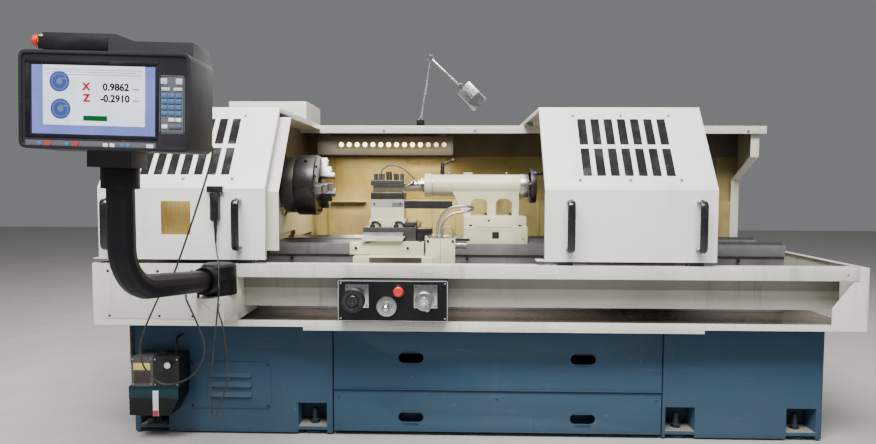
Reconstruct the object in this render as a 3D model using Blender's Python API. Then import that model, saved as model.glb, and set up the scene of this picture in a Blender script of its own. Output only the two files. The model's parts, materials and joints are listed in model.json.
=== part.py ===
"""CNC turning lathe on a fabricated base, with sliding hoods, a three-jaw chuck, a carriage with a
square tool post, a tailstock and a control pendant on a swinging arm. Metres, +Z up, +X towards the
tailstock, the operator stands at -Y. Inside the script X = 0 is the middle of the chip tray, Y = 0
the spindle axis and Z = 0 the floor; the last step moves the whole machine so that the origin is
on the floor, in the middle of its bounding box."""

import math

import bmesh
import bpy
from mathutils import Matrix, Vector

# Fits
SEAT = 0.0003
RUN = 0.0005
OVERRUN = 0.02
SINK = 0.002

# Main sizes
BASE_HEIGHT = 0.545
SPINDLE_HEIGHT = BASE_HEIGHT + 0.623
BASE_FRONT = -0.445
BASE_BACK = 0.455
LEFT_PEDESTAL_END = -1.594
LEFT_PEDESTAL_BAY = -0.652
RIGHT_PEDESTAL_BAY = 0.870
RIGHT_PEDESTAL_END = 1.602
EDGE_RADIUS = 0.012

# Levelling pockets in the pedestals
CASTING_LIFT = 0.010
POCKET_WIDTH = 0.135
POCKET_BOTTOM = 0.040
POCKET_TOP = 0.152
POCKET_DEPTH = 0.120
NOTCH_TOP = 0.024
OUTER_POCKET_INSET = 0.030
LEFT_BAY_POCKET_INSET = 0.030
RIGHT_BAY_POCKET_INSET = 0.016
PAD_RADIUS = 0.045
PAD_THICKNESS = 0.012
LEVEL_BOLT_RADIUS = 0.013
LEVEL_BOLT_TOP = 0.110
LEVEL_NUT_RADIUS = 0.023
LEVEL_NUT_HEIGHT = 0.020

# Louvred access panel
ACCESS_WIDTH = 0.379
ACCESS_BOTTOM = 0.123
ACCESS_TOP = 0.344
ACCESS_LEFT = -1.324
ACCESS_THICKNESS = 0.003
LOUVRE_COUNT = 3
LOUVRE_WIDTH = 0.198
LOUVRE_PITCH = 0.047
LOUVRE_HEIGHT = 0.022
LOUVRE_PROUD = 0.012
LOUVRE_TOP_SHARE = 0.78

# Chip drawer and coolant tank between the pedestals
SHEET = 0.003
PANEL_THICKNESS = 0.004
DRAWER_TOP = 0.513
DRAWER_BOTTOM = 0.221
DRAWER_SIDE_GAP = 0.004
DRAWER_BOX_INSET = 0.028
DRAWER_DEPTH = 0.820
DRAWER_LIP = 0.010
RUNNER_WIDTH = 0.045
RUNNER_THICKNESS = 0.012
RUNNER_SHARE = 0.9
TANK_TOP = 0.205
TANK_FLOOR = 0.022
TANK_SKIRT_GAP = 0.060
TANK_SKID_WIDTH = 0.050
GRIP_WIDTH = 0.117
GRIP_HEIGHT = 0.046
GRIP_LEFT_SHARE = 0.237
GRIP_RIGHT_SHARE = 0.762
DRAWER_GRIP_SHARE = 0.51
TANK_GRIP_SHARE = 0.44

# Chip tray
TRAY_HALF = 1.690
TRAY_FRONT = -0.600
TRAY_BACK = 0.700
TRAY_TOP = BASE_HEIGHT + 0.277
TRAY_SHEET = 0.006
LIP_HEIGHT = 0.026
LIP_THICKNESS = 0.020
DRIP_LEFT = -0.755
DRIP_RIGHT = 0.997
DRIP_DROP = 0.016
DRIP_DEPTH = 0.035
LEFT_FRONT_END = -1.046
COVER_LEFT_INSET = 0.057
COVER_RIGHT_INSET = 0.184
COVER_BOTTOM_INSET = 0.032
COVER_TOP_INSET = 0.040
COVER_PROUD = 0.002
RAIL_HEIGHT = 0.058
RAIL_DEPTH = 0.068
WEB_SETBACK = 0.095
WEB_THICKNESS = 0.004
WEB_BOTTOM = BASE_HEIGHT + 0.076
WEB_RIGHT_GAP = 0.070
POST_WIDTH = 0.040
END_FLANGE = 0.020
GUSSET_TOP_SHARE = 0.16
GUSSET_MID_SHARE = 0.62
GUSSET_WIDTH = 0.110

# Bed
BED_LEFT = 0.09 - TRAY_HALF
BED_RIGHT = TRAY_HALF - 0.16
BED_HALF_WIDTH = 0.200
BED_TOP = BASE_HEIGHT + 0.335
WAY_WIDTH = 0.085
WAY_DEPTH = 0.055
BED_WEB = 0.030
BED_FOOT_HEIGHT = 0.045
VEE_HEIGHT = 0.014
VEE_WIDTH = 0.040
VEE_OFFSET = 0.155
RIB_COUNT = 7
RIB_THICKNESS = 0.030
RIB_DROP = 0.090
SCREW_RADIUS = 0.020
SCREW_FORWARD = 0.045
SCREW_HEIGHT = BASE_HEIGHT + 0.16
SCREW_BLOCK_LENGTH = 0.060
SCREW_BLOCK_HALF = 0.045

# Headstock
HEAD_LEFT = -1.560
HEAD_RIGHT = -1.006
HEAD_HALF_WIDTH = 0.215
HEAD_TOP = BASE_HEIGHT + 0.875
HEAD_SHOULDER = 0.090
HEAD_FOOT_HEIGHT = 0.060
NOSE_RADIUS = 0.120
NOSE_LENGTH = 0.012
SPINDLE_RADIUS = 0.070
SPINDLE_BORE = 0.052
SPINDLE_TAIL = 0.080
ADAPTER_LEFT = -0.968
ADAPTER_RADIUS = 0.146
CHUCK_LEFT = -0.908
CHUCK_FACE = -0.800
CHUCK_RADIUS = 0.1575
CHUCK_BORE = 0.045
CHUCK_CHAMFER = 0.006
CHUCK_STEPS = 40
JAW_COUNT = 3
JAW_TURN_DEG = 100.0
JAW_WIDTH = 0.040
JAW_GROOVE = 0.026
JAW_GROOVE_DEPTH = 0.018
JAW_INNER = 0.040
JAW_OUTER = 0.146
JAW_HEIGHT = 0.078
JAW_STEPS_SHARE = ((0.21, 0.74), (0.53, 0.44))
KEY_SOCKET = 0.016
KEY_SOCKET_DEPTH = 0.030

# Sliding hoods
DOOR_WIDTH = 0.742
LEFT_DOOR_LEFT = -1.663
RIGHT_DOOR_LEFT = 0.303
DOOR_FRONT = -0.590
DOOR_BOTTOM = BASE_HEIGHT + 0.294
DOOR_BEND = BASE_HEIGHT + 0.608
DOOR_TOP = BASE_HEIGHT + 0.99
DOOR_TOP_FRONT = -0.330
DOOR_ROOF_BACK = 0.640
DOOR_SHEET = 0.0025
DOOR_FLANGE = 0.022
DOOR_SHOE_LENGTH = 0.070
DOOR_SHOE_WIDTH = 0.030
DOOR_SHOE_SHARES = (0.12, 0.88)
SLOT_COLUMNS = 7
SLOT_PITCH = 0.0605
SLOT_WIDTH = 0.039
SLOT_ROWS_SHARE = ((0.150, 0.471), (0.518, 0.843))
WINDOW_THICKNESS = 0.004
WINDOW_MARGIN = 0.028
HANDLE_BOTTOM = BASE_HEIGHT + 0.335
HANDLE_LENGTH = 0.220
HANDLE_WIDTH = 0.036
HANDLE_PROUD = 0.048
HANDLE_BAR = 0.014
HANDLE_FOOT = 0.026
RIGHT_DOOR_HANDLE_INSETS = (0.111, 0.684)
LEFT_DOOR_HANDLE_INSETS = (0.077, 0.638)

# Fixed guard beside the left hood
GUARD_RIGHT = -0.872
GUARD_WALL = -0.990
GUARD_CLEAR = 0.022
GUARD_SHEET = 0.004
GUARD_BOTTOM = BASE_HEIGHT + 0.331
GUARD_BACK = 0.640
GUARD_HOLE = 0.165

# Rear guard
ROOF_LEFT = 0.07 - TRAY_HALF
ROOF_RIGHT = TRAY_HALF - 0.005
ROOF_TOP = BASE_HEIGHT + 0.967
ROOF_FRONT = 0.370
ROOF_FLANGE = 0.044
ROOF_SHEET = 0.003
REAR_THICKNESS = 0.020
REAR_STEP_HEIGHT = BASE_HEIGHT + 0.528
REAR_STEP = 0.022
RIGHT_END_X = TRAY_HALF - 0.035
END_SHEET = 0.003
END_LOWER_FRONT = 0.655
END_UPPER_FRONT = 0.400
END_LOWER_TOP = BASE_HEIGHT + 0.662
END_UPPER_BOTTOM = BASE_HEIGHT + 0.792
END_RETURN = 0.045
ROOF_BOX_LEFT = -1.500
ROOF_BOX_RIGHT = -1.017
ROOF_BOX_FRONT = 0.652
ROOF_BOX_BACK = 1.080
ROOF_BOX_HEIGHT = 0.174
CABINET_LEFT = -1.520
CABINET_DEPTH = 0.370
CABINET_BOTTOM = BASE_HEIGHT + 0.055
CABINET_DOOR_INSET = 0.025
CABINET_DOOR_PROUD = 0.006

# Work light under the roof
LIGHT_LEFT = -0.900
LIGHT_RIGHT = -0.102
LIGHT_FRONT = 0.430
LIGHT_DEPTH = 0.060
LIGHT_BOTTOM = BASE_HEIGHT + 0.8
LIGHT_TOP = BASE_HEIGHT + 0.91
LIGHT_WINDOW_LEFT = -0.783
LIGHT_WINDOW_RIGHT = -0.137
LIGHT_WINDOW_HEIGHT = 0.050
LIGHT_HANGER = 0.040

# Carriage
SADDLE_LEFT = -0.490
SADDLE_RIGHT = -0.235
SADDLE_FRONT = -0.360
SADDLE_BACK = 0.300
SADDLE_TOP = BASE_HEIGHT + 0.355
SADDLE_NOSE_BOTTOM = BASE_HEIGHT + 0.294
SADDLE_NOSE_DEPTH = 0.100
WING_LENGTH = 0.045
WING_INSET = 0.085
DOVETAIL_HEIGHT = 0.024
DOVETAIL_TOP_WIDTH = 0.150
DOVETAIL_BOTTOM_WIDTH = 0.124
APRON_FRONT = -0.450
APRON_BACK = -0.210
APRON_BOTTOM = BASE_HEIGHT + 0.045
APRON_RIGHT = -0.190
SIDE_BOX_LEFT = -0.222
SIDE_BOX_RIGHT = -0.087
SIDE_BOX_FRONT = -0.440
SIDE_BOX_BACK = -0.300
SIDE_BOX_BOTTOM = BASE_HEIGHT + 0.245
SIDE_BOX_TOP = BASE_HEIGHT + 0.38
PLUNGER_RADIUS = 0.018
PLUNGER_LENGTH = 0.055
PANEL_ARM_WIDTH = 0.200
PANEL_ARM_BOTTOM = BASE_HEIGHT + 0.045
PANEL_ARM_TOP = BASE_HEIGHT + 0.067
PANEL_ARM_PLATE = 0.012
PANEL_ARM_PLATE_TOP = BASE_HEIGHT + 0.185

# Control panel on the carriage
PANEL_LEFT = -0.588
PANEL_RIGHT = -0.118
PANEL_FRONT = -0.660
PANEL_BACK = -0.535
PANEL_BOTTOM = BASE_HEIGHT + 0.041
PANEL_TOP = BASE_HEIGHT + 0.2155
PANEL_CORNER = 0.010
PANEL_FRAME = 0.008
DIAL_PLATE = 0.100
DIAL_PLATE_PROUD = 0.006
DIAL_HEIGHT = BASE_HEIGHT + 0.15
Z_DIAL_X = -0.506
X_DIAL_X = -0.212
DIAL_BOSS_RADIUS = 0.022
DIAL_BOSS_LENGTH = 0.040
DIAL_SHAFT_RADIUS = 0.012
DIAL_WHEEL_OUT = 0.128
DIAL_SHAFT_DEPTH = 0.030
WHEEL_RIM_SHARE = 0.84
WHEEL_DISH_SHARE = 0.4
KNOB_TURN_DEG = -60.0
WHEEL_THICKNESS = 0.022
Z_WHEEL_RADIUS = 0.050
X_WHEEL_RADIUS = 0.040
KNOB_RADIUS = 0.009
KNOB_LENGTH = 0.045
KNOB_ORBIT_SHARE = 0.72
STICK_X = -0.379
STICK_HEIGHT = BASE_HEIGHT + 0.105
STICK_PLATE_RADIUS = 0.043
STICK_BALL_RADIUS = 0.016
STICK_LENGTH = 0.045
STICK_ROD_RADIUS = 0.006
STICK_CUP_DEPTH = 0.016
STICK_PIVOT_RADIUS = 0.012
STOP_X = -0.327
STOP_HEIGHT = BASE_HEIGHT + 0.172
STOP_RADIUS = 0.022
STOP_STEM_RADIUS = 0.012
STOP_TRAVEL = 0.004
STOP_CAP = 0.016
STOP_RING_RADIUS = 0.018
STOP_RING_LENGTH = 0.010
STOP_STEM_DEPTH = 0.010
CAP_ROUND_SHARE = 0.35

# Cross slide, riser and tool post
SLIDE_LEFT = -0.530
SLIDE_RIGHT = -0.275
SLIDE_FRONT = -0.300
SLIDE_BACK = 0.240
SLIDE_TOP = BASE_HEIGHT + 0.421
RISER_LEFT = -0.495
RISER_RIGHT = -0.335
RISER_FRONT = -0.280
RISER_BACK = -0.110
RISER_TOP = BASE_HEIGHT + 0.5545
RISER_FLANGE = 0.006
RISER_FLANGE_HEIGHT = 0.036
CHIP_BAR_LENGTH = 0.235
CHIP_BAR_TOP = BASE_HEIGHT + 0.549
CHIP_BAR_HEIGHT = 0.038
CHIP_BAR_DEPTH = 0.030
POST_LOWER_TOP = BASE_HEIGHT + 0.588
POST_WAIST_TOP = BASE_HEIGHT + 0.623
POST_UPPER_TOP = BASE_HEIGHT + 0.647
POST_WAIST_INSET = 0.010
POST_BOLT_RADIUS = 0.007
POST_BOLT_HEIGHT = 0.034
POST_STUD_RADIUS = 0.014
POST_STUD_HEIGHT = 0.044
POST_BOLT_INSET = 0.016
POST_BOLT_SHARES = (-0.55, 0.55)
SHANK_LENGTH = 0.082
SHANK_SIDE = 0.026
SHANK_TOP = BASE_HEIGHT + 0.621

# Tailstock
TAIL_LEFT = -0.044
TAIL_RIGHT = 0.270
TAIL_HALF_WIDTH = 0.200
TAIL_SPLIT = BASE_HEIGHT + 0.42
TAIL_FOOT_TOP = BASE_HEIGHT + 0.467
TAIL_FOOT_HALF = 0.140
BARREL_LEFT = -0.246
BARREL_RIGHT = 0.250
BARREL_RADIUS = 0.057
COLLAR_RADIUS = 0.061
COLLAR_LENGTH = 0.034
CAP_LENGTH = 0.040
WEB_HALF = 0.048
WEB_END_INSET = 0.010
WEB_BROW = 0.140
WEB_TOP_DROP = 0.020
ARCH_WIDTH = 0.086
ARCH_TOP = BASE_HEIGHT + 0.555
ARCH_RADIUS = 0.030
ARCH_CENTRES = (0.036, 0.164)
QUILL_RADIUS = 0.036
QUILL_OUT = 0.024
CENTRE_TIP = 0.075
CENTRE_RADIUS = 0.026
TAIL_BORE_END = 0.200
QUILL_LENGTH = 0.420
CENTRE_HALF_ANGLE_DEG = 30.0
TAIL_SHAFT_RADIUS = 0.014
TOP_BOSS_LENGTH = 0.046
TOP_BOSS_HALF = 0.022
TOP_BOSS_RISE = 0.010
TAIL_WHEEL_RADIUS = 0.090
TAIL_WHEEL_RIM = 0.014
TAIL_WHEEL_GAP = 0.010
TAIL_WHEEL_THICKNESS = 0.028
TAIL_HUB_RADIUS = 0.026
TAIL_SPOKES = 3
TAIL_SPOKE_WIDTH = 0.022
SPOKE_INSET_SHARE = 0.25
TAIL_KNOB_TURN_DEG = 40.0
LEVER_X = -0.155
LEVER_POST_RADIUS = 0.011
LEVER_POST_HEIGHT = 0.060
LEVER_PIN_DEPTH = 0.016
LEVER_REACH = 0.055
LEVER_RISE = 0.012
LEVER_BAR_RADIUS = 0.007
LEVER_KNOB_RADIUS = 0.013
SOCKET_SIDE = 0.034

# Pendant arm
BOX_LEFT = -1.138
BOX_RIGHT = -1.026
BOX_REACH = 0.220
BOX_BOTTOM = BASE_HEIGHT + 0.067
BOX_TOP = BASE_HEIGHT + 0.162
KNUCKLE_X = -1.086
KNUCKLE_Y = -0.706
KNUCKLE_RADIUS = 0.072
KNUCKLE_HEIGHT = 0.130
KNUCKLE_NECK = 0.056
KNUCKLE_CHAMFER = 0.010
KNUCKLE_PIN_RADIUS = 0.030
KNUCKLE_PIN_DEPTH = 0.040
SLEEVE_LENGTH = 0.125
ARM_INSERT = 0.030
ARM_RADIUS = 0.0445
ARM_STEPS = 20
ARM_TOP_X = -1.194
ARM_TOP_Y = -1.300
ARM_NEAR_HEIGHT = BASE_HEIGHT + 0.222
ARM_FAR_HEIGHT = BASE_HEIGHT + 0.277
ARM_BEND = 0.150
ARM_BEND_STEPS = 8
COLLAR_BOTTOM = BASE_HEIGHT + 0.615
NECK_COLLAR_RADIUS = 0.060
NECK_COLLAR_HEIGHT = 0.064
PENDANT_ROLL_DEG = 1.5
PENDANT_PIN_RADIUS = 0.025
PENDANT_PIN_HEIGHT = 0.030
LOCK_RADIUS = 0.006
LOCK_LENGTH = 0.062
LOCK_STUB = 0.018
LOCK_HEIGHT = BASE_HEIGHT + 0.19

# Pendant
PENDANT_WIDTH = 0.531
PENDANT_HEIGHT = 0.300
PENDANT_OFFSET = 0.025
PENDANT_FRONT = -1.450
PENDANT_DEPTH = 0.190
PENDANT_BACK_DEPTH = 0.020
PENDANT_BACK_INSET = 0.045
PENDANT_CORNER = 0.022
PENDANT_BLOCK_HALF = 0.072
PENDANT_BLOCK_HEIGHT = 0.052
HUMP_HEIGHT = 0.062
HUMP_LOW_SHARE = 0.66
HUMP_LEFT_INSET = 0.048
HUMP_STEP_LEFT_SHARE = 0.525
HUMP_STEP_RIGHT_SHARE = 0.635
HUMP_FRONT_DEPTH = 0.045
HUMP_RIGHT_INSET = 0.010
BEZEL_RECESS = 0.004
BEZEL_WALL = 0.010
SCREEN_LEFT_INSET = 0.038
SCREEN_WIDTH = 0.384
SCREEN_BOTTOM_INSET = 0.046
SCREEN_HEIGHT = 0.210
ESTOP_RADIUS = 0.020
ESTOP_CAP = 0.022
ESTOP_STEM_RADIUS = 0.011
ESTOP_RING_RADIUS = 0.021
ESTOP_RING_LENGTH = 0.026
ESTOP_TRAVEL = 0.004
ESTOP_DEPTH = 0.060

# Remote stop and go handset on the left hood
HANDSET_X = -1.135
HANDSET_BOTTOM = BASE_HEIGHT + 0.465
HANDSET_HEIGHT = 0.125
HANDSET_WIDTH = 0.036
HANDSET_DEPTH = 0.030
HOLDER_WIDTH = 0.072
HOLDER_HEIGHT = 0.028
HOLDER_DEPTH = 0.018
RELIEF_LENGTH = 0.075
RELIEF_RADIUS = 0.009

# Work lamp on the roof edge
LAMP_X = -0.290
LAMP_Y = 0.392
LAMP_BASE_WIDTH = 0.044
LAMP_BASE_HEIGHT = 0.032
LAMP_ELBOW_X = -0.233
LAMP_ELBOW_Z = ROOF_TOP + 0.385
LAMP_KNEE_X = -0.060
LAMP_KNEE_Z = ROOF_TOP + 0.223
LAMP_TUBE = 0.006
LAMP_JOINT_RADIUS = 0.016
LAMP_JOINT_HALF = 0.009
LAMP_PIN_RADIUS = 0.005
LAMP_PIN_DEPTH = 0.016
LAMP_BASE_DEPTH_SHARE = 0.95
LAMP_HEAD_LENGTH = 0.135
LAMP_HEAD_SIDE = 0.096
LAMP_HEAD_DEG = 45.0
LAMP_HEAD_GAP = 0.004
LAMP_HEAD_CORNER = 0.008
LAMP_LENS_DEPTH = 0.006

# Lubricator on the left pedestal
LUBE_LEFT = -1.545
LUBE_RIGHT = -1.325
LUBE_MID_SHARE = 0.46
LUBE_DEPTH = 0.120
LUBE_BOX_BOTTOM = 0.258
LUBE_BOX_TOP = 0.392
TANK_BOTTOM_Z = 0.125
TANK_FLARE = 0.012
TANK_TAPER = 0.040
LUBE_PIPE_RADIUS = 0.006
LUBE_HOSE_RADIUS = 0.010
GAUGE_X = -1.374
GAUGE_Z = 0.359
GAUGE_RADIUS = 0.018
GAUGE_PROUD = 0.010
PIPE_X = -1.360
PIPE_TOP = 0.470
HOSE_LOW = 0.340

# Cords: each route is x, y and the height over the base
CORD_RADIUS = 0.0035
HANDSET_CORD_RADIUS = 0.003
CONDUIT_RADIUS = 0.006
CONDUIT_SHORT_RADIUS = 0.0035
COOLANT_RADIUS = 0.003
CORD_SPACING = 2.6
PENDANT_CABLE = (
    (-0.960, -1.2395, 0.815), (-0.960, -1.228, 0.815), (-0.948, -1.190, 0.775), (-0.938, -1.175, 0.705),
    (-1.165, -0.940, 0.31), (-1.215, -0.930, 0.23), (-1.269, -0.900, 0.156), (-1.346, -0.870, -0.001),
    (-1.351, -0.850, -0.105),
    (-1.292, -0.850, -0.176), (-1.233, -0.850, -0.184), (-1.154, -0.850, -0.152), (-1.102, -0.850, -0.073),
    (-1.091, -0.870, -0.001), (-1.110, -0.910, 0.097), (-1.1295, -0.945, 0.18), (-1.1295, -0.945, 0.1983),
)
HANDSET_CABLE = (
    (-1.135, -0.6053, 0.3895), (-1.135, -0.6053, 0.37), (-1.110, -0.660, 0.333), (-1.057, -0.790, 0.305),
    (-1.043, -0.830, 0.228), (-1.037, -0.850, 0.172), (-1.071, -0.860, -0.204), (-1.059, -0.860, -0.318),
    (-1.013, -0.860, -0.204), (-0.996, -0.865, -0.129), (-1.013, -0.868, 0.045), (-1.035, -0.856, 0.11),
    (-1.045, -0.835, 0.135), (-1.045, -0.8205, 0.135),
)
CONDUIT_LOOP = (
    (-0.170, -0.420, 0.3805), (-0.170, -0.420, 0.4), (-0.168, -0.428, 0.43), (-0.158, -0.450, 0.47),
    (-0.135, -0.472, 0.505), (-0.100, -0.486, 0.525), (-0.057, -0.490, 0.531), (-0.021, -0.476, 0.529),
    (-0.002, -0.434, 0.519), (-0.021, -0.392, 0.507), (-0.056, -0.378, 0.5), (-0.100, -0.378, 0.491),
    (-0.135, -0.379, 0.465), (-0.151, -0.380, 0.427), (-0.152, -0.380, 0.4), (-0.152, -0.380, 0.3805),
)
CONDUIT_SHORT = (
    (-0.146, -0.335, 0.3805), (-0.146, -0.335, 0.393), (-0.1435, -0.335, 0.411), (-0.134, -0.335, 0.423),
    (-0.121, -0.335, 0.427), (-0.108, -0.335, 0.423), (-0.0985, -0.335, 0.411), (-0.096, -0.335, 0.393),
    (-0.096, -0.335, 0.3805),
)
COOLANT_LINE = (
    (-0.450, -0.250, 0.6475), (-0.450, -0.250, 0.67), (-0.440, -0.250, 0.7), (-0.404, -0.250, 0.721),
    (-0.367, -0.250, 0.715), (-0.330, -0.250, 0.695), (-0.290, -0.257, 0.66), (-0.270, -0.257, 0.635),
    (-0.270, -0.257, 0.6218),
)


def clear_scene():
    for obj in list(bpy.data.objects):
        bpy.data.objects.remove(obj)


MATERIALS = {}


def material(name, colour, rough, metal=0.0, alpha=1.0):
    made = bpy.data.materials.new(name)
    made.use_nodes = True
    shader = made.node_tree.nodes["Principled BSDF"]
    shader.inputs["Base Color"].default_value = (*colour, 1)
    shader.inputs["Roughness"].default_value = rough
    shader.inputs["Metallic"].default_value = metal
    shader.inputs["Alpha"].default_value = alpha
    made.diffuse_color = (*colour, alpha)
    MATERIALS[name] = made


def make_materials():
    material("blue_paint", (0.09, 0.21, 0.30), 0.5)
    material("cream_paint", (0.72, 0.70, 0.60), 0.45)
    material("white_paint", (0.80, 0.80, 0.76), 0.4)
    material("splash_paint", (0.62, 0.55, 0.33), 0.5)
    material("black_plastic", (0.02, 0.02, 0.022), 0.45)
    material("black_paint", (0.018, 0.018, 0.02), 0.4)
    material("steel", (0.42, 0.43, 0.45), 0.35, 0.9)
    material("dark_iron", (0.10, 0.10, 0.11), 0.45, 0.8)
    material("bright_steel", (0.75, 0.75, 0.76), 0.2, 1.0)
    material("smoked_window", (0.05, 0.05, 0.06), 0.15, 0.0, 0.8)
    material("red_plastic", (0.6, 0.02, 0.02), 0.35)
    material("teal_plastic", (0.02, 0.14, 0.14), 0.35)
    material("cable_black", (0.02, 0.02, 0.02), 0.5)
    material("conduit_silver", (0.6, 0.6, 0.6), 0.3, 0.9)


# Plain shapes, each returned as a mesh that fuse() adds or cuts


def mesh_of(bm, name="shape"):
    bmesh.ops.recalc_face_normals(bm, faces=bm.faces)
    mesh = bpy.data.meshes.new(name)
    bm.to_mesh(mesh)
    bm.free()
    return mesh


def prism(outline, axis, low, high):
    """An outline extruded along an axis: (y, z) points along x, (x, z) along y, (x, y) along z."""
    place = {"x": lambda a, b, t: (t, a, b), "y": lambda a, b, t: (a, t, b), "z": lambda a, b, t: (a, b, t)}
    put = place[axis]
    bm = bmesh.new()
    face = bm.faces.new([bm.verts.new(put(a, b, low)) for a, b in outline])
    grown = bmesh.ops.extrude_face_region(bm, geom=[face])["geom"]
    move = Vector(put(0, 0, high - low))
    bmesh.ops.translate(bm, vec=move, verts=[v for v in grown if isinstance(v, bmesh.types.BMVert)])
    return mesh_of(bm)


def box(x, y, z):
    """A plain box between two values on each axis."""
    return prism([(x[0], z[0]), (x[1], z[0]), (x[1], z[1]), (x[0], z[1])], "y", y[0], y[1])


def arc(centre, radius, start_deg, end_deg, steps):
    angles = [math.radians(start_deg + (end_deg - start_deg) * i / steps) for i in range(steps + 1)]
    return [(centre[0] + radius * math.cos(a), centre[1] + radius * math.sin(a)) for a in angles]


def rounded(low, high, radius, steps=4):
    """A rectangle with round corners, from its lower left and upper right corners."""
    (a, b), (c, d) = low, high
    corners = (((c - radius, b + radius), -90), ((c - radius, d - radius), 0))
    corners += (((a + radius, d - radius), 90), ((a + radius, b + radius), 180))
    return [p for centre, start in corners for p in arc(centre, radius, start, start + 90, steps)]


def circle(centre, radius, steps):
    return arc(centre, radius, 0, 360 * (steps - 1) / steps, steps - 1)


def soft_box(x, y, z, radius, axis="z", steps=2):
    """A box whose edges along one axis are rounded."""
    if axis == "z":
        return prism(rounded((x[0], y[0]), (x[1], y[1]), radius, steps), "z", z[0], z[1])
    if axis == "y":
        return prism(rounded((x[0], z[0]), (x[1], z[1]), radius, steps), "y", y[0], y[1])
    return prism(rounded((y[0], z[0]), (y[1], z[1]), radius, steps), "x", x[0], x[1])


AXES = {
    "x": Matrix(((0, 0, 1, 0), (0, 1, 0, 0), (-1, 0, 0, 0), (0, 0, 0, 1))),
    "y": Matrix(((1, 0, 0, 0), (0, 0, 1, 0), (0, -1, 0, 0), (0, 0, 0, 1))),
    "z": Matrix.Identity(4),
}


def turned(profile, axis, centre, steps=24):
    """Turns a profile of (radius, distance along the axis) about an axis through centre. A profile
    that starts and ends on the axis is solid, and any other is a ring."""
    bm = bmesh.new()
    rings = []
    for radius, along in profile:
        if radius == 0:
            rings.append([bm.verts.new((0, 0, along))])
            continue
        points = circle((0, 0), radius, steps)
        rings.append([bm.verts.new((a, b, along)) for a, b in points])
    closed = profile[0][0] > 0
    pairs = list(zip(rings, rings[1:])) + ([(rings[-1], rings[0])] if closed else [])
    for low, high in pairs:
        for i in range(steps):
            j = (i + 1) % steps
            ends = [low[i % len(low)], low[j % len(low)], high[j % len(high)], high[i % len(high)]]
            bm.faces.new(list(dict.fromkeys(ends)))
    mesh = mesh_of(bm)
    mesh.transform(Matrix.Translation(centre) @ AXES[axis])
    return mesh


def disc(axis, centre, radius, low, high, steps=24):
    return turned([(0, low), (radius, low), (radius, high), (0, high)], axis, centre, steps)


def ring(axis, centre, inner, outer, low, high, steps=24):
    return turned([(inner, low), (outer, low), (outer, high), (inner, high)], axis, centre, steps)


def rod(start, end, radius, steps=12):
    """A round bar between two points."""
    along = Vector(end) - Vector(start)
    mesh = turned([(0, 0), (radius, 0), (radius, along.length), (0, along.length)], "z", (0, 0, 0), steps)
    mesh.transform(Matrix.Translation(start) @ along.to_track_quat("Z", "Y").to_matrix().to_4x4())
    return mesh


def swept(points, radius, steps=3):
    """A round tube along a polyline of points, from a curve with a bevel and filled caps."""
    curve = bpy.data.curves.new("path", "CURVE")
    curve.dimensions = "3D"
    curve.bevel_depth = radius
    curve.bevel_resolution = steps
    curve.use_fill_caps = True
    spline = curve.splines.new("POLY")
    spline.points.add(len(points) - 1)
    for point, place in zip(spline.points, points):
        point.co = (*place, 1)
    holder = bpy.data.objects.new("path", curve)
    bpy.context.collection.objects.link(holder)
    bpy.context.view_layer.update()
    mesh = bpy.data.meshes.new_from_object(holder.evaluated_get(bpy.context.evaluated_depsgraph_get()))
    bpy.data.objects.remove(holder)
    bm = bmesh.new()
    bm.from_mesh(mesh)
    bmesh.ops.remove_doubles(bm, verts=bm.verts, dist=radius * 1e-3)
    return mesh_of(bm)


def merged(meshes):
    """Separate closed shapes in one mesh, for one cut."""
    bm = bmesh.new()
    for mesh in meshes:
        bm.from_mesh(mesh)
    return mesh_of(bm)


def moved(mesh, matrix):
    mesh.transform(matrix)
    return mesh


def about(axis, degrees, centre=(0, 0, 0)):
    there = Matrix.Translation(centre)
    return there @ Matrix.Rotation(math.radians(degrees), 4, axis) @ there.inverted()


def folded(points, thickness):
    """The closed outline of a sheet bent along points, its thickness on the right of the path."""
    path = [Vector(p) for p in points]
    turns = []
    for i, point in enumerate(path):
        before = (point - path[i - 1]).normalized() if i else (path[1] - point).normalized()
        after = (path[i + 1] - point).normalized() if i + 1 < len(path) else before
        across = Vector((before.y + after.y, -before.x - after.x)).normalized()
        turns.append(point + across * (thickness / max(across.dot(Vector((before.y, -before.x))), 0.3)))
    return [tuple(p) for p in path] + [tuple(p) for p in reversed(turns)]


def hole_radius(radius, steps):
    """A faceted hole whose flats clear a shaft of this radius by the running clearance."""
    return (radius + RUN) / math.cos(math.pi / steps)


# Bodies: an empty on each joint's axis, carried by its parent's empty

PLACES = {}


def body(name, at=(0, 0, 0), parent="machine"):
    empty = bpy.data.objects.new("axis_of_" + name, None)
    bpy.context.collection.objects.link(empty)
    PLACES[name] = (empty, Vector(at))
    if name != parent:
        carrier, carrier_at = PLACES[parent]
        empty.parent = carrier
        empty.location = Vector(at) - carrier_at
    return name


def operand(mesh, paint):
    mesh.materials.clear()
    mesh.materials.append(MATERIALS[paint])
    helper = bpy.data.objects.new("operand", mesh)
    bpy.context.collection.objects.link(helper)
    helper.hide_render = True
    helper.display_type = "WIRE"
    return helper


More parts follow.
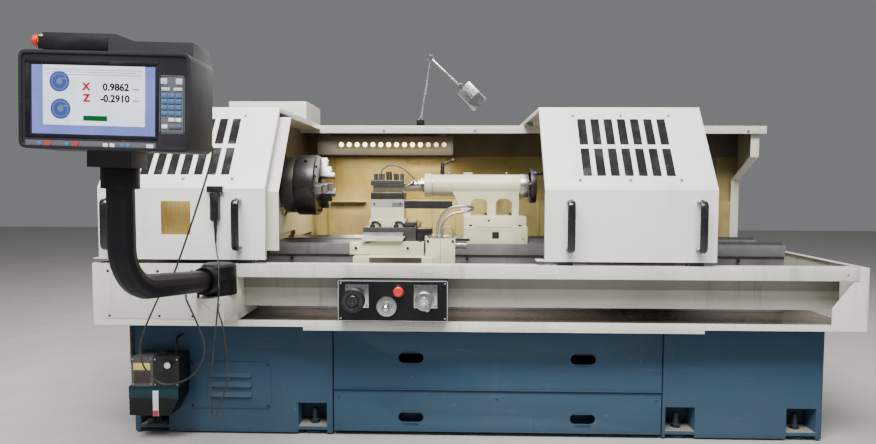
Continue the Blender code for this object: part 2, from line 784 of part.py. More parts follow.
def fuse(name, paint, adds, cuts=(), carrier="machine", extra=()):
    """One solid from shapes that overlap, less the cuts. extra holds (mesh, material) pairs."""
    main = operand(adds[0], paint)
    helpers = []
    steps = [(m, paint, "UNION") for m in adds[1:]] + [(m, p, "UNION") for m, p in extra]
    for mesh, colour, how in steps + [(m, paint, "DIFFERENCE") for m in cuts]:
        helper = operand(mesh, colour)
        helpers.append(helper)
        modifier = main.modifiers.new(how.lower(), "BOOLEAN")
        modifier.operation = how
        modifier.object = helper
        modifier.solver = "EXACT"
        modifier.material_mode = "TRANSFER"
    bpy.context.view_layer.update()
    graph = bpy.context.evaluated_depsgraph_get()
    mesh = bpy.data.meshes.new_from_object(main.evaluated_get(graph))
    for helper in [main, *helpers]:
        bpy.data.objects.remove(helper)
    mesh.name = name
    piece = bpy.data.objects.new(name, mesh)
    bpy.context.collection.objects.link(piece)
    empty, at = PLACES[carrier]
    mesh.transform(Matrix.Translation(-at))
    piece.parent = empty
    mesh.shade_smooth()
    mesh.set_sharp_from_angle(angle=math.radians(30))
    return piece


def smooth_route(points, radius):
    """Points every few diameters on a smooth curve through the route's own points."""
    route = [Vector(p) for p in points]
    dense = []
    for i in range(len(route) - 1):
        before = route[max(i - 1, 0)]
        after = route[min(i + 2, len(route) - 1)]
        a, b = route[i], route[i + 1]
        for k in range(24):
            t = k / 24
            pull = (b - before) * t + (2 * before - 5 * a + 4 * b - after) * t * t
            dense.append(a + (pull + (3 * a - before - 3 * b + after) * t**3) / 2)
    dense.append(route[-1])
    lengths = [0.0]
    for a, b in zip(dense, dense[1:]):
        lengths.append(lengths[-1] + (b - a).length)
    count = max(8, min(80, round(lengths[-1] / (CORD_SPACING * 2 * radius))))
    picked = []
    for n in range(count + 1):
        target = lengths[-1] * n / count
        i = max(k for k, value in enumerate(lengths) if value <= target + 1e-12)
        i = min(i, len(dense) - 2)
        span = lengths[i + 1] - lengths[i] or 1
        picked.append(dense[i].lerp(dense[i + 1], (target - lengths[i]) / span))
    return picked


def cord(name, paint, route, radius, resolution, carrier):
    """A round cord through its route, straight in its first and last stretch."""
    curve = bpy.data.curves.new(name, "CURVE")
    curve.dimensions = "3D"
    curve.bevel_depth = radius
    curve.bevel_resolution = resolution
    curve.use_fill_caps = True
    route = [Vector((x, y, BASE_HEIGHT + z)) for x, y, z in route]
    points = [route[0], *smooth_route(route[1:-1], radius), route[-1]]
    spline = curve.splines.new("POLY")
    spline.points.add(len(points) - 1)
    empty, at = PLACES[carrier]
    for point, place in zip(spline.points, points):
        point.co = (*(place - at), 1)
    curve.materials.append(MATERIALS[paint])
    piece = bpy.data.objects.new(name, curve)
    bpy.context.collection.objects.link(piece)
    piece.parent = empty
    return piece


def offset_path(points, distance):
    """The same bends as folded(), on the far side of a sheet of this thickness."""
    closed = folded(points, distance)
    return list(reversed(closed[len(points):]))


def bent_route(points, radius, steps):
    """A 3-D polyline whose inner corners are arcs of this radius."""
    route = [Vector(points[0])]
    for before, corner, after in zip(points, points[1:], points[2:]):
        a, b, c = Vector(before), Vector(corner), Vector(after)
        one, two = (a - b).normalized(), (c - b).normalized()
        half = one.angle(two) / 2
        start, centre = b + one * radius / math.tan(half), b + (one + two).normalized() * radius / math.sin(half)
        turn = Matrix.Rotation((math.pi - 2 * half) / steps, 3, -one.cross(two).normalized())
        arm = start - centre
        for _ in range(steps + 1):
            route.append(centre + arm)
            arm = turn @ arm
    return route + [Vector(points[-1])]


def span(start, length):
    return (start, start + length)


# Base


def levelling_foot(x, y):
    """A round pad, its bolt and its nut, standing on the floor."""
    pad = disc("z", (x, y, 0), PAD_RADIUS, 0, PAD_THICKNESS)
    bolt = disc("z", (x, y, 0), LEVEL_BOLT_RADIUS, 0, LEVEL_BOLT_TOP, 12)
    nut_low = POCKET_BOTTOM - SINK
    nut = disc("z", (x, y, 0), LEVEL_NUT_RADIUS, nut_low, nut_low + LEVEL_NUT_HEIGHT, 6)
    return [pad, bolt, nut]


def pedestal(name, left, right, pockets, bay_side):
    top = BASE_HEIGHT - SEAT
    shell = soft_box((left, right), (BASE_FRONT, BASE_BACK), (CASTING_LIFT, top), EDGE_RADIUS)
    adds, cuts = [shell], []
    for x in pockets:
        for face, inward in ((BASE_FRONT, 1), (BASE_BACK, -1)):
            y = sorted((face - inward * OVERRUN, face + inward * POCKET_DEPTH))
            cuts.append(box(span(x, POCKET_WIDTH), y, (POCKET_BOTTOM, POCKET_TOP)))
            cuts.append(box(span(x, POCKET_WIDTH), y, (-OVERRUN, NOTCH_TOP)))
            adds += levelling_foot(x + POCKET_WIDTH / 2, face + inward * POCKET_DEPTH / 2)
    runner_top = DRAWER_BOTTOM + DRAWER_LIP
    side = sorted((bay_side, bay_side + (RUNNER_WIDTH if bay_side == right else -RUNNER_WIDTH)))
    middle = (BASE_FRONT + BASE_BACK) / 2
    reach = (BASE_BACK - BASE_FRONT) / 2 * RUNNER_SHARE
    runner = box(
        (side[0] - SINK, side[1] + SINK),
        (middle - reach, middle + reach),
        (runner_top - RUNNER_THICKNESS, runner_top),
    )
    carved = fuse(name + "_casting", "blue_paint", [shell], cuts)
    block = carved.data
    bpy.data.objects.remove(carved)
    fuse(name, "blue_paint", [block, *adds[1:], runner])


def pedestals():
    left_pockets = (
        LEFT_PEDESTAL_END + OUTER_POCKET_INSET,
        LEFT_PEDESTAL_BAY - LEFT_BAY_POCKET_INSET - POCKET_WIDTH,
    )
    right_pockets = (
        RIGHT_PEDESTAL_BAY + RIGHT_BAY_POCKET_INSET,
        RIGHT_PEDESTAL_END - OUTER_POCKET_INSET - POCKET_WIDTH,
    )
    pedestal("left_pedestal", LEFT_PEDESTAL_END, LEFT_PEDESTAL_BAY, left_pockets, LEFT_PEDESTAL_BAY)
    pedestal("right_pedestal", RIGHT_PEDESTAL_BAY, RIGHT_PEDESTAL_END, right_pockets, RIGHT_PEDESTAL_BAY)


def louvre_panel():
    back = BASE_FRONT - SEAT
    front = back - ACCESS_THICKNESS
    wide = span(ACCESS_LEFT, ACCESS_WIDTH)
    adds = [soft_box(wide, (front, back), (ACCESS_BOTTOM, ACCESS_TOP), EDGE_RADIUS, "y")]
    left = ACCESS_LEFT + (ACCESS_WIDTH - LOUVRE_WIDTH) / 2
    first = ACCESS_BOTTOM + (ACCESS_TOP - ACCESS_BOTTOM) * LOUVRE_TOP_SHARE
    for i in range(LOUVRE_COUNT):
        low = first - i * LOUVRE_PITCH - LOUVRE_HEIGHT
        hood = [(front + SINK / 2, low + LOUVRE_HEIGHT), (front - LOUVRE_PROUD, low), (front + SINK / 2, low)]
        adds.append(prism(hood, "x", left, left + LOUVRE_WIDTH))
    fuse("louvre_panel", "blue_paint", adds)


def grips(left, right, height):
    """Cutters for two hand slots with round ends in a front panel."""
    wide = right - left
    cuts = []
    for share in (GRIP_LEFT_SHARE, GRIP_RIGHT_SHARE):
        x = left + wide * share - GRIP_WIDTH / 2
        low = height - GRIP_HEIGHT / 2
        outline = rounded((x, low), (x + GRIP_WIDTH, low + GRIP_HEIGHT), GRIP_HEIGHT / 2 - SEAT, 4)
        cuts.append(prism(outline, "y", BASE_FRONT - OVERRUN, BASE_FRONT + PANEL_THICKNESS + OVERRUN))
    return merged(cuts)


def chip_drawer():
    left, right = LEFT_PEDESTAL_BAY + DRAWER_SIDE_GAP, RIGHT_PEDESTAL_BAY - DRAWER_SIDE_GAP
    x = (LEFT_PEDESTAL_BAY + DRAWER_BOX_INSET, RIGHT_PEDESTAL_BAY - DRAWER_BOX_INSET)
    low = DRAWER_BOTTOM + DRAWER_LIP + SEAT
    front, back = BASE_FRONT, BASE_FRONT + DRAWER_DEPTH
    panel = box((left, right), (front, front + PANEL_THICKNESS), (DRAWER_BOTTOM, DRAWER_TOP))
    lip = box((left, right), (front - DRAWER_LIP, front + SINK), (DRAWER_BOTTOM, DRAWER_BOTTOM + PANEL_THICKNESS))
    tub = box(x, (front + SINK, back), (low, DRAWER_TOP - OVERRUN))
    inside = box(
        (x[0] + SHEET, x[1] - SHEET),
        (front + PANEL_THICKNESS, back - SHEET),
        (low + SHEET, DRAWER_TOP + OVERRUN),
    )
    height = DRAWER_BOTTOM + (DRAWER_TOP - DRAWER_BOTTOM) * DRAWER_GRIP_SHARE
    fuse("chip_drawer", "blue_paint", [panel, lip, tub], [inside, grips(left, right, height)], "chip_drawer")


def coolant_tank():
    left, right = LEFT_PEDESTAL_BAY + DRAWER_SIDE_GAP, RIGHT_PEDESTAL_BAY - DRAWER_SIDE_GAP
    front = BASE_FRONT
    skirt_top = DRAWER_BOTTOM + DRAWER_LIP - RUNNER_THICKNESS - DRAWER_SIDE_GAP
    skirt = box((left, right), (front, front + PANEL_THICKNESS), (TANK_FLOOR, skirt_top))
    deck = box((left, right), (front + SINK, BASE_BACK), (TANK_FLOOR, TANK_FLOOR + SHEET))
    body_front = front + TANK_SKIRT_GAP
    tub = box((left, right), (body_front, BASE_BACK), (TANK_FLOOR, TANK_TOP))
    inside = box(
        (left + SHEET, right - SHEET),
        (body_front + SHEET, BASE_BACK - SHEET),
        (TANK_FLOOR + SHEET, TANK_TOP + OVERRUN),
    )
    skids = [
        box(span(x, TANK_SKID_WIDTH), (body_front, BASE_BACK), (0, TANK_FLOOR + SHEET / 2))
        for x in (left + TANK_SKID_WIDTH, right - 2 * TANK_SKID_WIDTH)
    ]
    cuts = [inside, grips(left, right, TANK_TOP * TANK_GRIP_SHARE)]
    fuse("coolant_tank", "blue_paint", [skirt, deck, tub, *skids], cuts, "coolant_tank")


# Chip tray

FLOOR_TOP = BASE_HEIGHT + TRAY_SHEET
LIP_TOP = BASE_HEIGHT + LIP_HEIGHT


def tray_floor():
    pan = box((-TRAY_HALF, TRAY_HALF), (TRAY_FRONT, TRAY_BACK), (BASE_HEIGHT, FLOOR_TOP))
    end = TRAY_HALF - TRAY_SHEET - SEAT
    lip = box((-end, end), (TRAY_FRONT, TRAY_FRONT + LIP_THICKNESS), (BASE_HEIGHT, LIP_TOP))
    drip_y = (TRAY_FRONT, TRAY_FRONT + DRIP_DEPTH)
    drip = box((DRIP_LEFT, DRIP_RIGHT), drip_y, (BASE_HEIGHT - DRIP_DROP, BASE_HEIGHT + SINK))
    fuse("tray_floor", "cream_paint", [pan, lip, drip])


def tray_left_end():
    low = FLOOR_TOP + SEAT
    left = -TRAY_HALF
    side = box(span(left, TRAY_SHEET), (TRAY_FRONT, TRAY_BACK), (low, TRAY_TOP))
    front_y = (TRAY_FRONT, TRAY_FRONT + TRAY_SHEET)
    front = box((left, LEFT_FRONT_END), front_y, (LIP_TOP + SEAT, TRAY_TOP))
    turn_back = (TRAY_FRONT, APRON_FRONT + SIDE_BOX_RIGHT - SIDE_BOX_LEFT)
    back = box((LEFT_FRONT_END - TRAY_SHEET, LEFT_FRONT_END), turn_back, (LIP_TOP + SEAT, TRAY_TOP))
    flange = box((left, left + END_FLANGE), (TRAY_FRONT, TRAY_BACK), (TRAY_TOP - TRAY_SHEET, TRAY_TOP))
    cover_x = (left + COVER_LEFT_INSET, BOX_LEFT - COVER_RIGHT_INSET / 2)
    cover_z = (BASE_HEIGHT + COVER_BOTTOM_INSET, TRAY_TOP - COVER_TOP_INSET)
    cover = box(cover_x, (TRAY_FRONT - COVER_PROUD, TRAY_FRONT + SINK), cover_z)
    fuse("tray_left_end", "cream_paint", [side, front, back, flange, cover])


def tray_right_end():
    right = TRAY_HALF
    inner = right - TRAY_SHEET
    side = box((inner, right), (TRAY_FRONT, TRAY_BACK), (FLOOR_TOP + SEAT, TRAY_TOP))
    post_y = (TRAY_FRONT, TRAY_FRONT + TRAY_SHEET)
    post = box((right - POST_WIDTH, right), post_y, (LIP_TOP + SEAT, TRAY_TOP))
    flange = box((right - END_FLANGE, right), (TRAY_FRONT, TRAY_BACK), (TRAY_TOP - TRAY_SHEET, TRAY_TOP))
    high, low = TRAY_TOP - RAIL_HEIGHT - SEAT, LIP_TOP + SEAT
    edge = right - POST_WIDTH
    near, far = edge - GUSSET_WIDTH * GUSSET_TOP_SHARE, edge - GUSSET_WIDTH
    middle = high - (high - low) * GUSSET_MID_SHARE
    outline = [(inner + SINK, low), (inner + SINK, high), (near, high), (far, middle), (far, low)]
    gusset = prism(outline, "y", TRAY_FRONT + SINK, TRAY_FRONT + TRAY_SHEET + SINK)
    fuse("tray_right_end", "cream_paint", [side, post, flange, gusset])


def tray_front_rail():
    low = TRAY_TOP - RAIL_HEIGHT
    x = (LEFT_FRONT_END + SEAT, TRAY_HALF - POST_WIDTH - SEAT)
    rail = box(x, (TRAY_FRONT, TRAY_FRONT + RAIL_DEPTH), (low, TRAY_TOP))
    web_front = TRAY_FRONT + WEB_SETBACK
    shelf = box(x, (TRAY_FRONT + RAIL_DEPTH - SINK, web_front + WEB_THICKNESS), (low, low + WEB_THICKNESS))
    web_x = (x[0], TRAY_HALF - WEB_RIGHT_GAP)
    web = box(web_x, span(web_front, WEB_THICKNESS), (WEB_BOTTOM, low + WEB_THICKNESS))
    fuse("tray_front_rail", "cream_paint", [rail, shelf, web])


# Bed and headstock


def vee(offset, clear=0.0):
    """The ridge of a way, or with a clearance the groove that rides on it."""
    half = VEE_WIDTH / 2 + clear
    foot = BED_TOP - (OVERRUN if clear else SINK)
    return [(offset - half, foot), (offset + half, foot), (offset + half, BED_TOP), (offset, BED_TOP + VEE_HEIGHT + clear), (offset - half, BED_TOP)]


def way_grooves(left, right):
    return [prism(vee(side * VEE_OFFSET, SEAT), "x", left - OVERRUN, right + OVERRUN) for side in (-1, 1)]


def bed():
    outer, inner = BED_HALF_WIDTH, BED_HALF_WIDTH - WAY_WIDTH
    web_out, web_in = outer - EDGE_RADIUS, outer - EDGE_RADIUS - BED_WEB
    foot, low = FLOOR_TOP + SEAT, BED_TOP - WAY_DEPTH
    foot_top = foot + BED_FOOT_HEIGHT
    rail = [(web_in, foot), (outer, foot), (outer, foot_top), (web_out, foot_top), (web_out, low), (outer, low)]
    rail += [(outer, BED_TOP), (inner, BED_TOP), (inner, low), (web_in, low)]
    adds = [prism([(side * y, z) for y, z in rail], "x", BED_LEFT, BED_RIGHT) for side in (-1, 1)]
    adds += [prism(vee(side * VEE_OFFSET), "x", BED_LEFT, BED_RIGHT) for side in (-1, 1)]
    for i in range(RIB_COUNT):
        x = BED_LEFT + (BED_RIGHT - BED_LEFT - RIB_THICKNESS) * i / (RIB_COUNT - 1)
        y = (-web_in - SINK, web_in + SINK)
        adds.append(box(span(x, RIB_THICKNESS), y, (foot, BED_TOP - RIB_DROP)))
    screw_y = -BED_HALF_WIDTH - SCREW_FORWARD
    block_y = (screw_y - SCREW_BLOCK_HALF, -web_out + SINK)
    block_z = (SCREW_HEIGHT - SCREW_BLOCK_HALF, SCREW_HEIGHT + SCREW_BLOCK_HALF)
    adds.append(box((BED_RIGHT - SCREW_BLOCK_LENGTH, BED_RIGHT), block_y, block_z))
    hole = disc("x", (BED_RIGHT - SCREW_BLOCK_LENGTH, screw_y, SCREW_HEIGHT), hole_radius(SCREW_RADIUS, 16), -OVERRUN, SCREW_BLOCK_LENGTH / 2 + SEAT, 16)
    fuse("bed", "dark_iron", adds, [hole])


def lead_screw():
    y = -BED_HALF_WIDTH - SCREW_FORWARD
    left, right = LEFT_FRONT_END + SEAT, BED_RIGHT - SCREW_BLOCK_LENGTH / 2
    fuse("lead_screw", "bright_steel", [disc("x", (0, y, SCREW_HEIGHT), SCREW_RADIUS, left, right, 16)])


def headstock():
    foot = BED_TOP + SEAT
    half = HEAD_HALF_WIDTH
    outline = [(-BED_HALF_WIDTH, foot), (BED_HALF_WIDTH, foot), (half, foot + HEAD_FOOT_HEIGHT)]
    outline += arc((half - HEAD_SHOULDER, HEAD_TOP - HEAD_SHOULDER), HEAD_SHOULDER, 0, 90, 5)
    outline += arc((HEAD_SHOULDER - half, HEAD_TOP - HEAD_SHOULDER), HEAD_SHOULDER, 90, 180, 5)
    outline += [(-half, foot + HEAD_FOOT_HEIGHT)]
    casting = prism(outline, "x", HEAD_LEFT, HEAD_RIGHT)
    axis = (0, 0, SPINDLE_HEIGHT)
    nose = disc("x", axis, NOSE_RADIUS, HEAD_RIGHT - SINK, GUARD_WALL - SEAT, 32)
    hole = disc("x", axis, hole_radius(SPINDLE_RADIUS, 32), HEAD_LEFT - OVERRUN, GUARD_WALL + OVERRUN, 32)
    fuse("headstock", "cream_paint", [casting, nose], [*way_grooves(HEAD_LEFT, HEAD_RIGHT), hole])


def spindle():
    tail = HEAD_LEFT - SPINDLE_TAIL
    profile = [(SPINDLE_BORE, tail), (SPINDLE_RADIUS, tail), (SPINDLE_RADIUS, ADAPTER_LEFT)]
    profile += [(ADAPTER_RADIUS, ADAPTER_LEFT), (ADAPTER_RADIUS, CHUCK_LEFT - SEAT), (SPINDLE_BORE, CHUCK_LEFT - SEAT)]
    fuse("spindle", "dark_iron", [turned(profile, "x", (0, 0, SPINDLE_HEIGHT), 32)], carrier="spindle")


def jaw_turns():
    return [JAW_TURN_DEG + 360 * i / JAW_COUNT for i in range(JAW_COUNT)]


def about_spindle(degrees):
    """Turns what was made standing straight up from the spindle axis."""
    return about("X", degrees, (0, 0, SPINDLE_HEIGHT))


def chuck_body():
    edge, cut = CHUCK_RADIUS, CHUCK_CHAMFER
    profile = [(CHUCK_BORE, CHUCK_LEFT), (edge - cut, CHUCK_LEFT), (edge, CHUCK_LEFT + cut)]
    profile += [(edge, CHUCK_FACE - cut), (edge - cut, CHUCK_FACE), (CHUCK_BORE, CHUCK_FACE)]
    blank = turned(profile, "x", (0, 0, SPINDLE_HEIGHT), CHUCK_STEPS)
    cuts = []
    half, deep = JAW_GROOVE / 2, CHUCK_FACE - JAW_GROOVE_DEPTH
    middle = (CHUCK_LEFT + CHUCK_FACE) / 2
    side = KEY_SOCKET / 2
    for turn in jaw_turns():
        out = (SPINDLE_HEIGHT, SPINDLE_HEIGHT + CHUCK_RADIUS + OVERRUN)
        groove = box((deep, CHUCK_FACE + OVERRUN), (-half, half), out)
        cuts.append(moved(groove, about_spindle(turn)))
        deep_z = (SPINDLE_HEIGHT + CHUCK_RADIUS - KEY_SOCKET_DEPTH, SPINDLE_HEIGHT + CHUCK_RADIUS + OVERRUN)
        socket = box((middle - side, middle + side), (-side, side), deep_z)
        cuts.append(moved(socket, about_spindle(turn + 180 / JAW_COUNT)))
    fuse("chuck_body", "dark_iron", [blank], cuts, "spindle")


def jaws():
    """Each jaw is a stepped block on a tongue that runs in the chuck's groove."""
    foot = CHUCK_FACE + SEAT
    reach = JAW_OUTER - JAW_INNER
    outline = [(foot, JAW_OUTER), (foot, JAW_INNER), (foot + JAW_HEIGHT, JAW_INNER)]
    height = JAW_HEIGHT
    for along, rest in JAW_STEPS_SHARE:
        outline += [(foot + height, JAW_INNER + reach * along), (foot + JAW_HEIGHT * rest, JAW_INNER + reach * along)]
        height = JAW_HEIGHT * rest
    outline += [(foot + height, JAW_OUTER)]
    for i, turn in enumerate(jaw_turns()):
        top = prism([(x, SPINDLE_HEIGHT + r) for x, r in outline], "y", -JAW_WIDTH / 2, JAW_WIDTH / 2)
        half = JAW_GROOVE / 2 - SEAT
        z = (SPINDLE_HEIGHT + JAW_INNER + SINK, SPINDLE_HEIGHT + JAW_OUTER - SINK)
        tongue = box((CHUCK_FACE - JAW_GROOVE_DEPTH + SEAT, foot + SINK), (-half, half), z)
        shapes = [moved(shape, about_spindle(turn)) for shape in (top, tongue)]
        fuse(f"jaw_{i + 1}", "steel", shapes, carrier=f"jaw_{i + 1}")


# Sliding hoods and the fixed guards


def door_path():
    return [(DOOR_FRONT, DOOR_BOTTOM), (DOOR_FRONT, DOOR_BEND), (DOOR_TOP_FRONT, DOOR_TOP), (DOOR_ROOF_BACK, DOOR_TOP)]


def slanted(left, right, share_low, share_high, depth_near, depth_far):
    """A block on the hood's slanted panel, between two shares of its length down from the top."""
    top, bend = Vector((DOOR_TOP_FRONT, DOOR_TOP)), Vector((DOOR_FRONT, DOOR_BEND))
    down = bend - top
    inward = Vector((-down.y, down.x)).normalized()
    a, b = top + down * share_low, top + down * share_high
    outline = [a + inward * depth_near, b + inward * depth_near, b + inward * depth_far, a + inward * depth_far]
    return prism([tuple(p) for p in outline], "x", left, right)


def handle(left):
    """A bridge handle on a hood's lower panel."""
    low, high = HANDLE_BOTTOM, HANDLE_BOTTOM + HANDLE_LENGTH
    face, out = DOOR_FRONT + SINK / 2, DOOR_FRONT - HANDLE_PROUD
    bar = out + HANDLE_BAR
    foot = HANDLE_FOOT
    outline = [(face, low), (out + foot / 2, low), (out, low + foot / 2), (out, high - foot / 2), (out + foot / 2, high), (face, high)]
    outline += [(face, high - foot), (bar + foot / 4, high - foot), (bar, high - foot * 5 / 4)]
    outline += [(bar, low + foot * 5 / 4), (bar + foot / 4, low + foot), (face, low + foot)]
    return prism(outline, "x", left, left + HANDLE_WIDTH)


def door_slots(left):
    """Cutters for the rows of vent slots in the slanted panel."""
    first = left + (DOOR_WIDTH - SLOT_PITCH * (SLOT_COLUMNS - 1) - SLOT_WIDTH) / 2
    cuts = []
    for low, high in SLOT_ROWS_SHARE:
        for i in range(SLOT_COLUMNS):
            x = first + i * SLOT_PITCH
            cuts.append(slanted(x, x + SLOT_WIDTH, low, high, -OVERRUN, OVERRUN))
    return merged(cuts)


def door(name, left, handles, more=()):
    right = left + DOOR_WIDTH
    adds = [prism(folded(door_path(), DOOR_SHEET), "x", left, right)]
    for x in (left, right - DOOR_SHEET):
        adds.append(prism(folded(door_path(), DOOR_FLANGE), "x", x, x + DOOR_SHEET))
    for share in DOOR_SHOE_SHARES:
        x = left + DOOR_WIDTH * share - DOOR_SHOE_LENGTH / 2
        y = (DOOR_FRONT, DOOR_FRONT + DOOR_SHOE_WIDTH)
        adds.append(box(span(x, DOOR_SHOE_LENGTH), y, (TRAY_TOP + SEAT, DOOR_BOTTOM + DOOR_SHEET)))
        y = (ROOF_FRONT + SINK, DOOR_ROOF_BACK)
        adds.append(box(span(x, DOOR_SHOE_LENGTH), y, (ROOF_TOP + SEAT, DOOR_TOP - SINK / 2)))
    extra = [(handle(left + inset), "black_plastic") for inset in handles]
    fuse(name, "white_paint", [*adds, *more], [door_slots(left)], name, extra)
    window = name.replace("door", "window")
    first = left + (DOOR_WIDTH - SLOT_PITCH * (SLOT_COLUMNS - 1) - SLOT_WIDTH) / 2 - WINDOW_MARGIN
    last = left + right - first
    slant = math.hypot(DOOR_TOP_FRONT - DOOR_FRONT, DOOR_TOP - DOOR_BEND)
    ends = (SLOT_ROWS_SHARE[0][0] - WINDOW_MARGIN / slant, SLOT_ROWS_SHARE[1][1] + WINDOW_MARGIN / slant)
    near = DOOR_SHEET + SEAT
    sheet = slanted(first, last, *ends, near, near + WINDOW_THICKNESS)
    fuse(window, "smoked_window", [sheet], carrier=name)


def doors():
    hook_z = HANDSET_BOTTOM + HANDSET_HEIGHT + SEAT
    hook_x = (HANDSET_X - HOLDER_WIDTH / 2, HANDSET_X + HOLDER_WIDTH / 2)
    hook = box(hook_x, (DOOR_FRONT - HOLDER_DEPTH, DOOR_FRONT + SINK / 2), span(hook_z, HOLDER_HEIGHT))
    door("left_door", LEFT_DOOR_LEFT, LEFT_DOOR_HANDLE_INSETS, [hook])
    door("right_door", RIGHT_DOOR_LEFT, RIGHT_DOOR_HANDLE_INSETS)


def handset():
    x, back = HANDSET_X, DOOR_FRONT - SEAT
    half = HANDSET_WIDTH / 2
    z = span(HANDSET_BOTTOM, HANDSET_HEIGHT)
    shell = soft_box((x - half, x + half), (back - HANDSET_DEPTH, back), z, HANDSET_WIDTH / 4, "y", 3)
    y = back - HANDSET_DEPTH / 2
    relief = turned(
        [(0, -RELIEF_LENGTH), (RELIEF_RADIUS / 2, -RELIEF_LENGTH), (RELIEF_RADIUS, SINK), (0, SINK)],
        "z",
        (x, y, HANDSET_BOTTOM),
        12,
    )
    fuse("handset", "black_plastic", [shell, relief], carrier="left_door")


REAR_FRONT = TRAY_BACK - REAR_THICKNESS


def headstock_guard():
    """A folded wall round the spindle nose, with a flange that follows the hood's inside."""
    path = offset_path(door_path(), DOOR_FLANGE + GUARD_CLEAR)
    start, bend, top, back = path
    path = [(start[0], GUARD_BOTTOM), bend, top, (ROOF_FRONT - SEAT, back[1])]
    under = ROOF_TOP - ROOF_FLANGE - SEAT
    rear = REAR_FRONT - REAR_STEP - SEAT
    outline = path + [(ROOF_FRONT - SEAT, under), (rear, under), (rear, GUARD_BOTTOM)]
    wall = prism(outline, "x", GUARD_WALL, GUARD_WALL + GUARD_SHEET)
    flange = prism(folded(path, GUARD_SHEET), "x", GUARD_WALL, GUARD_RIGHT)
    hole = disc("x", (0, 0, SPINDLE_HEIGHT), GUARD_HOLE, GUARD_WALL - OVERRUN, GUARD_WALL + OVERRUN, 32)
    half = BED_HALF_WIDTH + GUARD_CLEAR
    notch_top = BED_TOP + VEE_HEIGHT + GUARD_CLEAR
    notch = box((GUARD_WALL - OVERRUN, GUARD_WALL + OVERRUN), (-half, half), (GUARD_BOTTOM - OVERRUN, notch_top))
    fuse("headstock_guard", "cream_paint", [wall, flange], [hole, notch])


def guard_roof():
    x = (ROOF_LEFT, ROOF_RIGHT)
    top = box(x, (ROOF_FRONT, TRAY_BACK), (ROOF_TOP - ROOF_SHEET, ROOF_TOP))
    lip = box(x, (ROOF_FRONT, ROOF_FRONT + ROOF_SHEET), (ROOF_TOP - ROOF_FLANGE, ROOF_TOP))
    fuse("guard_roof", "cream_paint", [top, lip])


def end_outline(back):
    low, high = FLOOR_TOP + SEAT, ROOF_TOP - ROOF_SHEET - SEAT
    outline = [(back, low), (END_LOWER_FRONT, low), (END_LOWER_FRONT, END_LOWER_TOP)]
    return outline + [(END_UPPER_FRONT, END_UPPER_BOTTOM), (END_UPPER_FRONT, high), (back, high)]


def rear_guard_panel():
    """The splash panel behind the bed, with its lower step, and the folded end on its left."""
    low, high = FLOOR_TOP + SEAT, ROOF_TOP - ROOF_SHEET - SEAT
    x = (ROOF_LEFT, RIGHT_END_X - SEAT)
    upper = box(x, (REAR_FRONT, TRAY_BACK), (low, high))
    lower = box(x, (REAR_FRONT - REAR_STEP, REAR_FRONT + SINK), (low, REAR_STEP_HEIGHT))
    end = prism(end_outline(TRAY_BACK - SINK), "x", ROOF_LEFT, ROOF_LEFT + END_SHEET)
    fuse("rear_guard_panel", "splash_paint", [upper, lower, end])


def guard_right_end():
    x = (RIGHT_END_X - END_RETURN, RIGHT_END_X + END_SHEET)
    outline = end_outline(TRAY_BACK)
    plate = prism(outline, "x", RIGHT_END_X, RIGHT_END_X + END_SHEET)
    front = [outline[1], outline[2], outline[3], outline[4]]
    returns = prism(folded(front, END_SHEET), "x", *x)
    fuse("guard_right_end", "cream_paint", [plate, returns])


def roof_box():
    z = span(ROOF_TOP + SEAT, ROOF_BOX_HEIGHT)
    shape = soft_box((ROOF_BOX_LEFT, ROOF_BOX_RIGHT), (ROOF_BOX_FRONT, ROOF_BOX_BACK), z, SHEET, "x")
    fuse("roof_box", "cream_paint", [shape])


def electrical_cabinet():
    near = TRAY_BACK + SEAT
    far = near + CABINET_DEPTH
    x = (CABINET_LEFT, ROOF_BOX_RIGHT)
    shell = soft_box(x, (near, far), (CABINET_BOTTOM, ROOF_TOP), SHEET, "z")
    inset = CABINET_DOOR_INSET
    lid_z = (CABINET_BOTTOM + inset, ROOF_TOP - inset)
    lid_y = (far - SINK, far + CABINET_DOOR_PROUD)
    lid = soft_box((x[0] + inset, x[1] - inset), lid_y, lid_z, inset / 2, "y")
    fuse("electrical_cabinet", "cream_paint", [shell, lid])


def work_light_bar():
    y = span(LIGHT_FRONT, LIGHT_DEPTH)
    shell = soft_box((LIGHT_LEFT, LIGHT_RIGHT), y, (LIGHT_BOTTOM, LIGHT_TOP), SHEET, "x")
    middle = (LIGHT_BOTTOM + LIGHT_TOP) / 2
    z = (middle - LIGHT_WINDOW_HEIGHT / 2, middle + LIGHT_WINDOW_HEIGHT / 2)
    window = box((LIGHT_WINDOW_LEFT, LIGHT_WINDOW_RIGHT), (LIGHT_FRONT - OVERRUN, LIGHT_FRONT + SHEET), z)
    hangers = [
        box(span(x, LIGHT_HANGER), y, (LIGHT_TOP - SINK, ROOF_TOP - ROOF_SHEET - SEAT))
        for x in (LIGHT_LEFT + LIGHT_HANGER, LIGHT_RIGHT - 2 * LIGHT_HANGER)
    ]
    fuse("work_light_bar", "dark_iron", [shell, *hangers], [window])


# Carriage

SLIDE_MIDDLE = (SLIDE_LEFT + SLIDE_RIGHT) / 2
PANEL_MIDDLE = (PANEL_LEFT + PANEL_RIGHT) / 2


def dovetail(clear, low, high):
    """The saddle's dovetail along Y, or with a clearance the groove of the slide on it."""
    top, foot = DOVETAIL_TOP_WIDTH / 2 + clear, DOVETAIL_BOTTOM_WIDTH / 2 + clear
    crown = SADDLE_TOP + DOVETAIL_HEIGHT + clear
    under = SADDLE_TOP - (OVERRUN if clear else SINK)
    outline = [(foot, under), (foot, SADDLE_TOP), (top, crown)]
    outline += [(-x, z) for x, z in reversed(outline)]
    return prism([(SLIDE_MIDDLE + x, z) for x, z in outline], "y", low, high)


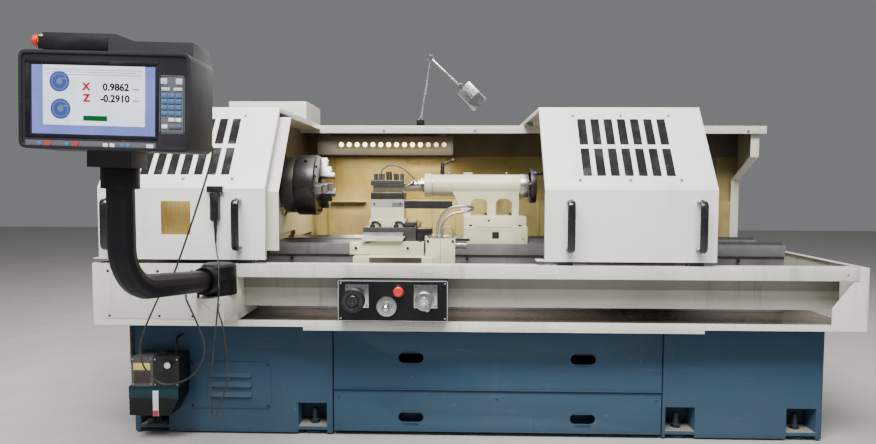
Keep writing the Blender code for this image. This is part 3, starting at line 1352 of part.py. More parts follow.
def saddle():
    plate_z = (BED_TOP + SEAT, SADDLE_TOP)
    plate = box((SADDLE_LEFT, SADDLE_RIGHT), (SADDLE_FRONT, SADDLE_BACK), plate_z)
    nose_y = span(SADDLE_FRONT, SADDLE_NOSE_DEPTH)
    nose = box((SADDLE_LEFT, SADDLE_RIGHT), nose_y, (SADDLE_NOSE_BOTTOM, SADDLE_TOP))
    wings = []
    for y in (span(-BED_HALF_WIDTH, WING_INSET), span(BED_HALF_WIDTH - WING_INSET, WING_INSET)):
        wings.append(box((SADDLE_LEFT - WING_LENGTH, SADDLE_RIGHT + WING_LENGTH), y, plate_z))
    way = dovetail(0, SADDLE_FRONT, SADDLE_BACK)
    grooves = way_grooves(SADDLE_LEFT - WING_LENGTH, SADDLE_RIGHT + WING_LENGTH)
    fuse("saddle", "cream_paint", [plate, nose, *wings, way], grooves, "carriage")


def apron():
    top = SADDLE_NOSE_BOTTOM - SEAT
    case = box((SADDLE_LEFT, APRON_RIGHT), (APRON_FRONT, APRON_BACK), (APRON_BOTTOM, top))
    side_y = (SIDE_BOX_FRONT, SIDE_BOX_BACK)
    side = box((SIDE_BOX_LEFT, SIDE_BOX_RIGHT), side_y, (SIDE_BOX_BOTTOM, SIDE_BOX_TOP))
    plunger_at = (0, (SIDE_BOX_FRONT + SIDE_BOX_BACK) / 2, SIDE_BOX_TOP - PLUNGER_RADIUS * 2)
    plunger_x = (SIDE_BOX_RIGHT - SINK, SIDE_BOX_RIGHT + PLUNGER_LENGTH)
    plunger = disc("x", plunger_at, PLUNGER_RADIUS, *plunger_x, 20)
    arm_x = (PANEL_MIDDLE - PANEL_ARM_WIDTH / 2, PANEL_MIDDLE + PANEL_ARM_WIDTH / 2)
    back = PANEL_BACK + SEAT
    arm = box(arm_x, (back, APRON_FRONT + SINK), (PANEL_ARM_BOTTOM, PANEL_ARM_TOP))
    plate = box(arm_x, span(back, PANEL_ARM_PLATE), (PANEL_ARM_BOTTOM, PANEL_ARM_PLATE_TOP))
    screw_y = -BED_HALF_WIDTH - SCREW_FORWARD
    radius = hole_radius(SCREW_RADIUS, 16)
    bore = disc("x", (0, screw_y, SCREW_HEIGHT), radius, SADDLE_LEFT - OVERRUN, APRON_RIGHT + OVERRUN, 16)
    extra = [(plunger, "black_plastic")]
    fuse("apron", "cream_paint", [case, side, arm, plate], [bore], "carriage", extra)


def dial_axis(x):
    return (x, 0, DIAL_HEIGHT)


def control_panel():
    z = (PANEL_BOTTOM, PANEL_TOP)
    shell = soft_box((PANEL_LEFT, PANEL_RIGHT), (PANEL_FRONT, PANEL_BACK), z, PANEL_CORNER, "y")
    half, near = DIAL_PLATE / 2, PANEL_FRONT - DIAL_PLATE_PROUD
    extra, cuts = [], []
    for x in (Z_DIAL_X, X_DIAL_X):
        plate_z = (DIAL_HEIGHT - half, DIAL_HEIGHT + half)
        extra.append((box((x - half, x + half), (near, PANEL_FRONT + SINK), plate_z), "steel"))
        boss = disc("y", dial_axis(x), DIAL_BOSS_RADIUS, near - DIAL_BOSS_LENGTH, near + SINK, 20)
        extra.append((boss, "steel"))
        bore = hole_radius(DIAL_SHAFT_RADIUS, 16)
        low = near - DIAL_BOSS_LENGTH
        cuts.append(disc("y", dial_axis(x), bore, low - OVERRUN, low + DIAL_SHAFT_DEPTH, 16))
    stick_at = (STICK_X, 0, STICK_HEIGHT)
    extra.append((disc("y", stick_at, STICK_PLATE_RADIUS, near, PANEL_FRONT + SINK, 32), "steel"))
    cup = hole_radius(STICK_PIVOT_RADIUS, 20)
    cuts.append(disc("y", stick_at, cup, near - OVERRUN, PANEL_FRONT + STICK_CUP_DEPTH, 20))
    stop_at = (STOP_X, 0, STOP_HEIGHT)
    ring_near = PANEL_FRONT - STOP_RING_LENGTH
    extra.append((disc("y", stop_at, STOP_RING_RADIUS, ring_near, PANEL_FRONT + SINK, 20), "steel"))
    bore = hole_radius(STOP_STEM_RADIUS, 16)
    deep = PANEL_FRONT + STOP_STEM_DEPTH + STOP_TRAVEL + RUN
    cuts.append(disc("y", stop_at, bore, ring_near - OVERRUN, deep, 16))
    fuse("control_panel", "black_paint", [shell], cuts, "carriage", extra)


def handwheels():
    near = PANEL_FRONT - DIAL_PLATE_PROUD - DIAL_BOSS_LENGTH
    out = PANEL_FRONT - DIAL_WHEEL_OUT
    for name, x, radius, paint in (
        ("z_handwheel", Z_DIAL_X, Z_WHEEL_RADIUS, "black_plastic"),
        ("x_handwheel", X_DIAL_X, X_WHEEL_RADIUS, "steel"),
    ):
        shaft = disc("y", dial_axis(x), DIAL_SHAFT_RADIUS, out, near + DIAL_SHAFT_DEPTH - SEAT, 16)
        rim, dish = radius * WHEEL_RIM_SHARE, WHEEL_THICKNESS * WHEEL_DISH_SHARE
        profile = [(0, out), (radius - dish / 2, out), (radius, out + dish / 2)]
        profile += [(radius, out + WHEEL_THICKNESS), (rim, out + WHEEL_THICKNESS)]
        profile += [(rim * WHEEL_RIM_SHARE, out + dish), (0, out + dish)]
        wheel = turned(profile, "y", dial_axis(x), 32)
        turn = math.radians(KNOB_TURN_DEG)
        orbit = radius * KNOB_ORBIT_SHARE
        knob_at = (x + orbit * math.cos(turn), 0, DIAL_HEIGHT + orbit * math.sin(turn))
        knob = disc("y", knob_at, KNOB_RADIUS, out - KNOB_LENGTH, out + SINK, 12)
        fuse(name, paint, [wheel, shaft, knob], carrier=name)


def ball(centre, radius, steps=16):
    half = steps // 2
    angles = [math.pi * i / half for i in range(half + 1)]
    profile = [(radius * math.sin(a), -radius * math.cos(a)) for a in angles]
    profile[0], profile[-1] = (0, -radius), (0, radius)
    return turned(profile, "z", centre, steps)


def joystick():
    pivot = (STICK_X, PANEL_FRONT, STICK_HEIGHT)
    tip = (STICK_X, PANEL_FRONT - STICK_LENGTH, STICK_HEIGHT)
    shapes = [ball(pivot, STICK_PIVOT_RADIUS), rod(pivot, tip, STICK_ROD_RADIUS), ball(tip, STICK_BALL_RADIUS)]
    fuse("joystick", "bright_steel", shapes, carrier="joystick")


def stop_button():
    at = (STOP_X, 0, STOP_HEIGHT)
    back = PANEL_FRONT - STOP_RING_LENGTH - STOP_TRAVEL - RUN
    front = back - STOP_CAP
    edge = STOP_CAP * CAP_ROUND_SHARE
    profile = [(0, front), (STOP_RADIUS - edge, front), (STOP_RADIUS, front + edge)]
    profile += [(STOP_RADIUS, back), (STOP_STEM_RADIUS, back)]
    profile += [(STOP_STEM_RADIUS, PANEL_FRONT + STOP_STEM_DEPTH), (0, PANEL_FRONT + STOP_STEM_DEPTH)]
    fuse("stop_button", "red_plastic", [turned(profile, "y", at, 24)], carrier="stop_button")


def cross_slide():
    z = (SADDLE_TOP + SEAT, SLIDE_TOP)
    plate = box((SLIDE_LEFT, SLIDE_RIGHT), (SLIDE_FRONT, SLIDE_BACK), z)
    groove = dovetail(RUN, SLIDE_FRONT - OVERRUN, SLIDE_BACK + OVERRUN)
    fuse("cross_slide", "steel", [plate], [groove], "cross_slide")


def riser():
    foot = SLIDE_TOP + SEAT
    block = box((RISER_LEFT, RISER_RIGHT), (RISER_FRONT, RISER_BACK), (foot, RISER_TOP))
    grow = RISER_FLANGE
    flange_x, flange_y = (RISER_LEFT - grow, RISER_RIGHT + grow), (RISER_FRONT - grow, RISER_BACK + grow)
    flange = box(flange_x, flange_y, span(foot, RISER_FLANGE_HEIGHT))
    bar_y = span(RISER_FRONT, CHIP_BAR_DEPTH)
    bar_z = (CHIP_BAR_TOP - CHIP_BAR_HEIGHT, CHIP_BAR_TOP)
    bar = box((RISER_RIGHT - SINK, RISER_RIGHT + CHIP_BAR_LENGTH), bar_y, bar_z)
    fuse("riser", "dark_iron", [block, flange, bar], carrier="cross_slide")


def tool_post():
    """A square post with a waist, its clamping bolts and a tool shank to the right."""
    x, y = (RISER_LEFT, RISER_RIGHT), (RISER_FRONT, RISER_BACK)
    waist = POST_WAIST_INSET
    adds = [
        box(x, y, (RISER_TOP + SEAT, POST_LOWER_TOP)),
        box((x[0] + waist, x[1] - waist), (y[0] + waist, y[1] - waist), (POST_LOWER_TOP - SINK, POST_WAIST_TOP + SINK)),
        box(x, y, (POST_WAIST_TOP, POST_UPPER_TOP)),
    ]
    middle = ((x[0] + x[1]) / 2, (y[0] + y[1]) / 2, 0)
    adds.append(disc("z", middle, POST_STUD_RADIUS, POST_UPPER_TOP - SINK, POST_UPPER_TOP + POST_STUD_HEIGHT, 6))
    reach_x, reach_y = (x[1] - x[0]) / 2 - POST_BOLT_INSET, (y[1] - y[0]) / 2 - POST_BOLT_INSET
    for side in (-1, 1):
        for share in POST_BOLT_SHARES:
            for dx, dy in ((side * reach_x, share * reach_y), (share * reach_x, side * reach_y)):
                at = (middle[0] + dx, middle[1] + dy, 0)
                low, high = POST_UPPER_TOP - SINK, POST_UPPER_TOP + POST_BOLT_HEIGHT
                adds.append(disc("z", at, POST_BOLT_RADIUS, low, high, 6))
    shank_y = span(y[0] + waist, SHANK_SIDE)
    shank = box((x[1] - waist - SINK, x[1] + SHANK_LENGTH), shank_y, (SHANK_TOP - SHANK_SIDE, SHANK_TOP))
    fuse("tool_post", "steel", adds, carrier="cross_slide", extra=[(shank, "dark_iron")])


# Tailstock

TAIL_AXIS = (0, 0, SPINDLE_HEIGHT)
CAP_RIGHT = BARREL_RIGHT + CAP_LENGTH


def tailstock_base():
    z = (BED_TOP + SEAT, TAIL_SPLIT)
    block = box((TAIL_LEFT, TAIL_RIGHT), (-TAIL_HALF_WIDTH, TAIL_HALF_WIDTH), z)
    side = SOCKET_SIDE / 2
    middle = (BED_TOP + TAIL_SPLIT) / 2
    x = (TAIL_LEFT + TAIL_RIGHT) / 2
    socket_y = (-TAIL_HALF_WIDTH - OVERRUN, SOCKET_SIDE - TAIL_HALF_WIDTH)
    socket = box((x - side, x + side), socket_y, (middle - side, middle + side))
    fuse("tailstock_base", "cream_paint", [block], [*way_grooves(TAIL_LEFT, TAIL_RIGHT), socket], "tailstock")


def tailstock_body():
    """The foot, the arched web and the barrel, bored for the quill and for the wheel's shaft."""
    x = (TAIL_LEFT, TAIL_RIGHT)
    foot = box(x, (-TAIL_FOOT_HALF, TAIL_FOOT_HALF), (TAIL_SPLIT + SEAT, TAIL_FOOT_TOP))
    low, right, brow = TAIL_FOOT_TOP - SINK, BARREL_RIGHT - WEB_END_INSET, BARREL_LEFT + WEB_BROW
    high = SPINDLE_HEIGHT - WEB_TOP_DROP
    outline = [(TAIL_LEFT + SINK, low), (right, low), (right, high), (brow, high)]
    web = prism(outline, "y", -WEB_HALF, WEB_HALF)
    nose = BARREL_LEFT + COLLAR_LENGTH
    profile = [(0, BARREL_LEFT), (COLLAR_RADIUS, BARREL_LEFT), (COLLAR_RADIUS, nose), (BARREL_RADIUS, nose)]
    profile += [(BARREL_RADIUS, BARREL_RIGHT), (COLLAR_RADIUS, BARREL_RIGHT), (COLLAR_RADIUS, CAP_RIGHT), (0, CAP_RIGHT)]
    barrel = turned(profile, "x", TAIL_AXIS, 32)
    top = SPINDLE_HEIGHT + BARREL_RADIUS
    boss_z = (top - TOP_BOSS_RISE - SINK, top + TOP_BOSS_RISE)
    boss = box(span(TAIL_LEFT, TOP_BOSS_LENGTH), (-TOP_BOSS_HALF, TOP_BOSS_HALF), boss_z)
    cuts = []
    for centre in ARCH_CENTRES:
        low, high = (centre - ARCH_WIDTH / 2, TAIL_FOOT_TOP + SINK), (centre + ARCH_WIDTH / 2, ARCH_TOP)
        outline = [low, (high[0], low[1]), *arc((high[0] - ARCH_RADIUS, high[1] - ARCH_RADIUS), ARCH_RADIUS, 0, 90, 5)]
        outline += arc((low[0] + ARCH_RADIUS, high[1] - ARCH_RADIUS), ARCH_RADIUS, 90, 180, 5)
        cuts.append(prism(outline, "y", -WEB_HALF - OVERRUN, WEB_HALF + OVERRUN))
    cuts.append(disc("x", TAIL_AXIS, hole_radius(QUILL_RADIUS, 32), BARREL_LEFT - OVERRUN, TAIL_BORE_END, 32))
    cuts.append(disc("x", TAIL_AXIS, hole_radius(TAIL_SHAFT_RADIUS, 16), TAIL_BORE_END - OVERRUN, CAP_RIGHT + OVERRUN, 16))
    lever_hole = hole_radius(LEVER_POST_RADIUS, 12)
    cuts.append(disc("z", (LEVER_X, 0, 0), lever_hole, top - LEVER_PIN_DEPTH, top + OVERRUN, 12))
    fuse("tailstock_body", "cream_paint", [foot, web, barrel, boss], cuts, "tailstock")


def quill():
    face, tip = BARREL_LEFT - QUILL_OUT, BARREL_LEFT - QUILL_OUT - CENTRE_TIP
    cone = tip + CENTRE_RADIUS / math.tan(math.radians(CENTRE_HALF_ANGLE_DEG))
    profile = [(0, tip), (CENTRE_RADIUS, cone), (CENTRE_RADIUS, face), (QUILL_RADIUS, face)]
    profile += [(QUILL_RADIUS, face + QUILL_LENGTH), (0, face + QUILL_LENGTH)]
    fuse("quill", "bright_steel", [turned(profile, "x", TAIL_AXIS, 32)], carrier="quill")


def tailstock_handwheel():
    near = CAP_RIGHT + TAIL_WHEEL_GAP
    far = near + TAIL_WHEEL_THICKNESS
    rim = ring("x", TAIL_AXIS, TAIL_WHEEL_RADIUS - TAIL_WHEEL_RIM, TAIL_WHEEL_RADIUS, near, far, 36)
    hub = disc("x", TAIL_AXIS, TAIL_HUB_RADIUS, near, far, 20)
    shaft = disc("x", TAIL_AXIS, TAIL_SHAFT_RADIUS, TAIL_BORE_END + SEAT, near + SINK, 16)
    spokes = []
    half = TAIL_SPOKE_WIDTH / 2
    inset = TAIL_WHEEL_THICKNESS * SPOKE_INSET_SHARE
    for i in range(TAIL_SPOKES):
        z = (SPINDLE_HEIGHT, SPINDLE_HEIGHT + TAIL_WHEEL_RADIUS - TAIL_WHEEL_RIM / 2)
        spokes.append(moved(box((near + inset, far - inset), (-half, half), z), about_spindle(360 * i / TAIL_SPOKES)))
    turn = math.radians(TAIL_KNOB_TURN_DEG)
    orbit = TAIL_WHEEL_RADIUS - TAIL_WHEEL_RIM / 2
    at = (0, -orbit * math.sin(turn), SPINDLE_HEIGHT + orbit * math.cos(turn))
    knob = disc("x", at, KNOB_RADIUS, far - SINK, far + KNOB_LENGTH, 12)
    fuse("tailstock_handwheel", "steel", [hub, rim, *spokes, shaft, knob], carrier="tailstock_wheel")


def clamp_lever():
    top = SPINDLE_HEIGHT + BARREL_RADIUS
    high = top + LEVER_POST_HEIGHT
    post = disc("z", (LEVER_X, 0, 0), LEVER_POST_RADIUS, top - LEVER_PIN_DEPTH + SEAT, high, 12)
    start = (LEVER_X, 0, high - LEVER_BAR_RADIUS)
    end = (LEVER_X + LEVER_REACH, 0, high + LEVER_RISE)
    shapes = [post, rod(start, end, LEVER_BAR_RADIUS, 10), ball(end, LEVER_KNOB_RADIUS, 12)]
    fuse("clamp_lever", "steel", shapes, carrier="clamp_lever")


# Pendant arm and pendant

ARM_ROOT = (KNUCKLE_X, KNUCKLE_Y, ARM_NEAR_HEIGHT)
ARM_ELBOW = (ARM_TOP_X, ARM_TOP_Y, ARM_FAR_HEIGHT)
ARM_TOP = (ARM_TOP_X, ARM_TOP_Y, COLLAR_BOTTOM)
PENDANT_BOTTOM = COLLAR_BOTTOM + NECK_COLLAR_HEIGHT + SEAT


def rolled(mesh):
    """Tilts what is made upright on the arm's top to the pendant's slight roll."""
    return moved(mesh, about("Y", PENDANT_ROLL_DEG, ARM_TOP))


def arm_support_box():
    y = (TRAY_FRONT - BOX_REACH, TRAY_FRONT - SEAT)
    shell = soft_box((BOX_LEFT, BOX_RIGHT), y, (BOX_BOTTOM, BOX_TOP), SHEET, "y")
    hole = disc("z", (KNUCKLE_X, KNUCKLE_Y, 0), hole_radius(KNUCKLE_PIN_RADIUS, 20), BOX_TOP - KNUCKLE_PIN_DEPTH, BOX_TOP + OVERRUN, 20)
    fuse("arm_support_box", "cream_paint", [shell], [hole])


def toward_elbow(distance):
    return Vector(ARM_ROOT) + (Vector(ARM_ELBOW) - Vector(ARM_ROOT)).normalized() * distance


def arm_bracket():
    foot, top, cut = BOX_TOP + SEAT, BOX_TOP + KNUCKLE_HEIGHT, KNUCKLE_CHAMFER
    profile = [(0, foot - KNUCKLE_PIN_DEPTH + SEAT), (KNUCKLE_PIN_RADIUS, foot - KNUCKLE_PIN_DEPTH + SEAT)]
    profile += [(KNUCKLE_PIN_RADIUS, foot), (KNUCKLE_RADIUS, foot), (KNUCKLE_RADIUS, top - cut)]
    profile += [(KNUCKLE_RADIUS - cut, top), (0, top)]
    knuckle = turned(profile, "z", (KNUCKLE_X, KNUCKLE_Y, 0), 32)
    sleeve = rod(ARM_ROOT, toward_elbow(SLEEVE_LENGTH), KNUCKLE_NECK, 24)
    bore = rod(toward_elbow(ARM_INSERT - SEAT), toward_elbow(SLEEVE_LENGTH + OVERRUN), hole_radius(ARM_RADIUS, ARM_STEPS), ARM_STEPS)
    deep = KNUCKLE_X - KNUCKLE_RADIUS + LOCK_STUB
    pin_at = (0, KNUCKLE_Y, LOCK_HEIGHT)
    pin_hole = disc("x", pin_at, hole_radius(LOCK_RADIUS, 12), KNUCKLE_X - KNUCKLE_RADIUS - OVERRUN, deep + SEAT, 12)
    fuse("arm_bracket", "black_paint", [knuckle, sleeve], [bore, pin_hole], "arm")


def arm_tube():
    route = bent_route([toward_elbow(ARM_INSERT), ARM_ELBOW, ARM_TOP], ARM_BEND, ARM_BEND_STEPS)
    tube = swept(route, ARM_RADIUS, ARM_STEPS // 4 - 1)
    low, high = COLLAR_BOTTOM, COLLAR_BOTTOM + NECK_COLLAR_HEIGHT
    collar = rolled(disc("z", (ARM_TOP_X, ARM_TOP_Y, 0), NECK_COLLAR_RADIUS, low - SINK * 2, high, 28))
    pin_top = high + PENDANT_PIN_HEIGHT
    pin = rolled(disc("z", (ARM_TOP_X, ARM_TOP_Y, 0), PENDANT_PIN_RADIUS, high - SINK, pin_top, 20))
    fuse("arm_tube", "black_paint", [tube, collar, pin], carrier="arm")


def arm_lock_lever():
    deep = KNUCKLE_X - KNUCKLE_RADIUS + LOCK_STUB
    out = KNUCKLE_X - KNUCKLE_RADIUS - LOCK_STUB
    pin = rod((deep, KNUCKLE_Y, LOCK_HEIGHT), (out, KNUCKLE_Y, LOCK_HEIGHT), LOCK_RADIUS)
    end = (out, KNUCKLE_Y, LOCK_HEIGHT - LOCK_LENGTH)
    bar = rod((out, KNUCKLE_Y, LOCK_HEIGHT), end, LOCK_RADIUS)
    shapes = [pin, ball((out, KNUCKLE_Y, LOCK_HEIGHT), LOCK_RADIUS * 1.4, 12), bar, ball(end, LOCK_RADIUS * 1.4, 12)]
    fuse("arm_lock_lever", "black_plastic", shapes, carrier="arm_lock_lever")


def pendant_outline():
    """Low and high x and z of the pendant's shell before its roll."""
    left = ARM_TOP_X + PENDANT_OFFSET - PENDANT_WIDTH / 2
    low = PENDANT_BOTTOM + PENDANT_BLOCK_HEIGHT
    return (left, left + PENDANT_WIDTH), (low, low + PENDANT_HEIGHT)


def pendant_housing():
    x, z = pendant_outline()
    front, back = PENDANT_FRONT, PENDANT_FRONT + PENDANT_DEPTH
    shell = soft_box(x, (front, back), z, PENDANT_CORNER, "y", 4)
    inset = PENDANT_BACK_INSET
    hatch = box((x[0] + inset, x[1] - inset), (back - SINK, back + PENDANT_BACK_DEPTH), (z[0] + inset, z[1] - inset))
    half = PENDANT_BLOCK_HALF
    block_y = (ARM_TOP_Y - half, back - SINK)
    block = box((ARM_TOP_X - half, ARM_TOP_X + half), block_y, (PENDANT_BOTTOM, z[0] + SINK))
    wide = PENDANT_WIDTH
    low = z[1] + HUMP_HEIGHT * HUMP_LOW_SHARE
    outline = [(x[0] + HUMP_LEFT_INSET, z[1] - PENDANT_CORNER), (x[0] + HUMP_LEFT_INSET, z[1] + HUMP_HEIGHT)]
    outline += [(x[0] + wide * HUMP_STEP_LEFT_SHARE, z[1] + HUMP_HEIGHT), (x[0] + wide * HUMP_STEP_RIGHT_SHARE, low)]
    outline += [(x[1] - HUMP_RIGHT_INSET, low), (x[1] - HUMP_RIGHT_INSET, z[1] - PENDANT_CORNER)]
    hump = prism(outline, "y", front + HUMP_FRONT_DEPTH, back)
    wall = BEZEL_WALL
    face = soft_box((x[0] + wall, x[1] - wall), (front - OVERRUN, front + BEZEL_RECESS), (z[0] + wall, z[1] - wall), PENDANT_CORNER - wall, "y", 3)
    screen_x = span(x[0] + SCREEN_LEFT_INSET, SCREEN_WIDTH)
    screen_z = span(z[0] + SCREEN_BOTTOM_INSET, SCREEN_HEIGHT)
    screen = box(screen_x, (front - OVERRUN, front + BEZEL_RECESS + SHEET), screen_z)
    at = (ARM_TOP_X, ARM_TOP_Y, 0)
    socket = disc("z", at, hole_radius(PENDANT_PIN_RADIUS, 20), PENDANT_BOTTOM - OVERRUN, PENDANT_BOTTOM + PENDANT_PIN_HEIGHT, 20)
    left = x[0] + HUMP_LEFT_INSET
    stop_at = estop_axis()
    ring_piece = disc("x", stop_at, ESTOP_RING_RADIUS, left - ESTOP_RING_LENGTH, left + SINK, 20)
    bore = disc("x", stop_at, hole_radius(ESTOP_STEM_RADIUS, 16), left - ESTOP_RING_LENGTH - OVERRUN, left + ESTOP_TRAVEL + RUN, 16)
    shapes = [rolled(mesh) for mesh in (shell, hatch, block, hump)]
    cuts = [rolled(mesh) for mesh in (face, screen, socket, bore)]
    fuse("pendant_housing", "black_paint", shapes, cuts, "pendant", [(rolled(ring_piece), "splash_paint")])


def estop_axis():
    _, z = pendant_outline()
    return (0, PENDANT_FRONT + ESTOP_DEPTH + ESTOP_RING_RADIUS, z[1] + HUMP_HEIGHT - ESTOP_RING_RADIUS)


def e_stop():
    x, _ = pendant_outline()
    left = x[0] + HUMP_LEFT_INSET
    near = left - ESTOP_RING_LENGTH - ESTOP_TRAVEL - RUN
    far, edge = near - ESTOP_CAP, ESTOP_CAP * CAP_ROUND_SHARE
    profile = [(0, far), (ESTOP_RADIUS - edge, far), (ESTOP_RADIUS, far + edge), (ESTOP_RADIUS, near)]
    profile += [(ESTOP_STEM_RADIUS, near), (ESTOP_STEM_RADIUS, left), (0, left)]
    fuse("e_stop", "red_plastic", [rolled(turned(profile, "x", estop_axis(), 24))], carrier="e_stop")


# Work lamp

LAMP_FOOT = ROOF_TOP + SEAT + LAMP_BASE_HEIGHT
LAMP_ELBOW = (LAMP_ELBOW_X, LAMP_ELBOW_Z)
LAMP_KNEE = (LAMP_KNEE_X, LAMP_KNEE_Z)
KNEE_Y = LAMP_Y - 2 * LAMP_JOINT_HALF - SEAT


def lamp_base():
    half = LAMP_BASE_WIDTH / 2
    low = ROOF_TOP + SEAT
    x, y = (LAMP_X - half, LAMP_X + half), (LAMP_Y - half * LAMP_BASE_DEPTH_SHARE, LAMP_Y + half)
    block = soft_box(x, y, (low, LAMP_FOOT), SHEET)
    radius = hole_radius(LAMP_PIN_RADIUS, 12)
    hole = disc("z", (LAMP_X, LAMP_Y, 0), radius, LAMP_FOOT - LAMP_PIN_DEPTH, LAMP_FOOT + OVERRUN, 12)
    fuse("lamp_base", "black_paint", [block], [hole])


def lamp_lower_arm():
    x, z = LAMP_ELBOW
    foot = LAMP_FOOT + SEAT
    profile = [(0, foot - LAMP_PIN_DEPTH + SEAT), (LAMP_PIN_RADIUS, foot - LAMP_PIN_DEPTH + SEAT)]
    profile += [(LAMP_PIN_RADIUS, foot), (LAMP_JOINT_RADIUS, foot), (LAMP_JOINT_RADIUS, foot + LAMP_JOINT_RADIUS)]
    profile += [(0, foot + LAMP_JOINT_RADIUS)]
    turret = turned(profile, "z", (LAMP_X, LAMP_Y, 0), 16)
    tube = rod((LAMP_X, LAMP_Y, foot + SINK), (x, LAMP_Y, z), LAMP_TUBE)
    near, far = LAMP_Y - LAMP_JOINT_HALF, LAMP_Y + LAMP_JOINT_HALF
    eye = disc("y", (x, 0, z), LAMP_JOINT_RADIUS, near, far, 20)
    pin = disc("y", (x, 0, z), LAMP_PIN_RADIUS, near - 2 * LAMP_JOINT_HALF, near + SINK, 12)
    fuse("lamp_lower_arm", "black_paint", [turret, tube, eye, pin], carrier="lamp_lower_arm")


def lamp_upper_arm():
    (x, z), (knee_x, knee_z) = LAMP_ELBOW, LAMP_KNEE
    near, far = KNEE_Y - LAMP_JOINT_HALF, KNEE_Y + LAMP_JOINT_HALF
    eye = disc("y", (x, 0, z), LAMP_JOINT_RADIUS, near, far, 20)
    end = disc("y", (knee_x, 0, knee_z), LAMP_JOINT_RADIUS, near, far, 20)
    tube = rod((x, KNEE_Y, z), (knee_x, KNEE_Y, knee_z), LAMP_TUBE)
    pin = disc("y", (knee_x, 0, knee_z), LAMP_PIN_RADIUS, near - 2 * LAMP_JOINT_HALF, near + SINK, 12)
    hole = disc("y", (x, 0, z), hole_radius(LAMP_PIN_RADIUS, 12), near - OVERRUN, far + OVERRUN, 12)
    fuse("lamp_upper_arm", "black_paint", [eye, tube, end, pin], [hole], "lamp_upper_arm")


def lamp_head():
    """The lamp's head hangs from a yoke block on the knee's pin and points down to the right."""
    x, z = LAMP_KNEE
    y = KNEE_Y - 2 * LAMP_JOINT_HALF - SEAT
    near, far = y - LAMP_JOINT_HALF, y + LAMP_JOINT_HALF
    eye = disc("y", (x, 0, z), LAMP_JOINT_RADIUS, near, far, 20)
    half = LAMP_HEAD_SIDE / 2
    gap = LAMP_JOINT_RADIUS + LAMP_HEAD_GAP
    head_y = (y - half, y + half)
    head = soft_box((x - half, x + half), head_y, (z - gap - LAMP_HEAD_LENGTH, z - gap), LAMP_HEAD_CORNER, "z", 3)
    stem = box((x - LAMP_TUBE, x + LAMP_TUBE), (near, far), (z - gap - SINK, z))
    front = (z - gap - LAMP_HEAD_LENGTH - OVERRUN, z - gap - LAMP_HEAD_LENGTH + LAMP_LENS_DEPTH)
    rim = half - SHEET * 2
    lens = soft_box((x - rim, x + rim), (y - rim, y + rim), front, LAMP_HEAD_CORNER / 2, "z", 3)
    hole = disc("y", (x, 0, z), hole_radius(LAMP_PIN_RADIUS, 12), near - OVERRUN, far + OVERRUN, 12)
    turn = about("Y", -LAMP_HEAD_DEG, (x, y, z))
    shapes, cuts = [moved(m, turn) for m in (eye, stem, head)], [moved(lens, turn), hole]
    fuse("lamp_head", "black_paint", shapes, cuts, "lamp_head")


# Lubricator on the left pedestal


def lube_unit():
    back = BASE_FRONT - SEAT
    front = back - LUBE_DEPTH
    middle = LUBE_LEFT + (LUBE_RIGHT - LUBE_LEFT) * LUBE_MID_SHARE
    pump = box((LUBE_LEFT, middle), (front + SHEET, back), (LUBE_BOX_BOTTOM, LUBE_BOX_TOP))
    face = box((middle - SINK, LUBE_RIGHT), (front, back), (LUBE_BOX_BOTTOM, LUBE_BOX_TOP + SHEET))
    low, high = TANK_BOTTOM_Z, LUBE_BOX_BOTTOM + SINK
    left, right = LUBE_LEFT - TANK_FLARE, LUBE_RIGHT - TANK_FLARE / 2
    outline = [(left, low), (right - TANK_TAPER, low), (right, low + TANK_TAPER * 2), (right, high), (left, high)]
    tank = prism(outline, "y", front + SHEET, back)
    middle_y = (front + back) / 2
    gauge = disc("y", (GAUGE_X, 0, GAUGE_Z), GAUGE_RADIUS, front - GAUGE_PROUD, front + SINK, 20)
    drain = disc("z", (LUBE_LEFT + TANK_TAPER, front + TANK_TAPER, 0), LUBE_HOSE_RADIUS, low - TANK_FLARE, low + SINK, 12)
    bend = LUBE_PIPE_RADIUS * 3
    pipe_route = [(PIPE_X, middle_y, LUBE_BOX_TOP), (PIPE_X, middle_y, PIPE_TOP), (PIPE_X, back, PIPE_TOP)]
    pipe = swept(bent_route(pipe_route, bend, 4), LUBE_PIPE_RADIUS, 1)
    hose_top = BASE_HEIGHT - SEAT
    hose_x = LUBE_LEFT - LUBE_HOSE_RADIUS * 2
    hose_route = [(LUBE_LEFT + SINK, middle_y, HOSE_LOW), (hose_x, middle_y, HOSE_LOW), (hose_x, middle_y, hose_top)]
    hose = swept(bent_route(hose_route, LUBE_HOSE_RADIUS * 1.8, 4), LUBE_HOSE_RADIUS, 2)
    extra = [(face, "black_plastic"), (tank, "teal_plastic"), (drain, "steel")]
    extra += [(gauge, "white_paint"), (pipe, "steel"), (hose, "cable_black")]
    fuse("lube_unit", "steel", [pump], extra=extra)


# Cords


def cords():
    cord("pendant_cable", "cable_black", PENDANT_CABLE, CORD_RADIUS, 3, "arm")
    cord("handset_cable", "cable_black", HANDSET_CABLE, HANDSET_CORD_RADIUS, 2, "machine")
    cord("conduit_1", "conduit_silver", CONDUIT_LOOP, CONDUIT_RADIUS, 3, "carriage")
    cord("conduit_2", "conduit_silver", CONDUIT_SHORT, CONDUIT_SHORT_RADIUS, 2, "carriage")
    cord("coolant_line", "teal_plastic", COOLANT_LINE, COOLANT_RADIUS, 2, "cross_slide")


CORDS = ("pendant_cable", "handset_cable", "conduit_1", "conduit_2", "coolant_line")


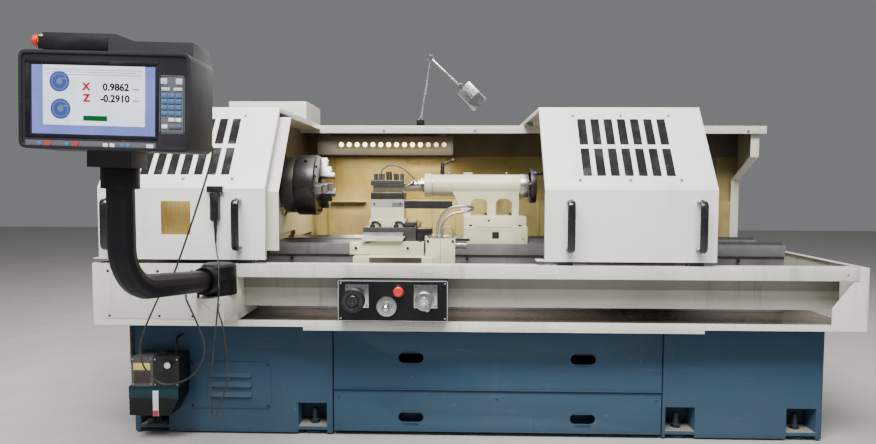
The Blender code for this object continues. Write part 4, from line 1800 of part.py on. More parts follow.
def bodies():
    body("machine")
    door_y, door_z = DOOR_FRONT, DOOR_BOTTOM
    body("left_door", (LEFT_DOOR_LEFT + DOOR_WIDTH / 2, door_y, door_z), "machine")
    body("right_door", (RIGHT_DOOR_LEFT + DOOR_WIDTH / 2, door_y, door_z), "machine")
    body("spindle", (CHUCK_LEFT, 0, SPINDLE_HEIGHT), "machine")
    for i, turn in enumerate(jaw_turns()):
        place = about_spindle(turn) @ Vector((CHUCK_FACE, 0, SPINDLE_HEIGHT + (JAW_INNER + JAW_OUTER) / 2))
        body(f"jaw_{i + 1}", tuple(place), "spindle")
    body("carriage", ((SADDLE_LEFT + SADDLE_RIGHT) / 2, 0, BED_TOP), "machine")
    wheel_y = PANEL_FRONT - DIAL_WHEEL_OUT
    body("z_handwheel", (Z_DIAL_X, wheel_y, DIAL_HEIGHT), "carriage")
    body("x_handwheel", (X_DIAL_X, wheel_y, DIAL_HEIGHT), "carriage")
    body("joystick", (STICK_X, PANEL_FRONT, STICK_HEIGHT), "carriage")
    body("stop_button", (STOP_X, PANEL_FRONT, STOP_HEIGHT), "carriage")
    body("cross_slide", (SLIDE_MIDDLE, 0, SADDLE_TOP), "carriage")
    body("tailstock", ((TAIL_LEFT + TAIL_RIGHT) / 2, 0, BED_TOP), "machine")
    body("quill", (BARREL_LEFT, 0, SPINDLE_HEIGHT), "tailstock")
    body("tailstock_wheel", (CAP_RIGHT, 0, SPINDLE_HEIGHT), "tailstock")
    body("clamp_lever", (LEVER_X, 0, SPINDLE_HEIGHT + BARREL_RADIUS), "tailstock")
    body("arm", (KNUCKLE_X, KNUCKLE_Y, BOX_TOP), "machine")
    body("arm_lock_lever", (KNUCKLE_X - KNUCKLE_RADIUS, KNUCKLE_Y, LOCK_HEIGHT), "arm")
    tilt = about("Y", PENDANT_ROLL_DEG, ARM_TOP)
    body("pendant", tuple(tilt @ Vector((ARM_TOP_X, ARM_TOP_Y, PENDANT_BOTTOM))), "arm")
    x, _ = pendant_outline()
    _, y, z = estop_axis()
    body("e_stop", tuple(tilt @ Vector((x[0] + HUMP_LEFT_INSET, y, z))), "pendant")
    body("lamp_lower_arm", (LAMP_X, LAMP_Y, LAMP_FOOT), "machine")
    body("lamp_upper_arm", (LAMP_ELBOW[0], KNEE_Y, LAMP_ELBOW[1]), "lamp_lower_arm")
    body("lamp_head", (LAMP_KNEE[0], KNEE_Y - 2 * LAMP_JOINT_HALF, LAMP_KNEE[1]), "lamp_upper_arm")
    bay = (LEFT_PEDESTAL_BAY + RIGHT_PEDESTAL_BAY) / 2
    body("chip_drawer", (bay, BASE_FRONT, DRAWER_BOTTOM), "machine")
    body("coolant_tank", (bay, BASE_FRONT, 0), "machine")


def centre_on_floor():
    """Moves the whole machine so that the middle of its box, cords apart, is over the origin."""
    bpy.context.view_layer.update()
    low, high = Vector((math.inf,) * 3), Vector((-math.inf,) * 3)
    for obj in bpy.data.objects:
        if obj.type != "MESH" or obj.name in CORDS:
            continue
        for vertex in obj.data.vertices:
            place = obj.matrix_world @ vertex.co
            low = Vector(map(min, low, place))
            high = Vector(map(max, high, place))
    machine, _ = PLACES["machine"]
    machine.location = (-(low.x + high.x) / 2, -(low.y + high.y) / 2, -low.z)
    bpy.context.view_layer.update()


PIECES = (
    pedestals, louvre_panel, chip_drawer, coolant_tank,
    tray_floor, tray_left_end, tray_right_end, tray_front_rail,
    bed, lead_screw, headstock, spindle, chuck_body, jaws,
    doors, handset, headstock_guard, guard_roof, rear_guard_panel, guard_right_end,
    roof_box, electrical_cabinet, work_light_bar,
    saddle, apron, control_panel, handwheels, joystick, stop_button,
    cross_slide, riser, tool_post,
    tailstock_base, tailstock_body, quill, tailstock_handwheel, clamp_lever,
    arm_support_box, arm_bracket, arm_tube, arm_lock_lever, pendant_housing, e_stop,
    lamp_base, lamp_lower_arm, lamp_upper_arm, lamp_head, lube_unit, cords,
)


def main():
    clear_scene()
    make_materials()
    bodies()
    for piece in PIECES:
        piece()
    centre_on_floor()


main()
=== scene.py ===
"""The looks of a flat-bed turning lathe with two sliding hoods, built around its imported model."""

import functools
import itertools
import json
import math

import bmesh
import bpy
from mathutils import Matrix, Vector
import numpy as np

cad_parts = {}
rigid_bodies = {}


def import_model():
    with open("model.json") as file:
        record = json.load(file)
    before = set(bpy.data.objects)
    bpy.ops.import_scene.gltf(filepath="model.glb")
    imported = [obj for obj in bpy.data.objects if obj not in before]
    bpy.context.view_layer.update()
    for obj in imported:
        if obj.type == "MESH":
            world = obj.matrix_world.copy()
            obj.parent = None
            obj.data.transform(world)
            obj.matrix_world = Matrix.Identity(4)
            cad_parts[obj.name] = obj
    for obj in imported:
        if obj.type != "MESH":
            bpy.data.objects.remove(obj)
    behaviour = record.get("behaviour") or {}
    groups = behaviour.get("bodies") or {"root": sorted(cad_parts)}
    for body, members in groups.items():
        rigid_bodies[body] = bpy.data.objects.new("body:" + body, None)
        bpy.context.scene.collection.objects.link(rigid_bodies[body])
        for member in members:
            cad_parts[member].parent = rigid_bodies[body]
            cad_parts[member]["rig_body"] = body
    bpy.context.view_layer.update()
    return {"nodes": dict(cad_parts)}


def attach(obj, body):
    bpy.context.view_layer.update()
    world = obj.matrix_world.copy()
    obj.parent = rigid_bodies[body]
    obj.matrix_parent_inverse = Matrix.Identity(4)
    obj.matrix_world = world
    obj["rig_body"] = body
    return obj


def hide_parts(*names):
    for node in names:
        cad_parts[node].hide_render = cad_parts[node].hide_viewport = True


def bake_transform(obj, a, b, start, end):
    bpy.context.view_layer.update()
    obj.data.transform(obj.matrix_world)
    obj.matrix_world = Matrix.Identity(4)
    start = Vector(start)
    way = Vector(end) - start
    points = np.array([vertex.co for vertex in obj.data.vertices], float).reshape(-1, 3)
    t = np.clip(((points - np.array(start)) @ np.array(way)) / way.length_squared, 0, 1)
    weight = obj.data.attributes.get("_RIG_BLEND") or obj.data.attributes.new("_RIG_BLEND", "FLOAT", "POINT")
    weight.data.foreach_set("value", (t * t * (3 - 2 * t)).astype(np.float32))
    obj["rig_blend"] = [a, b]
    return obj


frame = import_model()

# Places are in metres and in the frame of the machine's source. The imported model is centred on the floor,
# so they move back by this much
SHIFT = Vector((0.0, 0.185, 0.0))
PICTURE_WIDTH, FOCAL_PIXELS, SENSOR = 876, 658.0, 36.0
CAMERA_PLACE = (-0.087, -3.265, 1.175)
YAW, PITCH, ROLL = math.radians(1.5), math.radians(3.3), math.radians(0.2)
SPINDLE_HEIGHT = 1.168
FRONT, BACK, UP, RIGHT = (0, -1, 0), (0, 1, 0), (0, 0, 1), (1, 0, 0)


def photo_camera():
    """The place and angle from which the machine was photographed."""
    ahead = Vector((-math.sin(YAW) * math.cos(PITCH), math.cos(YAW) * math.cos(PITCH), -math.sin(PITCH)))
    level = Vector((math.cos(YAW), math.sin(YAW), 0.0))
    above = level.cross(ahead)
    right = level * math.cos(ROLL) + above * math.sin(ROLL)
    up = above * math.cos(ROLL) - level * math.sin(ROLL)
    data = bpy.data.cameras.new("photo_camera")
    data.sensor_width = SENSOR
    data.lens = FOCAL_PIXELS * SENSOR / PICTURE_WIDTH
    data.clip_end = 60.0
    camera = bpy.data.objects.new("photo_camera", data)
    turn = Matrix((right, up, -ahead)).transposed().to_4x4()
    camera.matrix_world = Matrix.Translation(CAMERA_PLACE) @ turn
    bpy.context.scene.collection.objects.link(camera)
    bpy.context.scene.camera = camera


# ---- Node trees ----


class Graph:
    """A node tree that is being wired. An index gives one of the sockets that come into it."""

    def __init__(self, tree, given=None, result=None):
        self.tree, self.given, self.result = tree, given, result

    def __getitem__(self, socket):
        return self.given[socket]

    def wire(self, sockets, **values):
        """Links or sets each named socket, where in_2 means the third one."""
        for key, value in values.items():
            socket = sockets[int(key[3:]) if key.startswith("in_") else key.replace("_", " ")]
            if isinstance(value, bpy.types.NodeSocket):
                self.tree.links.new(value, socket)
            else:
                socket.default_value = value

    def give(self, **values):
        self.wire(self.result, **values)

    def node(self, kind, settings=None, **inputs):
        made = self.tree.nodes.new(kind)
        for key, value in (settings or {}).items():
            setattr(made, key, value)
        self.wire(made.inputs, **inputs)
        return made

    def put(self, kind, settings=None, **inputs):
        """The first output of a new node."""
        return self.node(kind, settings, **inputs).outputs[0]

    def math(self, operation, a, b, clamp=False):
        return self.put("ShaderNodeMath", {"operation": operation, "use_clamp": clamp}, in_0=a, in_1=b)

    def times(self, a, b):
        return self.math("MULTIPLY", a, b)

    def plus(self, a, b, clamp=False):
        return self.math("ADD", a, b, clamp)

    def ramp(self, value, low, high, to_low=0.0, to_high=1.0):
        return self.put("ShaderNodeMapRange", {"interpolation_type": "SMOOTHSTEP"}, Value=value, in_1=low,
                        in_2=high, in_3=to_low, in_4=to_high)

    def mix(self, share, a, b, mode="MIX"):
        settings = {"data_type": "RGBA", "blend_type": mode}
        return self.node("ShaderNodeMix", settings, in_0=share, in_6=a, in_7=b).outputs[2]

    def grey(self, level):
        return self.put("ShaderNodeCombineColor", in_0=level, in_1=level, in_2=level)

    def stretched(self, stretch=(1, 1, 1), turn=(0.0, 0.0, 0.0)):
        """Object coordinates, turned and stretched."""
        coordinates = self.node("ShaderNodeTexCoord").outputs["Object"]
        return self.put("ShaderNodeMapping", Vector=coordinates, Scale=stretch, Rotation=turn)

    def noise(self, vector, scale, detail=3.0, rough=0.5, twist=0.0):
        return self.put("ShaderNodeTexNoise", Vector=vector, Scale=scale, Detail=detail, Roughness=rough,
                        Distortion=twist)

    def relief(self, height, strength, metres):
        return self.put("ShaderNodeBump", Height=height, Strength=strength, Distance=metres)

    def solid(self, points, shape, **inputs):
        """The shape stood on each point, made real."""
        stood = self.put("GeometryNodeInstanceOnPoints", Points=points, Instance=shape, **inputs)
        return self.put("GeometryNodeRealizeInstances", Geometry=stood)

    def finished(self, geometry, material, **inputs):
        return self.put("GeometryNodeSetMaterial", Geometry=geometry, Material=material, **inputs)


def socket_kind(value):
    """The kind of socket that a default value belongs to, or that is named. None is a material."""
    if isinstance(value, str):
        return value
    if isinstance(value, tuple):
        return "Color" if len(value) == 4 else "Vector"
    return {type(None): "Material", int: "Int", float: "Float"}[type(value)]


def new_graph(name, kind, inputs, outputs):
    """A node group with its named sockets."""
    tree = bpy.data.node_groups.new(name, kind)
    for way, sockets in (("INPUT", inputs), ("OUTPUT", outputs)):
        for socket, value in sockets.items():
            made = tree.interface.new_socket(socket, in_out=way,
                                             socket_type="NodeSocket" + socket_kind(value))
            if value is not None and not isinstance(value, str):
                made.default_value = value
    return Graph(tree, tree.nodes.new("NodeGroupInput").outputs, tree.nodes.new("NodeGroupOutput").inputs)


def surface_graph(name, inputs):
    return new_graph(name, "ShaderNodeTree", inputs,
                     {"Color": "Color", "Roughness": "Float", "Height": "Float"})


def paint_wear_graph():
    """Shop paint: cloudy tone, runs of oil and coolant, scuffs, chips to the primer, and a floor tone: dirt,
    and on the base painted light.
    """
    g = surface_graph("paint wear", {
        "Paint": (1, 1, 1, 1), "Dirt": (0.1, 0.09, 0.07, 1), "Primer": (0.3, 0.3, 0.3, 1), "Clouds": 0.1,
        "Runs": 0.1, "Scuffs": 0.1, "Chips": 0.1, "Floor Dirt": 0.0, "Roughness": 0.4})
    plain = g.stretched()
    clouds = g.ramp(g.noise(plain, 2.3, 6.0, 0.6), 0.35, 0.7)
    runs = g.noise(g.stretched((13.0, 13.0, 0.9)), 1.6, 5.0, 0.65, 0.4)
    patches = g.noise(g.stretched((1.6, 1.6, 0.8), (0, 0, 0.4)), 1.9, 3.0)
    runs = g.times(g.ramp(runs, 0.5, 0.74), g.ramp(patches, 0.42, 0.66))
    scuff = g.noise(g.stretched((2.2, 2.2, 34.0), (0, 0.5, 0)), 3.1, 4.0, 0.6)
    cross_scuff = g.noise(g.stretched((30.0, 30.0, 2.0), (0, -0.35, 0)), 2.3, 4.0, 0.6)
    scuffs = g.math("MAXIMUM", g.ramp(scuff, 0.6, 0.68), g.ramp(cross_scuff, 0.62, 0.7))
    scuffs = g.times(scuffs, g.ramp(g.noise(plain, 4.7, 2.0), 0.48, 0.66))
    chips = g.noise(plain, 62.0, 2.0, 0.5)
    where = g.noise(plain, 5.5, 3.0, 0.7)
    chips = g.times(g.ramp(chips, 0.68, 0.7), g.ramp(where, 0.52, 0.62))
    height = g.node("ShaderNodeSeparateXYZ", Vector=plain).outputs[2]
    # Towards the floor the colour goes to the Dirt colour: floor dirt, and on the base, whose dirt colour is
    # lighter, painted light on its lower part
    low = g.ramp(g.plus(height, g.times(runs, -0.25)), 0.0, 0.42, 1.0, 0.0)
    low = g.times(low, g.ramp(g.noise(plain, 7.0, 5.0, 0.7), 0.25, 0.75, 0.35, 1.0))
    low = g.times(low, g["Floor Dirt"])
    colour = g.mix(g.times(clouds, g["Clouds"]), g["Paint"], g["Dirt"])
    colour = g.mix(g.times(runs, g["Runs"]), colour, g["Dirt"])
    colour = g.mix(g.times(scuffs, g["Scuffs"]), colour, g["Primer"])
    colour = g.mix(low, colour, g["Dirt"])
    colour = g.mix(g.times(chips, g["Chips"]), colour, g["Primer"])
    fine = g.noise(plain, 420.0, 2.0)
    dull = g.plus(g.times(clouds, 0.1), g.times(scuffs, 0.18))
    dull = g.plus(dull, g.times(runs, -0.08))
    dull = g.plus(dull, g.times(low, 0.25))
    rough = g.plus(g["Roughness"], dull, True)
    bump = g.math("SUBTRACT", g.times(fine, 0.35), g.times(chips, 0.8))
    g.give(Color=colour, Roughness=rough, Height=g.plus(bump, g.times(g.noise(plain, 9.0, 2.0), 1.6)))
    return g.tree


def machined_graph():
    """Cut metal: tool lines along one way, oily patches and small nicks."""
    g = surface_graph("machined metal", {
        "Metal": (0.5, 0.5, 0.5, 1), "Oil": (0.08, 0.06, 0.03, 1), "Lines": (4.0, 4.0, 300.0), "Oily": 0.2,
        "Roughness": 0.3})
    plain = g.stretched()
    lines = g.noise(g.put("ShaderNodeMapping", Vector=plain, Scale=g["Lines"]), 1.0, 3.0, 0.6)
    oil = g.ramp(g.noise(plain, 13.0, 5.0, 0.65), 0.42, 0.72)
    oil = g.times(oil, g["Oily"])
    nicks = g.ramp(g.noise(plain, 150.0, 1.0), 0.72, 0.75)
    shade = g.ramp(lines, 0.3, 0.7, 0.82, 1.08)
    colour = g.mix(oil, g.mix(1.0, g["Metal"], g.grey(shade), "MULTIPLY"), g["Oil"])
    rough = g.plus(g["Roughness"], g.times(lines, 0.14), True)
    rough = g.plus(rough, g.times(oil, 0.12), True)
    g.give(Color=colour, Roughness=rough, Height=g.math("SUBTRACT", g.times(lines, 0.7), g.times(nicks, 0.5)))
    return g.tree


def moulded_graph():
    """Moulded or rubbery skin: fine grain, handling shine and dust."""
    g = surface_graph("moulded skin", {
        "Base": (0.02, 0.02, 0.02, 1), "Dust": (0.3, 0.29, 0.27, 1), "Dusty": 0.15, "Grain": 700.0,
        "Roughness": 0.45})
    plain = g.stretched()
    grain = g.noise(plain, g["Grain"], 2.0)
    dust = g.ramp(g.noise(plain, 18.0, 6.0, 0.7), 0.45, 0.8)
    colour = g.mix(g.times(dust, g["Dusty"]), g["Base"], g["Dust"])
    worn = g.ramp(g.noise(plain, 11.0, 3.0), 0.4, 0.7, -0.08, 0.08)
    rough = g.plus(g["Roughness"], worn, True)
    g.give(Color=colour, Roughness=g.plus(rough, g.times(dust, 0.12), True), Height=grain)
    return g.tree


# ---- Finishes ----

PAINT_WEAR, MACHINED, MOULDED = paint_wear_graph(), machined_graph(), moulded_graph()
FINISHES = {}


def rgba(colour):
    return (*colour, 1.0)


def new_finish(name):
    """A material to be wired, and the sockets of its shader."""
    made = bpy.data.materials.new(name)
    made.use_nodes = True
    FINISHES[name] = made
    return Graph(made.node_tree), made.node_tree.nodes["Principled BSDF"].inputs


def surface(name, tree, values, bump, bump_metres, **shader_values):
    """A finish whose colour, roughness and bump come from one of the node groups."""
    g, shader = new_finish(name)
    skin = g.node("ShaderNodeGroup", {"node_tree": tree}, **values).outputs
    g.wire(shader, Base_Color=skin["Color"], Roughness=skin["Roughness"],
           Normal=g.relief(skin["Height"], bump, bump_metres), **shader_values)


def painted(name, paint, dirt, clouds, runs, scuffs, chips, floor_dirt_and_light, rough, primer=(0.2, 0.2, 0.19),
            coat=0.15, shine=0.5):
    values = {"Paint": rgba(paint), "Dirt": rgba(dirt), "Primer": rgba(primer), "Clouds": clouds,
              "Runs": runs, "Scuffs": scuffs, "Chips": chips, "Floor Dirt": floor_dirt_and_light, "Roughness": rough}
    surface(name, PAINT_WEAR, values, 0.3, 0.0006, Coat_Weight=coat, Coat_Roughness=0.25,
            Specular_IOR_Level=shine)


def cut_metal(name, metal, lines, oily, rough, metallic=1.0):
    values = {"Metal": rgba(metal), "Oil": (0.07, 0.05, 0.03, 1.0), "Lines": lines, "Oily": oily,
              "Roughness": rough}
    surface(name, MACHINED, values, 0.5, 0.00012, Metallic=metallic)


def moulded(name, base, dusty, grain, rough, **more):
    values = {"Base": rgba(base), "Dust": (0.28, 0.27, 0.25, 1.0), "Dusty": dusty, "Grain": grain,
              "Roughness": rough}
    surface(name, MOULDED, values, 0.35, 0.0003, **more)


def lit(name, colour, strength, pixels=900.0):
    """A glowing face, dimmer between its rows of dots and a little uneven across it."""
    g, shader = new_finish(name)
    plain = g.stretched()
    dots = g.put("ShaderNodeTexWave", {"bands_direction": "Z"}, Vector=plain, Scale=pixels / 6.0)
    uneven = g.ramp(g.noise(plain, 9.0, 3.0), 0.3, 0.7, 0.9, 1.04)
    level = g.times(uneven, g.ramp(dots, 0.0, 1.0, 0.92, 1.0))
    g.wire(shader, Emission_Color=g.mix(1.0, rgba(colour), g.grey(level), "MULTIPLY"),
           Emission_Strength=strength, Base_Color=rgba([c * 0.02 for c in colour]),
           Specular_IOR_Level=0.2, Roughness=0.35)


def braided(name, colour, rough, metallic):
    """Crossed strands, drawn along the cord's own UVs."""
    g, shader = new_finish(name)
    split = g.node("ShaderNodeSeparateXYZ", Vector=g.put("ShaderNodeUVMap", {"uv_map": "UVMap"})).outputs
    strands = []
    for sign in (1.0, -1.0):
        phase = g.plus(g.times(split[0], 160.0 * sign), g.times(split[1], 8.0))
        strands.append(g.math("PINGPONG", phase, 0.5))
    weave = g.times(g.math("MAXIMUM", *strands), 2.0)
    shade = g.ramp(weave, 0.3, 1.0)
    g.wire(shader, Base_Color=g.mix(shade, rgba([c * 0.25 for c in colour]), rgba(colour)),
           Roughness=g.ramp(weave, 0.3, 1.0, rough + 0.25, rough), Normal=g.relief(weave, 0.6, 0.0005),
           Metallic=metallic)


# Paint, dirt, then how strong are clouds, runs, scuffs, chips and the floor tone (floor dirt, and on the base
# painted light), the roughness, and where they differ from the usual ones the primer, the coat and the shine
PAINTS = {
    "hood_enamel": ((0.74, 0.735, 0.7), (0.24, 0.22, 0.18), 0.07, 0.14, 0.18, 0.35, 0.0, 0.34),
    "cream_enamel": ((0.64, 0.62, 0.54), (0.17, 0.15, 0.11), 0.16, 0.32, 0.3, 0.6, 0.0, 0.38),
    "tray_enamel": ((0.66, 0.65, 0.59), (0.12, 0.11, 0.085), 0.22, 0.42, 0.4, 0.6, 0.0, 0.34),
    # Darker copies of the tray enamel: painted shade on the rail's set-back web, darkest in the strip just
    # under the top rail
    "web_shade_enamel": ((0.4, 0.39, 0.345), (0.1, 0.09, 0.07), 0.3, 0.5, 0.4, 0.6, 0.0, 0.36),
    "shaded_enamel": ((0.21, 0.2, 0.175), (0.06, 0.053, 0.042), 0.3, 0.5, 0.3, 0.4, 0.0, 0.4),
    # Dark brown: oil on the tray floor, darkened further as painted shade; also a plate of painted shade in
    # the gap under the saddle
    "oil_and_shade_tray": ((0.115, 0.085, 0.058), (0.018, 0.015, 0.012), 0.8, 0.6, 0.2, 0.3, 0.0, 0.26),
    "dusty_paint": ((0.15, 0.14, 0.125), (0.28, 0.26, 0.23), 0.7, 0.3, 0.2, 0.5, 0.0, 0.75),
    "splash_enamel": ((0.42, 0.345, 0.125), (0.075, 0.048, 0.02), 0.62, 1.0, 0.3, 0.5, 0.0, 0.3),
    # Dark brown enamel: painted shade on the splash panel's top, the guard's end wall and the roof's
    # underside; also the light bar's housing
    "smoke_and_shade_enamel": ((0.185, 0.15, 0.105), (0.06, 0.045, 0.032), 0.6, 0.6, 0.15, 0.3, 0.0, 0.42),
    "casting_cream": ((0.66, 0.62, 0.43), (0.12, 0.095, 0.05), 0.22, 0.45, 0.25, 0.5, 0.0, 0.36),
    "plate_grey": ((0.34, 0.34, 0.33), (0.1, 0.09, 0.08), 0.25, 0.3, 0.3, 0.4, 0.0, 0.36),
    # The base's dirt colour is a lighter cyan-blue: near the floor it is painted light on the lower part of
    # the base, elsewhere dirt
    "base_blue": ((0.023, 0.063, 0.112), (0.045, 0.072, 0.098), 0.35, 0.5, 0.2, 0.3, 0.6, 0.42,
                  (0.18, 0.24, 0.28), 0.0, 0.25),
    "black_powder_coat": ((0.004, 0.0036, 0.005), (0.016, 0.014, 0.014), 0.3, 0.25, 0.15, 0.4, 0.0, 0.42,
                          (0.08, 0.08, 0.08), 0.0, 0.2),
    "pendant_grey": ((0.012, 0.011, 0.015), (0.04, 0.037, 0.035), 0.25, 0.15, 0.12, 0.3, 0.0, 0.46,
                     (0.12, 0.12, 0.12), 0.0, 0.22),
    "yellow_enamel": ((0.72, 0.5, 0.03), (0.12, 0.09, 0.04), 0.2, 0.3, 0.3, 0.7, 0.0, 0.4),
    "bed_grey": ((0.19, 0.19, 0.19), (0.04, 0.035, 0.03), 0.6, 0.7, 0.35, 0.4, 0.0, 0.3, (0.4, 0.4, 0.4)),
    "lube_grey": ((0.07, 0.06, 0.06), (0.05, 0.042, 0.038), 0.3, 0.4, 0.3, 0.5, 0.0, 0.4),
}
# Metal, how close the tool lines are along X, Y and Z, how oily, the roughness, and a part-metal's share
METALS = {
    "ground_steel": ((0.6, 0.6, 0.59), (260.0, 260.0, 260.0), 0.12, 0.16),
    "jaw_steel": ((0.3, 0.29, 0.31), (260.0, 260.0, 260.0), 0.3, 0.3),
    "way_steel": ((0.42, 0.42, 0.41), (9.0, 340.0, 9.0), 0.55, 0.22),
    "milled_steel": ((0.44, 0.445, 0.45), (220.0, 12.0, 220.0), 0.35, 0.3),
    "beige_metal": ((0.3, 0.255, 0.19), (90.0, 90.0, 240.0), 0.55, 0.34),
    "post_steel": ((0.17, 0.165, 0.16), (90.0, 90.0, 200.0), 0.5, 0.3),
    "brown_steel": ((0.1, 0.085, 0.072), (90.0, 90.0, 200.0), 0.5, 0.34),
    "brown_reflector": ((0.2, 0.15, 0.06), (60.0, 60.0, 60.0), 0.3, 0.3, 0.6),
    "turned_steel": ((0.5, 0.5, 0.505), (420.0, 7.0, 7.0), 0.25, 0.24),
    "bright_chrome": ((0.78, 0.78, 0.79), (40.0, 40.0, 40.0), 0.08, 0.07),
    "oiled_iron": ((0.115, 0.112, 0.11), (90.0, 90.0, 90.0), 0.45, 0.34, 0.85),
    "chuck_iron": ((0.07, 0.067, 0.072), (500.0, 9.0, 9.0), 0.6, 0.26, 0.85),
    "black_oxide": ((0.03, 0.03, 0.032), (60.0, 60.0, 60.0), 0.25, 0.36, 0.6),
    "bolt_black": ((0.085, 0.085, 0.095), (90.0, 90.0, 300.0), 0.3, 0.3, 0.9),
    "zinc_screw": ((0.4, 0.4, 0.38), (300.0, 300.0, 300.0), 0.35, 0.34),
    "brass_plate": ((0.62, 0.42, 0.13), (320.0, 20.0, 9.0), 0.25, 0.34),
}
# Colour, how dusty, the fineness of the grain, and the roughness
PLAINLY_MOULDED = {
    "rubber_jacket": ((0.016, 0.016, 0.017), 0.22, 800.0, 0.48),
    "coolant_hose": ((0.012, 0.055, 0.05), 0.1, 400.0, 0.28),
    "bellows_rubber": ((0.01, 0.01, 0.01), 0.3, 260.0, 0.55),
    "key_blue": ((0.05, 0.12, 0.26), 0.1, 900.0, 0.34),
    "key_light": ((0.42, 0.44, 0.46), 0.14, 900.0, 0.36),
    "key_white": ((0.66, 0.67, 0.68), 0.12, 900.0, 0.34),
    "key_red": ((0.44, 0.03, 0.03), 0.08, 900.0, 0.32),
    "key_frame": ((0.085, 0.09, 0.105), 0.12, 900.0, 0.36),
    "label_yellow": ((0.58, 0.5, 0.12), 0.25, 200.0, 0.42),
}
# Colour, strength, and dots to the metre where it isn't the screen
LIT = {
    "screen_white": ((0.8, 0.87, 1.0), 1.9),
    "screen_lavender": ((0.25, 0.3, 0.88), 1.15),
    "screen_dial": ((0.1, 0.19, 0.72), 0.75),
    "screen_grey": ((0.34, 0.4, 0.62), 0.8),
    "screen_ink": ((0.006, 0.008, 0.03), 0.3),
    "screen_red": ((0.8, 0.012, 0.03), 0.8),
    "screen_green": ((0.002, 0.22, 0.05), 0.7),
    "warm_led": ((1.0, 0.88, 0.6), 7.0, 300.0),
    "dim_led": ((1.0, 0.82, 0.5), 2.5, 300.0),
}


def make_finishes():
    for make, table in ((painted, PAINTS), (cut_metal, METALS), (moulded, PLAINLY_MOULDED), (lit, LIT)):
        for name, values in table.items():
            make(name, *values)
    braided("braided_sleeve", (0.62, 0.62, 0.6), 0.28, 0.9)
    moulded("black_moulding", (0.007, 0.007, 0.008), 0.06, 900.0, 0.4, Specular_IOR_Level=0.35)
    moulded("handle_moulding", (0.008, 0.008, 0.009), 0.04, 700.0, 0.26, Coat_Weight=0.3, Coat_Roughness=0.2)
    moulded("screen_bezel", (0.006, 0.0055, 0.008), 0.03, 1100.0, 0.45, Specular_IOR_Level=0.25)
    moulded("red_moulding", (0.6, 0.012, 0.012), 0.06, 500.0, 0.26, Coat_Weight=0.4, Coat_Roughness=0.15)
    moulded("green_tank", (0.0015, 0.006, 0.005), 0.04, 300.0, 0.3, Specular_IOR_Level=0.25)
    moulded("teal_band", (0.002, 0.026, 0.03), 0.04, 300.0, 0.26, Specular_IOR_Level=0.3)
    moulded("smoked_sheet", (0.014, 0.013, 0.014), 0.06, 60.0, 0.16, Coat_Weight=0.25, Coat_Roughness=0.05,
            Alpha=0.95)


# ---- Making pieces ----


def rounded_smooth(mesh, degrees):
    mesh.shade_smooth()
    mesh.set_sharp_from_angle(angle=math.radians(degrees))


def show(name, mesh, body, finishes=(), smooth=0, replaced=None):
    """An object of this mesh on a body, or blended between the two bodies that a tuple names."""
    if smooth:
        rounded_smooth(mesh, smooth)
    for finish in finishes:
        mesh.materials.append(FINISHES[finish])
    made = bpy.data.objects.new(name, mesh)
    bpy.context.scene.collection.objects.link(made)
    if isinstance(body, str):
        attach(made, body)
    else:
        first, second, start, end = body
        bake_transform(made, first, second, start=Vector(start) + SHIFT, end=Vector(end) + SHIFT)
    if replaced:
        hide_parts(replaced)
    return made


def as_mesh(name, shape):
    mesh = bpy.data.meshes.new(name)
    shape.to_mesh(mesh)
    shape.free()
    return mesh


def piece_of(name, shape, finish, body, smooth=32.0):
    """A finished piece from a bmesh in the machine's own frame."""
    bmesh.ops.translate(shape, verts=shape.verts, vec=SHIFT)
    show(name, as_mesh(name, shape), body, [finish], smooth)


def add_box(shape, limits, soften=0.0, turn=None, about=(0.0, 0.0, 0.0)):
    """A box between its limits along X, Y and Z, its edges rounded, and turned about a point if asked."""
    pairs = list(zip(limits[::2], limits[1::2]))
    made = bmesh.ops.create_cube(shape, size=1.0)["verts"]
    bmesh.ops.scale(shape, vec=[high - low for low, high in pairs], verts=made)
    bmesh.ops.translate(shape, vec=[(low + high) / 2 for low, high in pairs], verts=made)
    if soften:
        edges = list({edge for vert in made for edge in vert.link_edges})
        result = bmesh.ops.bevel(shape, geom=edges, offset=soften, segments=2, profile=0.5, affect="EDGES")
        fresh = {vert for face in result["faces"] for vert in face.verts}
        made = list(fresh | {vert for vert in made if vert.is_valid})
    if turn is not None:
        bmesh.ops.rotate(shape, cent=about, matrix=turn, verts=made)


def axis_frame(axis):
    """The axis, and two directions square to it."""
    ahead = Vector(axis).normalized()
    side = Vector((0, 0, 1)) if abs(ahead.z) < 0.9 else Vector((1, 0, 0))
    one = ahead.cross(side).normalized()
    return ahead, one, ahead.cross(one)


def ring_of(shape, centre, one, two, radius, steps):
    angles = [2 * math.pi * k / steps for k in range(steps)]
    return [shape.verts.new(centre + (one * math.cos(a) + two * math.sin(a)) * radius) for a in angles]


def closed(*pairs):
    """A profile that begins and ends on the axis."""
    return [(pairs[0][0], 0), *pairs, (pairs[-1][0], 0)]


def looped(*pairs):
    """A profile that goes round to where it began."""
    return [*pairs, pairs[0]]


def add_turned(shape, at, axis, profile, steps):
    """Turns (distance along the axis, radius) pairs about the axis. A radius of zero closes an end."""
    ahead, one, two = axis_frame(axis)
    rings = []
    for along, radius in profile:
        centre = Vector(at) + ahead * along
        if radius > 0:
            rings.append(ring_of(shape, centre, one, two, radius, steps))
        else:
            rings.append([shape.verts.new(centre)])
    for a, b in zip(rings, rings[1:]):
        for k in range(steps):
            corner = [a[k % len(a)], a[(k + 1) % len(a)], b[(k + 1) % len(b)], b[k % len(b)]]
            unique = list(dict.fromkeys(corner))
            if len(unique) > 2:
                shape.faces.new(unique)
    bmesh.ops.recalc_face_normals(shape, faces=shape.faces)


